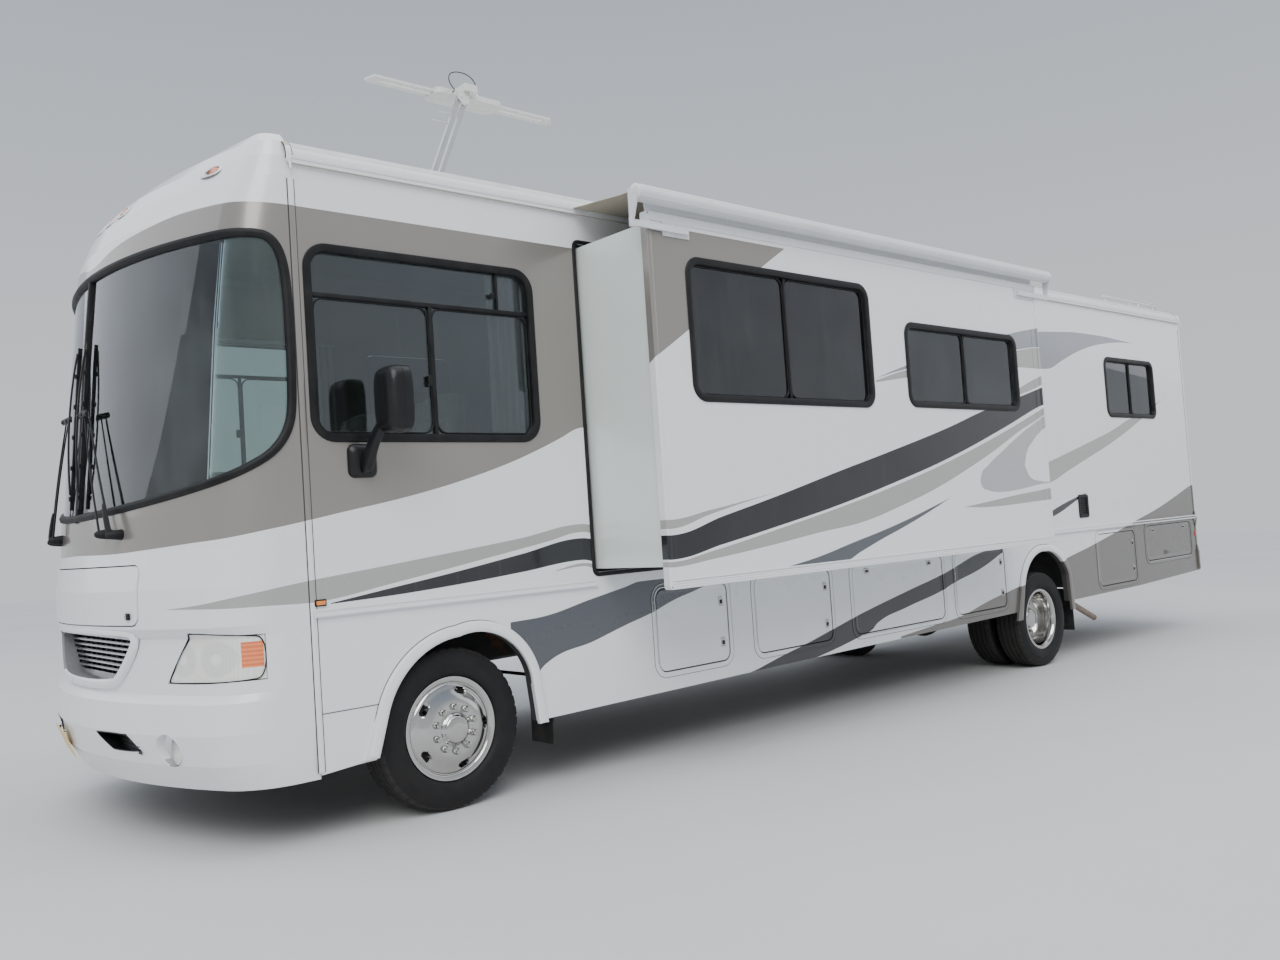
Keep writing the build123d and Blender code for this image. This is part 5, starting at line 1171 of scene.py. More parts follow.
def side_window(name, hole, x_wall, uprights=(), cross=(), sashes=(), body="motorhome", side=1, extra=None):
    """Black frame over the wall round a hole, with bars on the glass. All heights are (y, z0, z1) or (z, y0, y1)."""
    b = Build()
    ring(b, hole, x_wall, FLANGE)
    pane = x_wall - .0192
    y0, y1, z0, z1, r = hole
    for y, a, c, w in uprights:
        b.box((pane - .0004, y - w / 2, a), (pane + .0145, y + w / 2, c), .003)
    for z, a, c, w in cross:
        b.box((pane - .0004, a, z - w / 2), (pane + .0150, c, z + w / 2), .003)
    for sash in sashes:
        ring(b, sash, pane, SASH, steps=5)
    if extra:
        extra(b, pane)
    # drain slots along the bottom rail
    for k in range(3):
        y = y0 + (y1 - y0) * (0.22 + 0.28 * k)
        b.box((x_wall + .0088, y - .022, z0 - .018), (x_wall + .0120, y + .022, z0 - .013), .001)
    if side < 0:
        other = Build()
        other.mirrored(b)
        b = other
    return piece(name, b, [black_trim], body, sharp=34)


DRIVER = (-.665, .607, 1.895, 2.785, .090)
REAR = (7.582, 8.640, 2.150, 2.685, .060)
KERB = (2.700, 3.900, 2.100, 2.650, .060)
DINETTE = (1.280, 2.882, 2.060, 2.805, .070)
GALLEY = (3.328, 4.737, 2.075, 2.595, .060)


def cab_latches(b, pane):
    b.box((pane + .012, -.052, 2.150), (pane + .022, -.028, 2.205), .003)
    b.box((pane + .012, .360, 2.640), (pane + .020, .392, 2.668), .003)


for side, label in ((1, "left"), (-1, "right")):
    side_window(f"{label}_cab_window_frame", DRIVER, 1.270, [(-.015, 1.885, 2.570, .020), (.406, 2.570, 2.795, .014)],
                [(2.570, -.675, .617, .022)],
                [(-.655, -.022, 1.905, 2.560, .06), (-.008, .597, 1.905, 2.560, .06)], side=side, extra=cab_latches)
    side_window(f"{label}_rear_window_frame", REAR, 1.270, [(8.122, 2.140, 2.695, .020)], (),
                [(7.590, 8.115, 2.158, 2.677, .045), (8.129, 8.632, 2.158, 2.677, .045)], side=side)
side_window("kerb_window_frame", KERB, 1.270, [(3.300, 2.090, 2.660, .020)], (),
            [(2.708, 3.293, 2.108, 2.642, .045), (3.307, 3.892, 2.108, 2.642, .045)], side=-1)
side_window("dinette_window_frame", DINETTE, 1.870, [(2.084, 2.050, 2.815, .022)], (),
            [(1.288, 2.076, 2.068, 2.797, .055), (2.092, 2.874, 2.068, 2.797, .055)], "slide_room")
side_window("galley_window_frame", GALLEY, 1.870, [(4.041, 2.065, 2.605, .020)], (),
            [(3.336, 4.034, 2.083, 2.587, .045), (4.048, 4.729, 2.083, 2.587, .045)], "slide_room")

# ------------------------------------------------------------------ windshield gasket and centre strip
SCREEN = [(-1.394, 1.5937), (-1.300, 1.625), (-1.160, 1.675), (-1.000, 1.745), (-.870, 1.825), (-.800, 1.930),
          (-.780, 2.050), (-.775, 2.300), (-.775, 2.560), (-.790, 2.720), (-.830, 2.810), (-.900, 2.845),
          (-1.276, 2.845)]


def trim_corners(points, times=2):
    for _ in range(times):
        out = [points[0]]
        for a, b in zip(points, points[1:]):
            out.append(tuple(p * .75 + q * .25 for p, q in zip(a, b)))
            out.append(tuple(p * .25 + q * .75 for p, q in zip(a, b)))
        points = out + [points[-1]]
    return points


def on_cap(outline, step=0.03):
    """3-D points on the cap above a (y, z) line, close enough together to bend smoothly."""
    pts = [(cap_x(y, z), y, z) for y, z in outline]
    out = [pts[0]]
    for (ya, za), (yb, zb) in zip(outline, outline[1:]):
        def part(t0, p0, t1, p1, depth=0):
            if (Vector(p1) - Vector(p0)).length > step and depth < 14:
                tm = (t0 + t1) / 2
                y, z = ya + (yb - ya) * tm, za + (zb - za) * tm
                pm = (cap_x(y, z), y, z)
                part(t0, p0, tm, pm, depth + 1)
                part(tm, pm, t1, p1, depth + 1)
            else:
                out.append(p1)
        part(0.0, (cap_x(ya, za), ya, za), 1.0, (cap_x(yb, zb), yb, zb))
    clean = [out[0]]
    for p in out[1:]:
        if (Vector(p) - Vector(clean[-1])).length > 0.006:
            clean.append(p)
    return clean


half_ring = on_cap(trim_corners(SCREEN))
half_ring[0] = (0.0, half_ring[0][1], half_ring[0][2])
half_ring[-1] = (0.0, half_ring[-1][1], half_ring[-1][2])
loop = half_ring + [(-x, y, z) for x, y, z in half_ring[-2:0:-1]]
ups = [cap_normal(p) for p in loop]
b = Build()
b.sweep(loop, ups, [(-.021, -.010), (.017, -.004), (.020, .0005), (.018, .0075), (.008, .0115), (-.006, .0115),
                    (-.016, .0070), (-.021, -.002)], closed=True)
b.sweep(loop, ups, [(-.0035, .0105), (.0035, .0105), (.0028, .0135), (-.0028, .0135)], closed=True)
strip = [(0.0, front_y(0, 1.570 + 1.260 * k / 40), 1.570 + 1.260 * k / 40) for k in range(41)]
b.sweep(strip, [cap_normal((0.01, p[1], p[2])) for p in strip],
        [(-.017, -.012), (.017, -.012), (.017, .004), (.010, .010), (-.010, .010), (-.017, .004)])
piece("windshield_gasket", b, [seal_rubber], sharp=40)

# ------------------------------------------------------------------ wipers
b = Build()
for side in (-1, 1):
    for (x0, z0), (x1, z1) in (((.430, 1.498), (.140, 2.130)), ((.540, 1.490), (.215, 2.105))):
        base = Vector((side * x0, front_y(x0, z0) - .046, z0))
        tip = Vector((side * x1, front_y(x1, z1) - .034, z1))
        thick = x0 == .540
        path = [base.lerp(tip, k / 16) + Vector((0, -.006 * sin(pi * k / 16), 0)) for k in range(17)]
        w = [1.25 - 0.5 * k / 16 for k in range(17)]
        half = .0075 if thick else .005
        b.sweep(path, (0, -1, 0), [(-half, -.003), (half, -.003), (half, .002), (half * .7, .004), (-half * .7, .004),
                                   (-half, .002)], scale=w)
        b.lathe([(.020, .0005), (.020, .0245), (.014, .0265), (-.022, .0225), (-.036, .0205), (-.050, .0165), (-.060, .009), (-.062, .0005)],
                (side * x0, front_y(x0, z0) - .008, z0), axis="Y", sides=28)
        if thick:                                              # spring housing of the driven arm
            path = [base.lerp(tip, t) + Vector((0, -.008, 0)) for t in (0, .05, .13, .21, .25)]
            b.sweep(path, (0, -1, 0), [(-.013, -.006), (.013, -.006), (.012, .008), (.005, .012), (-.005, .012), (-.012, .008)],
                    scale=[.8, 1.1, 1.1, .9, .6])
    # blade: rubber, steel spine, bridges and the bracket that both arms turn on
    x = side * .075
    line = [(x, front_y(.075, 1.640 + .850 * k / 24), 1.640 + .850 * k / 24) for k in range(25)]
    norm = [cap_normal(p) for p in line]
    b.sweep(line, norm, [(-.0012, .001), (.0012, .001), (.0040, .012), (.0045, .018), (-.0045, .018), (-.0040, .012)], mat=0)
    b.sweep(line, norm, [(-.007, .0182), (.007, .0182), (.006, .0215), (-.006, .0215)], mat=1)
    for z in (1.70, 1.86, 2.02, 2.18, 2.34, 2.45):
        y = front_y(.075, z)
        b.box((x - .010, y - .0285, z - .012), (x + .010, y - .012, z + .012), .003, mat=1)
    bridge = [(x, front_y(.075, z) - .022 - .022 * (1 - ((z - 2.09) / .37) ** 2), z) for z in
              [1.72 + .74 * k / 12 for k in range(13)]]
    b.sweep(bridge, (0, -1, 0), [(-.008, -.002), (.008, -.002), (.008, .002), (.004, .006), (-.004, .006), (-.008, .002)], mat=1)
    y = front_y(.150, 2.115)
    b.box((side * .145 - .078, y - .048, 2.099), (side * .145 + .078, y - .037, 2.131), .004, mat=1)
    for px in (.140, .215, .075):
        b.lathe([(-.006, .0005), (-.006, .009), (.0, .012), (.006, .012), (.006, .0005)],
                (side * px, y - .047, 2.115), axis="Y", sides=16, mat=1)
piece("wiper_set", b, [seal_rubber, black_trim], stands_for=("wipers",), sharp=36)

# ------------------------------------------------------------------ mirrors
mirror_glass = metal("mirror_glass", (0.90, 0.92, 0.93), (0.015, 0.05), stain=(0.5, 0.5, 0.5), stain_amount=0.15, bump=0.00002)


def squircle(cx, cz, hw, hh, y, n=48, power=4.2):
    out = []
    for k in range(n):
        a = 2 * pi * k / n
        c, s = cos(a), sin(a)
        r = (abs(c) ** power + abs(s) ** power) ** (-1 / power)
        out.append((cx + hw * r * c, y, cz + hh * r * s))
    return out


left = Build()
cx, cz = 1.485, 2.045
rows = [(-.4445, .32), (-.4440, .52), (-.4400, .70), (-.4310, .84), (-.4160, .935), (-.3950, .985), (-.3650, 1.0),
        (-.3350, 1.0), (-.3285, .992), (-.3262, .975)]
left.grid([squircle(cx, cz, .1042 * s, .1592 * s ** .72, y) for y, s in rows], closed=True)
left.cap(squircle(cx, cz, .105 * .32, .160 * .32 ** .72, -.4445))
# rim, then the two glasses set back in it
left.grid([squircle(cx, cz, .105 * s, .160 * s, y) for y, s in ((-.3262, .975), (-.3262, .945), (-.3300, .930), (-.3370, .925))],
          closed=True)
left.cap(squircle(cx, cz, .105 * .925, .160 * .925, -.3370))
flat_glass = squircle(cx, cz + .035, .0925, .106, -.3345)
left.grid([squircle(cx, cz + .035, .0925, .106, -.3365), flat_glass], mat=1, closed=True)
left.cap(flat_glass, mat=1)
bowl = [[(cx + (p[0] - cx) * s, -.3340 + .006 * (1 - s * s), cz - .110 + (p[2] - cz + .110) * s)
         for p in squircle(cx, cz - .110, .0900, .034, 0)] for s in (1, .85, .65, .42, .2, .02)]
left.grid(bowl, mat=1, closed=True)
# seam round the shell and the knuckle under the head
left.grid([squircle(cx, cz, .1049, .1599, y) for y in (-.372, -.370)] +
          [squircle(cx, cz, .1030, .1580, y) for y in (-.369, -.373)], closed=True, around=True)
arm = smooth_line([(1.290, -.446, 1.742), (1.318, -.446, 1.748), (1.342, -.443, 1.785), (1.372, -.434, 1.845),
                   (1.408, -.420, 1.905), (1.446, -.405, 1.952), (1.470, -.392, 1.985)], 5)
sizes = [1.15 - .45 * k / (len(arm) - 1) for k in range(len(arm))]
left.sweep(arm, (0.0, -1.0, 0.0), [(.034 * abs(cos(a)) ** .6 * (1 if cos(a) > 0 else -1), .024 * abs(sin(a)) ** .6 * (1 if sin(a) > 0 else -1))
                                   for a in [2 * pi * (k + .5) / 20 for k in range(20)]], scale=sizes)
foot = [[(x, -.447 + (y + .447) * s, 1.765 + (z - 1.765) * s) for x, y, z in
         [(x, py, pz) for py, pz in rounded(-.523, -.371, 1.688, 1.852, .035, 5)]]
        for x, s in ((1.2704, 1.0), (1.2760, 1.0), (1.2850, .93), (1.2960, .78), (1.3040, .55))]
left.grid(foot, closed=True)
left.cap(foot[-1])
left.lathe([(-.018, .0005), (-.018, .030), (.0, .034), (.022, .030), (.030, .012), (.030, .0005)], (1.470, -.392, 1.982), axis="Z", sides=28)
for py in (-.500, -.394):
    for pz in (1.712, 1.828):
        left.lathe([(.0, .010), (.004, .0095), (.007, .006), (.0075, .0005)], (1.279, py, pz), axis="X", sides=14)
both = Build()
both.verts, both.faces, both.mats, both.smooth = list(left.verts), list(left.faces), list(left.mats), list(left.smooth)
both.mirrored(left)
piece("mirror_pair", both, [black_moulding, mirror_glass], stands_for=("mirrors",), sharp=40)


# ------------------------------------------------------------------ mouldings along the body
b = Build()
for side, runs in ((1, ((-.735, .960), (5.150, 9.431))), (-1, ((-.735, .930), (1.650, 9.431)))):
    for y0, y1 in runs:
        n = max(2, int((y1 - y0) / .4))
        for z in (1.0475, 1.0725):
            path = [(side * 1.286, y0 + (y1 - y0) * k / n, z) for k in range(n + 1)]
            b.sweep(path, (side, 0, 0), [(-.0055, -.0012), (.0055, -.0012), (.0048, .0018), (.002, .0030), (-.002, .0030), (-.0048, .0018)])
        for y in (y0 + .003, y1 - .003):
            b.box((side * 1.2868 - .016, y - .004, 1.0385), (side * 1.2868 + .0035, y + .004, 1.0815), .003)
piece("belt_moulding_ribs", b, [white_trim], sharp=40)


def arc3(a, m, c, n):
    """n + 1 points on the circle through a, m and c, in the plane."""
    (x1, y1), (x2, y2), (x3, y3) = a, m, c
    d = 2 * (x1 * (y2 - y3) + x2 * (y3 - y1) + x3 * (y1 - y2))
    ux = ((x1 * x1 + y1 * y1) * (y2 - y3) + (x2 * x2 + y2 * y2) * (y3 - y1) + (x3 * x3 + y3 * y3) * (y1 - y2)) / d
    uy = ((x1 * x1 + y1 * y1) * (x3 - x2) + (x2 * x2 + y2 * y2) * (x1 - x3) + (x3 * x3 + y3 * y3) * (x2 - x1)) / d
    r = sqrt((x1 - ux) ** 2 + (y1 - uy) ** 2)
    a0, am, a1 = (atan2(q - uy, p - ux) for p, q in (a, m, c))
    turn = (a1 - a0 + pi) % (2 * pi) - pi
    return [(ux + r * cos(a0 + turn * k / n), uy + r * sin(a0 + turn * k / n)) for k in range(n + 1)]


def hoop(z_low):
    """Body cross-section from one lower edge over the roof to the other, as (x, z) with outward normals."""
    half = [(1.270, z_low + (3.205 - z_low) * k / 30) for k in range(31)]
    half += arc3((1.270, 3.215), (1.246, 3.2845), (1.175, 3.310), 8)
    half += arc3((1.175, 3.310), (0.0, 3.350), (-1.175, 3.310), 24)[1:13]
    full = half + [(-x, z) for x, z in half[-2::-1]]
    out = []
    for i, (x, z) in enumerate(full):
        a, c = full[max(i - 1, 0)], full[min(i + 1, len(full) - 1)]
        t = Vector((c[0] - a[0], 0, c[1] - a[1])).normalized()
        n = Vector((t.z, 0, -t.x))
        out.append(((x, z), n if n.dot(Vector((x, 0, z - 2.0))) > 0 else -n))
    return out


STRIP = [(-.0145, .0004), (.0145, .0004), (.0140, .0032), (.009, .0052), (-.009, .0052), (-.0140, .0032)]
CAULK_SHADOW_LINE = [(-.0030, .0003), (.0030, .0003), (.0018, .0016), (-.0018, .0016)]
b = Build()
for y, z_low in ((-.735, .330), (9.431, .495)):
    h = hoop(z_low)
    for part in ([q for q in h if q[0][1] < 3.186 and q[0][0] > 0], [q for q in h if q[0][1] > 3.203],
                 [q for q in h if q[0][1] < 3.186 and q[0][0] < 0]):
        # the strip stands over the belt moulding and the flare at the tail
        grow = [.0215 if (y < 0 and 1.030 < z < 1.090) else (.0145 if y > 9 and z < .705 else (.0175 if 1.030 < z < 1.090 else 0.0))
                for (x, z), n in part]
        path = [(x + n.x * g, y, z + n.z * g) for ((x, z), n), g in zip(part, grow)]
        b.sweep(path, [n for _, n in part], STRIP)
        # dark lines along both edges of the strip: sealant, and partly painted shadow gaps
        for edge in (-.0165, .0165):
            b.sweep([(px, py + edge, pz) for px, py, pz in path], [n for _, n in part], CAULK_SHADOW_LINE, mat=1)
for side in (-1, 1):                                           # joint line ahead of the front wheel
    b.sweep([(side * 1.2702, -.716 + .292 * k / 6, .595) for k in range(7)], (side, 0, 0), [(-.0022, .0), (.0022, .0), (.0016, .0014), (-.0016, .0014)], mat=1)
# dark sealant colour for the seam, arch and door lines, partly painted shadow
joint_shadow = rubber("joint_sealant_and_shadow", (0.055, 0.053, 0.050), (0.6, 0.8), 0.5)
piece("seam_mouldings", b, [gelcoat_wall, joint_shadow], sharp=40)

# gutters over the drip rails, with a spout at each end
b = Build()
for side in (-1, 1):
    lip = [(side * 1.2900, -.735 + 10.166 * k / 40, 3.206) for k in range(41)]
    b.sweep(lip, (0, 0, 1), [(-.0030, -.0040), (.0030, -.0040), (.0030, .0085), (.0, .0105), (-.0030, .0085)])
    for y in (-.742, 9.440):
        b.box((side * 1.281 - .012, y - .010, 3.184), (side * 1.281 + .012, y + .010, 3.208), .004)
        b.tube([(side * 1.284, y, 3.190), (side * 1.294, y, 3.176), (side * 1.297, y, 3.150)], .006, sides=10)
piece("rain_gutters", b, [white_trim], sharp=40)

# rounded lips over the wheel-arch flares, along the flares' own edge
def flare_edge(node, side, y0, y1, centre):
    """The flare's inner edge as (y, z) points by growing angle round centre, read off the part's mesh."""
    back = BODY.inverted()
    spots = set()
    for v in NODES[node].data.vertices:
        p = back @ (NODES[node].matrix_world @ v.co)
        if abs(p.x - side * 1.290) < .0008 and y0 < p.y < y1:
            spots.add((round(p.y, 4), round(p.z, 4)))
    polar = sorted((atan2(z - centre[1], y - centre[0]), sqrt((y - centre[0]) ** 2 + (z - centre[1]) ** 2), y, z) for y, z in spots)
    edge = []
    for a, r, y, z in polar:
        near = [q for q in polar if abs(q[0] - a) < .10 and q[1] > r + .022]
        beyond = [q for q in polar if abs(q[0] - a) < .10 and q[1] < r - .022]
        if near and not beyond:
            edge.append((y, z))
    clean = [edge[0]]
    for q in edge[1:]:
        if sqrt((q[0] - clean[-1][0]) ** 2 + (q[1] - clean[-1][1]) ** 2) > .010:
            clean.append(q)
    return clean


LIP = [(-.0020, .0), (-.0020, .0210), (.0040, .0250), (.0160, .0270), (.0300, .0262), (.0440, .0235), (.0520, .0212), (.0540, .0190), (.0540, .0)]
b = Build()
for side, node in ((1, "left_skirt"), (-1, "right_skirt")):
    for y0, y1, centre in ((-.75, .80, (.015, .300)), (5.30, 6.80, (6.035, .330))):
        edge = flare_edge(node, side, y0, y1, centre)
        f = Build()
        path = [(1.270, y, z) for y, z in edge]
        f.sweep(path, (1, 0, 0), LIP)
        # thin dark line along the lip's outer edge: painted shadow under the raised lip
        f.sweep(path, (1, 0, 0), [(.0545, .0003), (.0580, .0003), (.0572, .0016), (.0550, .0016)], mat=1)
        if side > 0:
            b.add(f.verts, [q for q, m in zip(f.faces, f.mats) if m == 0], 0)
            b.add(f.verts, [q for q, m in zip(f.faces, f.mats) if m == 1], 1)
        else:
            b.mirrored(f)
piece("wheel_arch_lips", b, [gelcoat_skirt, joint_shadow], sharp=50)

# ------------------------------------------------------------------ luggage doors: frames, latches and hinges
STREET = [(1.412, 2.012, .490, .975, "front"), (2.284, 3.052, .490, .975, "front"), (3.320, 4.455, .490, .975, "bottom"),
          (4.652, 5.392, .490, .975, "front"), (7.110, 7.905, .500, .985, "front"), (8.180, 9.285, .665, 1.010, "bottom")]
KERBSIDE = [(2.284, 3.052, .490, .975, "front"), (7.110, 7.905, .500, .985, "front")]
FRAME = [(.0020, .0004), (.0320, .0004), (.0320, .0018), (.0290, .0040), (.0230, .0022), (.0130, .0022), (.0070, .0040), (.0020, .0030)]
LEAF_LIP = [(-.0290, -.0016), (-.0006, -.0016), (-.0006, .0012), (-.0040, .0026), (-.0100, .0012), (-.0230, .0012), (-.0290, -.0008)]

frames = Build()
for side, table, prefix in ((1, STREET, "compartment_door_"), (-1, KERBSIDE, "right_compartment_door_")):
    for number, (y0, y1, z0, z1, hinge) in enumerate(table, 1):
        f, leaf = Build(), Build()
        ring(f, (y0 - .006, y1 + .006, z0 - .006, z1 + .006, .060), 1.270, FRAME, steps=7)
        # dark lines at the frame's outer and inner edges: joints, partly painted shadow gaps
        for inset in (.0008, .0335):
            ring(f, (y0 - .006, y1 + .006, z0 - .006, z1 + .006, .060), 1.2702, [(inset - .0016, .0), (inset + .0016, .0), (inset + .0012, .0012), (inset - .0012, .0012)], mat=2, steps=7)
        ring(leaf, (y0, y1, z0, z1, .055), 1.2685, LEAF_LIP, mat=0, steps=7)
        if hinge == "front":
            spots = [(y1 - .050, z0 + .115), (y1 - .050, z1 - .115)]
            f.tube([(1.2722, y0 - .013, z0 + .05), (1.2722, y0 - .013, z1 - .05)], .0030, mat=1, sides=10)
            for k in range(9):
                z = z0 + .07 + (z1 - z0 - .14) * k / 8
                f.tube([(1.2725, y0 - .0225, z), (1.2742, y0 - .0225, z)], .0026, mat=1, sides=8)
        else:
            spots = [(y0 + .17, z1 - .045), (y1 - .17, z1 - .045)]
            f.tube([(1.2722, y0 + .05, z0 - .013), (1.2722, y1 - .05, z0 - .013)], .0030, mat=1, sides=10)
        for y, z in spots:                                     # paddle latches with a key barrel
            w, h = (.019, .030) if hinge == "front" else (.030, .019)
            rows = [[(x, y + (py - y) * s, z + (pz - z) * s) for py, pz in rounded(y - w, y + w, z - h, z + h, .008, 4)]
                    for x, s in ((1.2682, 1.0), (1.2712, 1.0), (1.2728, .93), (1.2722, .80))]
            leaf.grid(rows, mat=1, closed=True)
            leaf.cap(rows[-1], mat=1)
            leaf.box((1.2716, y - w * .55, z - h * .55), (1.2742, y + w * .55, z + h * .30), .0012, mat=2)
            leaf.lathe([(1.2718, .0042), (1.2748, .0040), (1.2750, .0005)], (0, y, z + h * .62), axis="X", sides=14, mat=1)
        if number == 6 and side > 0:                           # little vent of the last door
            y, z = 8.640, .725
            leaf.box((1.2676, y - .055, z - .022), (1.2712, y + .055, z + .022), .003, mat=0)
            for k in range(4):
                leaf.box((1.2706, y - .047, z - .015 + .009 * k), (1.2728, y + .047, z - .011 + .009 * k), .0008, mat=2)
        own = Build()
        if side > 0:
            own = leaf
            for part in (f,):
                base = len(frames.verts)
                frames.verts += part.verts
                frames.faces += [tuple(base + i for i in q) for q in part.faces]
                frames.mats += part.mats
                frames.smooth += part.smooth
        else:
            own.mirrored(leaf)
            frames.mirrored(f)
        piece(f"{prefix}{number}_fittings", own, [gelcoat_door, chrome, black_trim], f"{prefix}{number}", sharp=36)
piece("compartment_door_frames", frames, [gelcoat_skirt, grey_frame, joint_shadow], sharp=36)

# ------------------------------------------------------------------ slide-out: seals, corner trim, rails
b = Build()
ring(b, (.968, 5.048, 1.120, 3.010, .020), 1.270, [(.0015, .0004), (.0260, .0004), (.0260, .0025), (.0200, .0065), (.0120, .0070), (.0040, .0062), (.0015, .0030)], steps=4)
b2 = Build()
ring(b2, (.9665, 5.0495, 1.1185, 3.0115, .018), 1.256, [(-.0140, -.0060), (.0, -.0060), (.0, .0110), (-.0035, .0110), (-.0125, .0020)], steps=4)
piece("slide_opening_seal", b, [seal_rubber])
piece("slide_wiper_seal", b2, [seal_rubber])
b = Build()
ring(b, (.978, 5.130, 1.020, 3.050, .014), 1.870, [(-.0300, .0004), (.0005, .0004), (.0005, -.0440), (.0034, -.0440), (.0034, .0010),
                                                  (.0010, .0036), (-.0050, .0044), (-.0250, .0036), (-.0300, .0020)], steps=4)
# white rail along the top and the double-ribbed one along the bottom
for z, h in ((3.0220, .0200),):
    n = 12
    b.sweep([(1.8705, .990 + 4.128 * k / n, z) for k in range(n + 1)], (1, 0, 0),
            [(-h, .0), (h, .0), (h * .9, .0045), (-h * .9, .0045)], mat=1)
for z in (1.0350, 1.0490, 1.0640):
    b.sweep([(1.8705, .990 + 4.128 * k / 12, z) for k in range(13)], (1, 0, 0),
            [(-.0058, .0), (.0058, .0), (.0050, .0040), (.0020, .0055), (-.0020, .0055), (-.0050, .0040)], mat=1)
# rain flashing along the room's top edge, under the topper tube
b.sweep([(1.8500, .990 + 4.128 * k / 12, 3.0490) for k in range(13)], (0, 0, 1),
        [(.0030, .0), (.0030, .0600), (.0045, .0624), (-.0045, .0624), (-.0030, .0600), (-.0030, .0)], mat=1)
# cover strip over the joint of the two outer panels
b.sweep([(1.8700, 5.034, 1.082 + 1.915 * k / 16) for k in range(17)], (1, 0, 0), [(-.008, .0002), (.008, .0002), (.007, .0022), (-.007, .0022)])
piece("slide_edge_trim", b, [gelcoat_slide, white_trim], "slide_room", sharp=36)

# rivets of the topper arms' plates, and their knuckles
b = Build()
for y0, y1 in ((1.090, 1.290), (4.810, 5.080)):
    n = 5 if y1 - y0 < .25 else 7
    for k in range(n):
        for z in (2.937, 2.993):
            y = y0 + .014 + (y1 - y0 - .028) * k / (n - 1)
            b.lathe([(1.8780, .0042), (1.8796, .0036), (1.8804, .0020), (1.8806, .0004)], (0, y, z), axis="X", sides=12)
for y, s in ((.850, 1), (5.255, -1)):
    b.lathe([(-.010, .0005), (-.010, .016), (.0, .018), (.012, .016), (.018, .008), (.018, .0005)], (1.915, y + .0075, 3.122), axis="Y", sides=24)
    b.box((1.880, y - .006, 2.940), (1.902, y + .021, 2.990), .004)
piece("topper_arm_rivets", b, [white_steel], "slide_room", sharp=40)
b = Build()
for y0, s in ((.8790, -1), (5.2410, 1)):
    b.lathe([(s * -.004, .0430), (s * .004, .0448), (s * .010, .0446), (s * .0150, .038), (s * .0165, .020), (s * .0165, .0005)], (1.915, y0, 3.122), axis="Y", sides=48)
for k in range(5):                                             # grooves that hold the cloth's cord
    a = 2 * pi * k / 5 + .942
    b.sweep([(1.915 + .0452 * sin(a), .890 + 4.340 * j / 8, 3.122 + .0452 * cos(a)) for j in range(9)], (sin(a), 0, cos(a)),
            [(-.004, -.001), (.004, -.001), (.003, .0018), (-.003, .0018)])
piece("topper_tube_caps", b, [white_trim], "topper_tube", sharp=40)

# ------------------------------------------------------------------ the topper's cloth
def cloth_height(u, v):
    """Sag between roof and tube, with slight folds; u from the roof to the tube, v along."""
    sag = -.016 * sin(pi * u) * (0.65 + 0.35 * sin(pi * v))
    folds = .0035 * sin(pi * u) ** .7 * (sin(23 * v + 2.2 * u) + .6 * sin(57 * v + 4.0 * u + 1.3))
    puff = .006 * sin(pi * u) * noise.noise(Vector((u * 2.3, v * 9.0, 1.7)))
    return sag + folds + puff


b = Build()
rows = []
for j in range(141):
    v = j / 140
    rows.append([(1.2830 + .6150 * (i / 22), .962 + 4.186 * v, 3.2135 + (3.1695 - 3.2135) * (i / 22) + cloth_height(i / 22, v))
                 for i in range(23)])
b.grid(rows)
topper = piece("topper_cloth", b, [topper_cloth], "motorhome", ("topper_fabric",), sharp=180)
hem = Build()
for v in (0.0, 1.0):
    for j in range(1):
        path = [(1.2830 + .6150 * (i / 22), .962 + 4.186 * v, 3.2150 + (3.1695 - 3.2135) * (i / 22) + cloth_height(i / 22, v)) for i in range(23)]
        hem.sweep(path, (0, 0, 1), [(-.010, -.0024), (.010, -.0024), (.009, .0004), (-.009, .0004)])
hem_piece = piece("topper_cloth_hems", hem, [topper_cloth], "motorhome")
for cloth in (topper, hem_piece):
    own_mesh(cloth)

# ------------------------------------------------------------------ nose: grille, lamps, hood, intakes
def face_loop(outline, round_off=2, step=.03, lift=0.0, corner=.055):
    """A closed (x, z) outline laid on the cap."""
    pts = [Vector(p) for p in outline]
    for _ in range(round_off):
        nxt = []
        for i, p in enumerate(pts):
            q = pts[(i + 1) % len(pts)]
            w = min(.22, corner / max((q - p).length, 1e-6)) if _ == 0 else .25
            nxt += [p.lerp(q, w), p.lerp(q, 1 - w)]
        pts = nxt
    out = []
    for i, p in enumerate(pts):
        q = pts[(i + 1) % len(pts)]
        n = max(1, int((q - p).length / step))
        out += [p.lerp(q, k / n) for k in range(n)]
    loop = [(x, front_y(x, z), z) for x, z in out]
    ups = [cap_normal(p) for p in loop]
    return [tuple(Vector(p) + n * lift) for p, n in zip(loop, ups)], ups


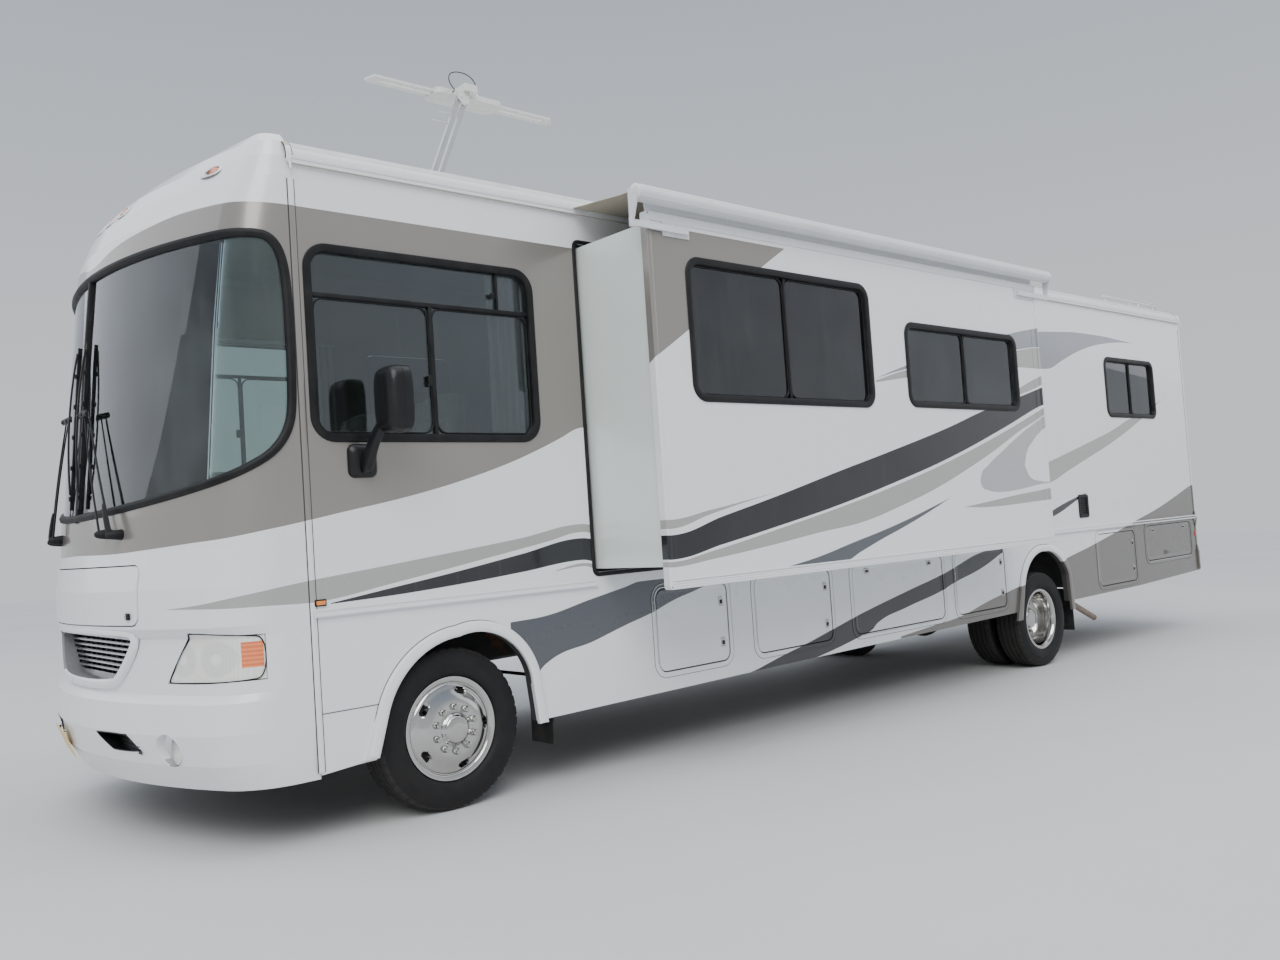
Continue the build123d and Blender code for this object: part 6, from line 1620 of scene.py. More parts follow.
b = Build()
loop, ups = face_loop([(-.646, 1.014), (-.436, .785), (.436, .785), (.646, 1.014)], 3)
b.sweep(loop, [Vector((0, -1, 0))] * len(loop), [(-.0020, -.105), (.0005, -.105), (.0010, .0060), (.0340, .0010), (.0440, -.0040), (.0445, .0050),
                            (.0360, .0170), (.0200, .0235), (.0050, .0225), (-.0040, .0130)], closed=True, mat=0)
piece("grille_surround", b, [gelcoat_hood], sharp=40)
b = Build()
b.prism([(-.655, 1.020), (-.440, .778), (.440, .778), (.655, 1.020)], "Y", -1.262, -1.256, mat=0)
for k in range(9):                                             # uprights behind the slats
    x = -.36 + .09 * k
    b.box((x - .004, -1.284, .790), (x + .004, -1.264, 1.010), .0015, mat=0)
for z in (.8215, .8485, .8755, .9025, .9295, .9565, .9835):    # rounded noses of the slats
    w = .415 + (z - .785) * .88 - .004
    b.sweep([(-w + 2 * w * k / 20, -1.2975, z) for k in range(21)], (0, -1, 0),
            [(-.0060, -.001), (.0060, -.001), (.0052, .0040), (.0020, .0068), (-.0020, .0068), (-.0052, .0040)], mat=1)
for y in (-1.2455,):
    for k in range(44):                                        # radiator fins
        x = -.43 + .02 * k
        b.box((x - .0006, y - .008, .800), (x + .0006, y + .004, 1.000), 0, mat=0)
piece("grille_inner", b, [black_trim, grille_bar], sharp=40)

# a thin dark ring round each headlamp: a seal, and partly a painted shade line of the lamp pocket
b = Build()
for side in (-1, 1):
    outline = [(1.000, 1.020), (1.2595, .9966), (1.2595, .7938), (.842, .787)]
    loop, ups = face_loop([(side * x, z) for x, z in outline], 3, .02, corner=.020)
    b.sweep(loop, ups, [(-.0035, -.0150), (.0005, -.0150), (.0008, .0004), (.0022, .0006), (.0020, .0016), (-.0022, .0016), (-.0035, -.0010)],
            closed=True, mat=0)
piece("headlamp_seal_shade_rings", b, [seal_rubber], sharp=40)

b = Build()
for side in (-1, 1):
    rim = [(side * .885 + .0785 * cos(2 * pi * k / 48), .490 + .0785 * sin(2 * pi * k / 48)) for k in range(48)]
    path = [(x, front_y(x, z), z) for x, z in rim]
    b.sweep(path, [cap_normal(p) for p in path], [(-.0032, -.004), (.0050, -.004), (.0050, .0004), (.0030, .0022), (.0005, .0026), (-.0022, .0016)], closed=True, mat=0)
    # bright bowl edge just inside the recess
    b.lathe([(-1.2120, .0735), (-1.2260, .0735), (-1.2280, .0700), (-1.2260, .0660), (-1.2120, .0655)], (side * .885, 0, .490), axis="Y", sides=48, mat=1)
piece("fog_lamp_rims", b, [gelcoat_hood, chrome], sharp=40)

b = Build()
for side in (-1, 1):
    pts = [(.295, .553), (.600, .556), (.684, .474), (.442, .470)]
    loop, ups = face_loop([(side * x, z) for x, z in pts], 3, .02, corner=.018)
    b.sweep(loop, [Vector((0, -1, 0))] * len(loop), [(-.0022, -.070), (.0006, -.070), (.0006, .0006), (.0030, .0008), (.0030, .0022), (-.0016, .0024)],
            closed=True, mat=1)
    b.prism([(side * x, z) for x, z in ((.280, .562), (.610, .566), (.700, .464), (.430, .460))], "Y", -1.345, -1.341, mat=1)
    for k in range(5):
        z = .480 + .018 * k
        b.box((side * .49 - .19, -1.352, z - .0018), (side * .49 + .19, -1.345, z + .0018), .0008, mat=1)
piece("air_intake_liners", b, [gelcoat_hood, black_trim], sharp=40)

b = Build()
# hood: pull latch low on the driver's side
y = front_y(.640, 1.100)
b.box((.618, y - .0150, 1.085), (.662, y - .0030, 1.118), .005, mat=0)
b.box((.632, y - .0215, 1.090), (.648, y - .0140, 1.112), .003, mat=1)
piece("hood_latch", b, [black_trim, chrome], "hood_door")

b = Build()
for x in (-.966, -.190, 0.0, .190, .966):                      # teardrop fairings of the roof lamps
    z = 3.187 if abs(x) > .5 else 3.165
    y = front_y(x, z)
    n = cap_normal((x if x else .001, y, z))
    side = Vector((0, 0, 1)).cross(n).normalized()
    up = n.cross(side)
    rows = []
    for grow, out in ((1.0, -.012), (1.0, .0040), (1.16, .0075), (1.36, .0055), (1.50, .0005)):
        rows.append([Vector((x, y, z)) + side * (.050 * grow * cos(a) + (.018 if abs(x) > .5 else 0) * (grow - 1) * (-1 if x > 0 else 1))
                     + up * (.0245 * grow * sin(a)) + n * out
                     for a in [2 * pi * k / 40 for k in range(40)]])
    b.grid(rows, closed=True)
piece("clearance_lamp_fairings", b, [gelcoat_hood], sharp=50)

b = Build()
for sx, y, z in ((1, -.700, 1.108), (-1, -.700, 1.108)):       # small side lamps on the seam
    b.box((sx * 1.2715 - .004, y - .030, z - .016), (sx * 1.2715 + .006, y + .030, z + .016), .003, mat=0)
    b.box((sx * 1.2780 - .004, y - .022, z - .010), (sx * 1.2780 + .007, y + .022, z + .010), .003, mat=1)
for sx in (-1, 1):                                             # rear corner reflectors
    b.box((sx * 1.2690 - .006, 9.395, .850), (sx * 1.2690 + .008, 9.415, .905), .003, mat=2)
amber_lens = Shader("amber_lens", rough=0.2, coat=0.5, subsurface=0.2)
amber_lens.color(amber_lens.mix(amber_lens.wave(amber_lens.at, 60.0, "Y"), (0.80, 0.20, 0.03), (0.95, 0.33, 0.06)))
amber_lens.bump(amber_lens.wave(amber_lens.at, 60.0, "Y"), .001, .5)
red_lens = Shader("red_lens", rough=0.2, coat=0.5, subsurface=0.2)
red_lens.color(red_lens.mix(red_lens.wave(red_lens.at, 60.0, "Z"), (0.40, 0.01, 0.01), (0.58, 0.03, 0.02)))
red_lens.bump(red_lens.wave(red_lens.at, 60.0, "Z"), .001, .5)
piece("side_marker_lamps", b, [black_trim, amber_lens, red_lens])

# ------------------------------------------------------------------ side vent, kerb-side vents
b = Build()
y0, y1, z0, z1 = 6.800, 6.980, 1.165, 1.375
for sx in (1,):
    ring(b, (y0, y1, z0, z1, .020), 1.270, [(-.030, .0004), (.004, .0004), (.004, .0060), (-.002, .0120), (-.024, .0120), (-.030, .0060)], steps=4)
    for k in range(8):
        z = z0 + .030 + .0215 * k
        b.box((1.2700, y0 + .022, z - .0020), (1.2800, y1 - .022, z + .0020), .001, turn=Matrix.Rotation(radians(24), 3, "Y"))
    b.box((1.2704, y0 + .020, z0 + .020), (1.2716, y1 - .020, z1 - .020), .0005)
piece("side_vent", b, [black_trim])
b = Build()
for y0, y1, z0, z1 in ((5.250, 5.680, 1.160, 1.560), (5.250, 5.680, 2.520, 2.700), (8.200, 8.560, 1.180, 1.520)):
    f = Build()
    ring(f, (y0, y1, z0, z1, .015), 1.270, [(-.020, .0004), (.006, .0004), (.006, .0040), (.0, .0085), (-.016, .0085), (-.020, .0050)], steps=4)
    n = int((z1 - z0 - .04) / .026)
    for k in range(n):
        z = z0 + .034 + .026 * k
        f.box((1.2702, y0 + .020, z - .0070), (1.2775, y1 - .020, z + .0070), .002, turn=Matrix.Rotation(radians(20), 3, "Y"))
    b.mirrored(f)
piece("appliance_vents", b, [white_old])


# ------------------------------------------------------------------ entry door and step
b = Build()
f = Build()
ring(f, (.946, 1.634, .776, 2.764, .036), 1.268, [(-.026, -.0010), (-.0006, -.0010), (-.0006, .0026), (-.006, .0050), (-.020, .0050), (-.026, .0026)], steps=5)
ring(f, (1.120, 1.460, 1.900, 2.500, .060), 1.268, [(-.012, -.018), (-.0012, -.018), (-.0012, .0004), (.026, .0004), (.027, .004), (.020, .008), (-.008, .008), (-.012, .003)], mat=1, steps=6)
rows = [[(x, 1.560 + (py - 1.560) * s, 1.700 + (pz - 1.700) * s) for py, pz in rounded(1.520, 1.600, 1.632, 1.768, .016, 4)]
        for x, s in ((1.2900, 1.0), (1.2925, 1.0), (1.2950, .94), (1.2935, .78))]
f.grid(rows, mat=1, closed=True)
f.cap(rows[-1], mat=1)
f.box((1.2930, 1.534, 1.655), (1.3010, 1.560, 1.745), .004, mat=1)
f.lathe([(1.2930, .009), (1.2965, .0085), (1.2970, .0005)], (0, 1.580, 1.735), axis="X", sides=18, mat=2)
f.lathe([(1.2930, .009), (1.2965, .0085), (1.2970, .0005)], (0, 1.580, 1.668), axis="X", sides=18, mat=2)
for z in (.98, 1.42, 2.56):
    f.box((1.2680, .9475, z - .045), (1.2712, .985, z + .045), .0012, mat=0)
    f.tube([(1.2700, .9430, z - .045), (1.2700, .9430, z + .045)], .0026, sides=12)
b.mirrored(f)
piece("entry_door_fittings", b, [grey_frame, black_trim, chrome], "entry_door", sharp=36)
b = Build()
f = Build()
ring(f, (.940, 1.640, .770, 2.770, .040), 1.270, [(.0065, .0004), (.040, .0004), (.040, .0022), (.030, .0040), (.014, .0042), (.0065, .0028)], steps=6)
# grab handle behind the door
grip = smooth_line([(1.2700, 1.745, 1.420), (1.3080, 1.745, 1.430), (1.3260, 1.745, 1.500), (1.3270, 1.745, 1.700),
                    (1.3260, 1.745, 1.900), (1.3080, 1.745, 1.970), (1.2700, 1.745, 1.980)], 6)
f.tube(grip, .0125, sides=16)
for z in (1.420, 1.980):
    f.lathe([(1.2704, .030), (1.2745, .029), (1.2775, .020), (1.2785, .0005)], (0, 1.745, z), axis="X", sides=24)
b.mirrored(f)
piece("entry_door_frame", b, [grey_frame], sharp=36)

b = Build()
for j in range(5):                                             # anti-slip strips and a bright nosing
    x = -1.235 + .055 * j
    b.sweep([(x, 1.000 + .580 * k / 20, .4252) for k in range(21)], (0, 0, 1), [(-.016, -.0005), (.016, -.0005), (.015, .0020), (-.015, .0020)], mat=0)
    for k in range(28):
        y = 1.010 + .0205 * k
        b.box((x - .013, y - .0035, .4270), (x + .013, y + .0035, .4290), .0006, mat=0)
b.tube([(-1.2600, .992 + .596 * k / 12, .4120) for k in range(13)], .0100, mat=1, sides=14)
piece("entry_step_treads", b, [seal_rubber, aluminium], "entry_step")

# ------------------------------------------------------------------ tail: window frame, lamp bezels, plate bracket
b = Build()
path = [(x, 9.525, z) for x, z in rounded(-.450, .450, 1.950, 2.600, .060 if True else 0, 7)]
b.sweep(path[::-1], (0, 1, 0), [(-.014, -.0192), (-.0012, -.0192), (-.0012, .0004), (.034, .0004), (.035, .004), (.030, .0092), (.004, .0108), (-.009, .0085), (-.014, .003)],
        closed=True)
piece("rear_window_frame", b, [black_trim], sharp=36)
b = Build()
for sx in (-1, 1):
    path = [(sx * x, 9.525, z) for x, z in rounded(.985, 1.135, .970, 1.390, .030, 5)]
    if sx > 0:
        path = path[::-1]
    b.sweep(path, (0, 1, 0), [(-.0005, .0004), (.0130, .0004), (.0125, .0060), (.0060, .0245), (-.0040, .0250), (-.0040, .0222), (-.0005, .0215)], closed=True)
    for z in (.988, 1.372):
        b.lathe([(9.5470, .006), (9.5500, .0055), (9.5510, .0005)], (sx * 1.060, 0, z), axis="Y", sides=14)
for x in (-.10, .10):                                          # plate bolts and lamp
    b.lathe([(9.5285, .0075), (9.5320, .0070), (9.5340, .0040), (9.5345, .0005)], (x, 0, .955), axis="Y", sides=14)
b.box((-.060, 9.5240, .985), (.060, 9.5480, 1.010), .005)
piece("tail_lamp_bezels", b, [chrome], sharp=40)
b = Build()
n0 = cap_normal((.337, front_y(-.337, .440), .440))
for x in (-.437, -.237):
    y = front_y(x, .505) - .013
    b.lathe([(y + .004, .0080), (y - .004, .0075), (y - .006, .0045), (y - .0065, .0005)], (x, 0, .500), axis="Y", sides=14)
piece("front_plate_bolts", b, [chrome])

# ------------------------------------------------------------------ roof: air conditioners, vents, rails
b = Build()
for y0 in (2.450, 6.650):
    rows = []
    base = [(-.352, 3.398), (-.360, 3.430), (-.356, 3.520), (-.340, 3.575), (-.300, 3.5985), (0, 3.6050)]
    # shroud: a lofted cover just over the block, open ribs at its back
    for yy, s, h in ((-.497, .80, .30), (-.495, .90, .62), (-.480, .965, .86), (-.440, 1.0, .97), (-.30, 1.0, 1.0), (.0, 1.0, 1.0),
                     (.30, 1.0, 1.0), (.44, 1.0, .985), (.480, .985, .93), (.495, .94, .78), (.498, .86, .52)):
        half = []
        for x, z in base:
            half.append((x * s, y0 + yy, 3.398 + (z - 3.398) * h))
        rows.append(half + [(-x, y, z) for x, y, z in half[-2::-1]])
    b.grid(rows, mat=0)
    b.cap(rows[0], mat=0)
    b.cap(rows[-1], mat=0, flip=True)
    for x in (-.24, -.16, -.08, 0.0, .08, .16, .24):           # raised ribs along the top
        b.sweep([(x, y0 - .36 + .70 * k / 10, 3.6005 + .0035 * (1 - (x / .3) ** 2)) for k in range(11)], (0, 0, 1),
                [(-.012, -.002), (.012, -.002), (.009, .007), (-.009, .007)], mat=0)
    for k in range(9):                                         # louvres on the rear face and sides
        z = 3.425 + .016 * k
        b.box((-.27, y0 + .4900, z - .0035), (.27, y0 + .5020, z + .0035), .0015, mat=1)
    for sx in (-1, 1):
        for k in range(12):
            yy = y0 + .06 + .028 * k
            b.box((sx * .3575 - .006, yy - .007, 3.425), (sx * .3575 + .006, yy + .007, 3.520), .002, mat=1)
piece("air_conditioner_shrouds", b, [white_old, black_trim], sharp=36)

b = Build()
for x, y in ((-.500, 4.500), (.450, 8.600)):                   # domed vent lids
    z0 = 3.352 - .040 * ((abs(x) - .2) / 1.175) ** 2 + .090
    rows = []
    for s, h in ((1.06, -.022), (1.065, .0), (1.05, .012), (.97, .020), (.80, .036), (.55, .048), (.28, .054), (.02, .056)):
        rows.append([(x + px * s, y + py * s, z0 + h) for px, py in rounded(-.200, .200, -.200, .200, .045, 5)])
    b.grid(rows, closed=True)
    for k in (-1, 1):
        b.box((x + k * .12 - .025, y - .232, z0 - .020), (x + k * .12 + .025, y - .205, z0 + .010), .004)
for k in range(8):                                             # fridge vent louvres
    z = 3.385 + .010 * k
    b.box((-.8570, 6.070, z - .002), (-.7030, 6.330, z + .002), .001)
b.lathe([(3.455, .075), (3.462, .078), (3.485, .070), (3.498, .045), (3.502, .0005)], (.850, 3.600, 0), axis="Z", sides=36)
for sx in (-1, 1):                                             # feet of the luggage rails
    for y in (8.130, 8.700, 9.280):
        b.lathe([(3.3195, .034), (3.3260, .033), (3.3330, .020), (3.3420, .0165), (3.3430, .0120)], (sx * 1.080, y, 0), axis="Z", sides=24)
    for y in (8.098, 9.312):
        b.lathe([(y - .004, .0005), (y - .003, .0105), (y, .0135), (y + .003, .0105), (y + .004, .0005)], (sx * 1.080, 0, 3.400), axis="Y", sides=18)
piece("roof_vent_lids", b, [white_old], sharp=40)

# ladder: rubber treads and feet
b = Build()
for k in range(9):
    z = .900 + .280 * k
    if z < 3.2:
        b.lathe([(-.110, .0110), (-.108, .0127), (.108, .0127), (.110, .0110)], (.790, 9.635, z), axis="X", sides=20, shape=lambda t, r, a, i, k: (t, r - (.001 if k % 4 == 0 else 0)))
for x in (.620, .960):
    for z in (.860, 1.700, 2.600):
        b.lathe([(9.5252, .030), (9.5290, .029), (9.5330, .018), (9.5360, .0125), (9.5360, .0100)], (x, 0, z), axis="Y", sides=24)
    b.lathe([(.756, .0005), (.756, .0110), (.760, .0127), (.790, .0127), (.792, .0120)], (x, 9.635, 0), axis="Z", sides=20)
piece("ladder_treads", b, [seal_rubber], sharp=40)

# patio awning: end castings, wound edge and arm ribs on the kerb side
b = Build()
for y, s in ((1.7040, -1), (7.0660, 1)):
    b.lathe([(y, .0005), (y, .040), (y + s * .006, .044), (y + s * .014, .036), (y + s * .018, .016), (y + s * .018, .0005)], (-1.345, 0, 3.080), axis="Y", sides=40)
spiral = []
for k in range(41):
    spiral.append((-1.345 - .0530, 1.760 + 5.250 * k / 40, 3.080 + .004 * sin(k * .9)))
b.sweep(spiral, (-1, 0, 0), [(-.022, -.001), (.022, -.001), (.022, .0010), (-.022, .0014)], mat=1)
for y in (1.7125, 7.0575):
    for x, w in ((-1.3150, .006), (-1.3150, -.006)):
        b.sweep([(x, y + w, 1.140 + 1.900 * k / 20) for k in range(21)], (-1, 0, 0), [(-.0030, -.001), (.0030, -.001), (.0020, .0030), (-.0020, .0030)])
    for z in (1.150, 1.700, 2.400, 3.020):
        b.box((-1.3190, y - .020, z - .025), (-1.3120, y + .020, z + .025), .004)
piece("patio_awning_fittings", b, [white_steel, patio_cloth], sharp=40)

# antenna: screws, pivot caps and a cable clip
b = Build()
for x, y in ((.560, .520), (.560, .900), (.630, .700), (.600, .560)):
    b.lathe([(4.0402, .0050), (4.0418, .0046), (4.0430, .0025), (4.0432, .0004)], (x, y, 0), axis="Z", sides=14)
b.lathe([(.7255, .0005), (.7255, .0085), (.7295, .0080), (.7310, .0060), (.7312, .0005)], (0, .616, 3.990), axis="X", sides=20)
b.lathe([(.7255, .0005), (.7255, .0085), (.7295, .0080), (.7310, .0060), (.7312, .0005)], (0, .648, 3.953), axis="X", sides=20)
b.lathe([(4.0402, .0110), (4.0440, .0100), (4.0500, .0060), (4.0560, .0048)], (.668, .766, 0), axis="Z", sides=20)
piece("antenna_fixings", b, [white_old], "antenna_head")

# ------------------------------------------------------------------ behind the glass
b = Build()
for k in range(34):                                            # blind in the galley window
    z = 2.065 + .0160 * k
    b.sweep([(1.8100, 3.350 + 1.360 * j / 6, z) for j in range(7)], (1, 0, .55), [(-.0075, -.0004), (.0075, -.0004), (.0060, .0010), (-.0060, .0010)])
b.box((1.7950, 3.345, 2.600), (1.8230, 4.715, 2.632), .004)
for y in (3.46, 3.80, 4.24, 4.60):
    b.tube([(1.8120, y, 2.060), (1.8120, y, 2.605)], .0008, sides=6)
blind_white = white_plastic("blind_slats", (0.84, 0.84, 0.81), (0.4, 0.55), 0.05)
piece("galley_window_blind", b, [blind_white], "slide_room")


def curtain(name, x, y0, y1, z0, z1, folds, depth, body="motorhome", side=1, along="Y"):
    """Hanging cloth in soft folds, tighter at its heading."""
    b = Build()
    nu, nv = folds * 10, 26
    rows = []
    for j in range(nv + 1):
        v = j / nv
        z = z1 + (z0 - z1) * v
        row = []
        for i in range(nu + 1):
            u = i / nu
            amp = depth * (.45 + .55 * min(1, v * 3)) * (1 + .25 * noise.noise(Vector((u * 5, v * 1.5, 3.1))))
            off = amp * sin(2 * pi * folds * u + .35 * sin(5 * v + u * 3)) + .004 * noise.noise(Vector((u * 20, v * 6, 7.7)))
            p = (side * (x + off), y0 + (y1 - y0) * u, z) if along == "Y" else (x + (y1 - y0) * u, side + off, z)
            row.append(p)
        rows.append(row)
    b.grid(rows)
    c = piece(name, b, [curtain_cloth], body, sharp=180)
    return c


curtain("cab_curtain_left", 1.170, .395, .640, 1.860, 2.800, 5, .020)
curtain("cab_curtain_right", 1.170, .395, .640, 1.860, 2.800, 5, .020, side=-1)
rail = Build()
for sx in (-1, 1):
    rail.box((sx * 1.190 - .030, -.640, 2.800), (sx * 1.190 + .014, .670, 2.822), .003)
piece("curtain_rails", rail, [white_trim])

# steering wheel: rounded rim over the flat blank, padded boss, three spokes
b = Build()
c = Vector((.480, -.490, 1.528))
axis = Vector((0, .86, .5)).normalized()
e1 = Vector((1, 0, 0))
e2 = axis.cross(e1)


def on_wheel(r, a, t):
    return c + e1 * r * cos(a) + e2 * r * sin(a) + axis * t


circle = [on_wheel(.2080, 2 * pi * k / 72, .012) for k in range(72)]
b.tube(circle, .0142, closed=True, sides=16)
rows = []
for r, t in ((.074, .0005), (.076, .010), (.072, .024), (.060, .032), (.040, .036), (.020, .037), (.001, .037)):
    rows.append([on_wheel(r, 2 * pi * k / 40, t) for k in range(40)])
b.grid(rows, closed=True)
for a0 in (0, pi, -pi / 2):
    path = [on_wheel(.055 + .145 * k / 10, a0, .020 - .008 * k / 10) for k in range(11)]
    b.sweep(path, tuple(axis), [(-.020, -.008), (.020, -.008), (.018, .006), (.008, .010), (-.008, .010), (-.018, .006)],
            scale=[1.15 - .35 * k / 10 for k in range(11)])
piece("steering_wheel_rim", b, [wheel_leather], "steering_wheel", ("steering_wheel",), sharp=50)

# dashboard: hood over the dials, dials, vents, glove box
b = Build()
hood = [[(.480 + .250 * cos(a), y, 1.497 + h * sin(a)) for a in [pi * k / 20 for k in range(21)]]
        for y, h in ((-.640, .052), (-.660, .070), (-.760, .080), (-.900, .060), (-.960, .020))]
b.grid(hood, mat=0)
for x, r in ((.390, .052), (.560, .052), (.475, .030)):
    b.lathe([(-.6520, .0005), (-.6520, r), (-.6480, r + .004), (-.6440, r + .003), (-.6440, r)], (x, 0, 1.478), axis="Y", sides=36, mat=1)
for x in (-.80, -.35, 0.0, .86):
    for k in range(5):
        b.box((x - .055, -.6120, 1.450 + .009 * k), (x + .055, -.6020, 1.453 + .009 * k), .001, mat=1)
b.box((-.620, -.6300, 1.350), (-.200, -.6200, 1.430), .006, mat=0)
piece("dashboard_fittings", b, [dash_plastic, black_trim], sharp=40)

# ------------------------------------------------------------------ cab seats
def puffed(name, lo, hi, crown, cap_move, materials, dent=None, channels=(), voxel=.011, fill=.65, lean=0.0, pivot=None):
    """A foam cushion: rounded block, remeshed, inflated by cloth simulation with its movement capped."""
    bm = bmesh.new()
    bmesh.ops.create_cube(bm, size=1)
    mid = Vector([(a + c) / 2 for a, c in zip(lo, hi)])
    size = Vector([c - a for a, c in zip(lo, hi)])
    bmesh.ops.subdivide_edges(bm, edges=bm.edges[:], cuts=5, use_grid_fill=True)
    for v in bm.verts:
        p = v.co * 2
        q = Vector((p.x * sqrt(1 - p.y * p.y / 9 - p.z * p.z / 9), p.y * sqrt(1 - p.x * p.x / 9 - p.z * p.z / 9),
                    p.z * sqrt(1 - p.x * p.x / 5 - p.y * p.y / 5 + p.x * p.x * p.y * p.y / 12) if crown else p.z))
        v.co = Vector((q.x * size.x / 2, q.y * size.y / 2, q.z * size.z / 2))
    bmesh.ops.bevel(bm, geom=[e for e in bm.edges if e.calc_face_angle(0) > .6], offset=.030, segments=3, profile=.6, affect="EDGES")
    mesh = bpy.data.meshes.new(name)
    bm.to_mesh(mesh)
    bm.free()
    obj = bpy.data.objects.new(name, mesh)
    bpy.context.scene.collection.objects.link(obj)
    mod = obj.modifiers.new("even", "REMESH")
    mod.mode = "VOXEL"
    mod.voxel_size = voxel
    bake_modifiers(obj)
    rest = [v.co.copy() for v in obj.data.vertices]
    cloth = obj.modifiers.new("cloth", "CLOTH")
    cloth.settings.use_pressure = True
    cloth.settings.uniform_pressure_force = 4
    cloth.settings.effector_weights.gravity = 0
    cloth.settings.quality = 4
    for f in range(1, 13):
        bpy.context.scene.frame_set(f)
    graph = bpy.context.evaluated_depsgraph_get()
    moved = [v.co.copy() for v in obj.evaluated_get(graph).data.vertices]
    obj.modifiers.clear()
    for v, a, m in zip(obj.data.vertices, rest, moved):
        d = m - a
        if d.length > cap_move:
            d = d.normalized() * cap_move
        v.co = a + d
    bpy.context.scene.frame_set(1)
    # sewn channels, piping grooves and the dent of use
    for v in obj.data.vertices:
        p = v.co
        top_share = max(0.0, min(1.0, p.z / (size.z / 2)))
        for kind, at, width, depth in channels:
            d = abs((p.x if kind == "x" else p.y) - at)
            v.co.z -= depth * math_exp(-(d / width) ** 2) * top_share
        if dent:
            v.co.z -= dent * math_exp(-((p.x / (size.x * .30)) ** 2 + (p.y / (size.y * .30)) ** 2)) * top_share
    sub = obj.modifiers.new("smooth", "SUBSURF")
    sub.levels = sub.render_levels = 1
    bake_modifiers(obj)
    for poly in obj.data.polygons:
        poly.use_smooth = True
    turn = Matrix.Translation(mid) @ Matrix.Rotation(lean, 4, "X")
    obj.data.transform(turn)
    for m in materials:
        obj.data.materials.append(m.mat)
    return obj


def math_exp(v):
    return 2.718281828 ** v


def bake_modifiers(obj):
    graph = bpy.context.evaluated_depsgraph_get()
    fresh = bpy.data.meshes.new_from_object(obj.evaluated_get(graph), depsgraph=graph)
    obj.modifiers.clear()
    obj.data = fresh


seat_base = puffed("seat_cushion_left", (-.262, -.272, -.070), (.262, .272, .070), True, .014, [beige_cloth], dent=.012,
                   channels=[("x", -.165, .010, .012), ("x", .165, .010, .012), ("y", -.02, .010, .008)])
seat_back = puffed("seat_back_left", (-.262, -.385, -.052), (.262, .385, .052), True, .012, [beige_cloth], dent=.006,
                   channels=[("x", -.165, .010, .012), ("x", .165, .010, .012), ("y", .20, .010, .014), ("y", -.14, .010, .008)])
arm_pad = puffed("seat_arm_left", (-.031, -.205, -.033), (.031, .205, .033), False, .006, [beige_cloth], voxel=.008)


def place(source, name, matrix):
    obj = bpy.data.objects.new(name, source.data.copy())
    bpy.context.scene.collection.objects.link(obj)
    obj.data.transform(BODY @ matrix)
    obj.data.name = name
    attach(obj, "motorhome")
    return obj


# the back leans: its length runs up the seat, its thickness along y
back_turn = Matrix.Rotation(radians(90 - 12), 4, "X")
for sx, label in ((1, "left"), (-1, "right")):
    x = sx * .500
    place(seat_base, f"cab_seat_cushion_{label}", Matrix.Translation((x, .118, 1.424)))
    place(seat_back, f"cab_seat_back_{label}", Matrix.Translation((x, .425, 1.862)) @ back_turn)
    for k, arm in ((1, "outer"), (-1, "inner")):
        place(arm_pad, f"cab_seat_{arm}_arm_{label}", Matrix.Translation((x + sx * k * .288, .200, 1.640)))
for source in (seat_base, seat_back, arm_pad):
    bpy.data.objects.remove(source)
b = Build()
for sx in (-1, 1):
    x = sx * .500
    rows = [[(x + (px - x) * s, .130 + (py - .130) * s, z) for px, py in rounded(x - .148, x + .148, -.038, .298, .030, 5)]
            for z, s in ((1.0402, 1.06), (1.052, 1.06), (1.062, .80), (1.300, .76), (1.318, 1.12), (1.338, 1.16))]
    b.grid(rows, closed=True)
    b.cap(rows[-1])
    b.box((x - .235, -.130, 1.334), (x + .235, .370, 1.352), .006)
    for k in (-1, 1):
        b.sweep([(x + k * .288, .372, 1.472), (x + k * .288, .374, 1.560), (x + k * .288, .360, 1.610)], (0, -1, 0),
                [(-.016, -.020), (.016, -.020), (.016, .020), (-.016, .020)])
        b.box((x + k * .262 - .022, .345, 1.470), (x + k * .262 + .022, .400, 1.500), .004)
piece("cab_seat_pedestals", b, [dash_plastic], stands_for=())
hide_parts("cab_seats")


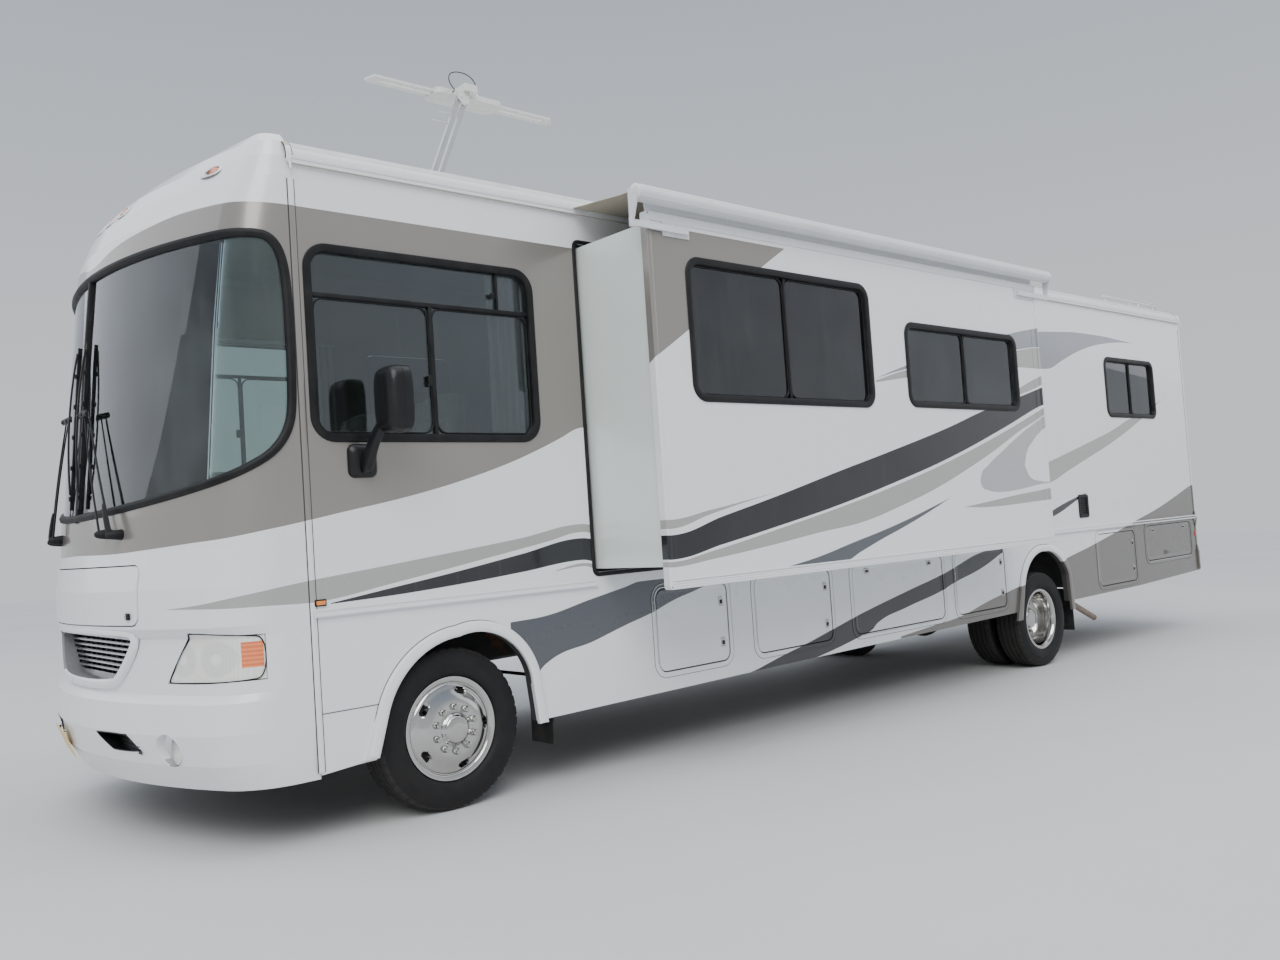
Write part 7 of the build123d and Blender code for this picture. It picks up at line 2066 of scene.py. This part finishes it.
# ------------------------------------------------------------------ floor, light
def studio_floor():
    b = Build()
    n = 24
    b.grid([[(-45 + 90 * i / n, -45 + 90 * j / n, 0.0) for i in range(n + 1)] for j in range(n + 1)], smooth=False)
    mesh = bpy.data.meshes.new("studio_floor")
    mesh.from_pydata(b.verts, [], b.faces)
    obj = bpy.data.objects.new("studio_floor", mesh)
    bpy.context.scene.collection.objects.link(obj)
    s = Shader("studio_floor_paint", rough=0.75)
    slow, fine = s.noise(s.row, 0.35, 3), s.noise(s.row, 60.0, 3)
    s.color(s.mix(s.span(slow, 0.3, 0.7), (0.60, 0.60, 0.595), (0.64, 0.64, 0.635)))
    s.bump(fine, 0.0006, 0.3)
    mesh.materials.append(s.mat)


studio_floor()


def softbox(name, place, aim, size, power, color=(1, 1, 1)):
    data = bpy.data.lights.new(name, "AREA")
    data.shape = "RECTANGLE"
    data.size, data.size_y = size
    data.energy = power
    data.color = color
    obj = bpy.data.objects.new(name, data)
    bpy.context.scene.collection.objects.link(obj)
    obj.location = place
    obj.rotation_euler = (Vector(aim) - Vector(place)).to_track_quat("-Z", "Y").to_euler()


def soft_sun(name, place, energy, spread, color=(1, 1, 1)):
    data = bpy.data.lights.new(name, "SUN")
    data.energy = energy
    data.angle = radians(spread)
    data.color = color
    obj = bpy.data.objects.new(name, data)
    bpy.context.scene.collection.objects.link(obj)
    obj.location = place
    obj.rotation_euler = (-Vector(place)).to_track_quat("-Z", "Y").to_euler()


soft_sun("key", (11.0, -9.0, 13.0), 2.1, 40, (1.0, 0.985, 0.96))
soft_sun("fill", (-13.0, -8.0, 10.0), 0.65, 60, (0.95, 0.97, 1.0))
soft_sun("back", (3.0, 16.0, 11.0), 0.5, 60, (0.97, 0.98, 1.0))
softbox("overhead", (2.0, -3.0, 12.0), (0.5, -1.5, 1.0), (14, 14), 900, (0.97, 0.985, 1.0))
world = bpy.data.worlds.new("studio")
bpy.context.scene.world = world
world.use_nodes = True
sky = Nodes(world.node_tree)
background = world.node_tree.nodes["Background"]
direction = sky.node("ShaderNodeTexCoord").outputs["Generated"]
wx, wy, wz = sky.split(direction)
tone = sky.mix(sky.ease(wz, 0.02, 0.80), (0.84, 0.87, 0.90), (0.42, 0.50, 0.63))
sky.put(background.inputs["Color"], tone)
background.inputs["Strength"].default_value = 0.88
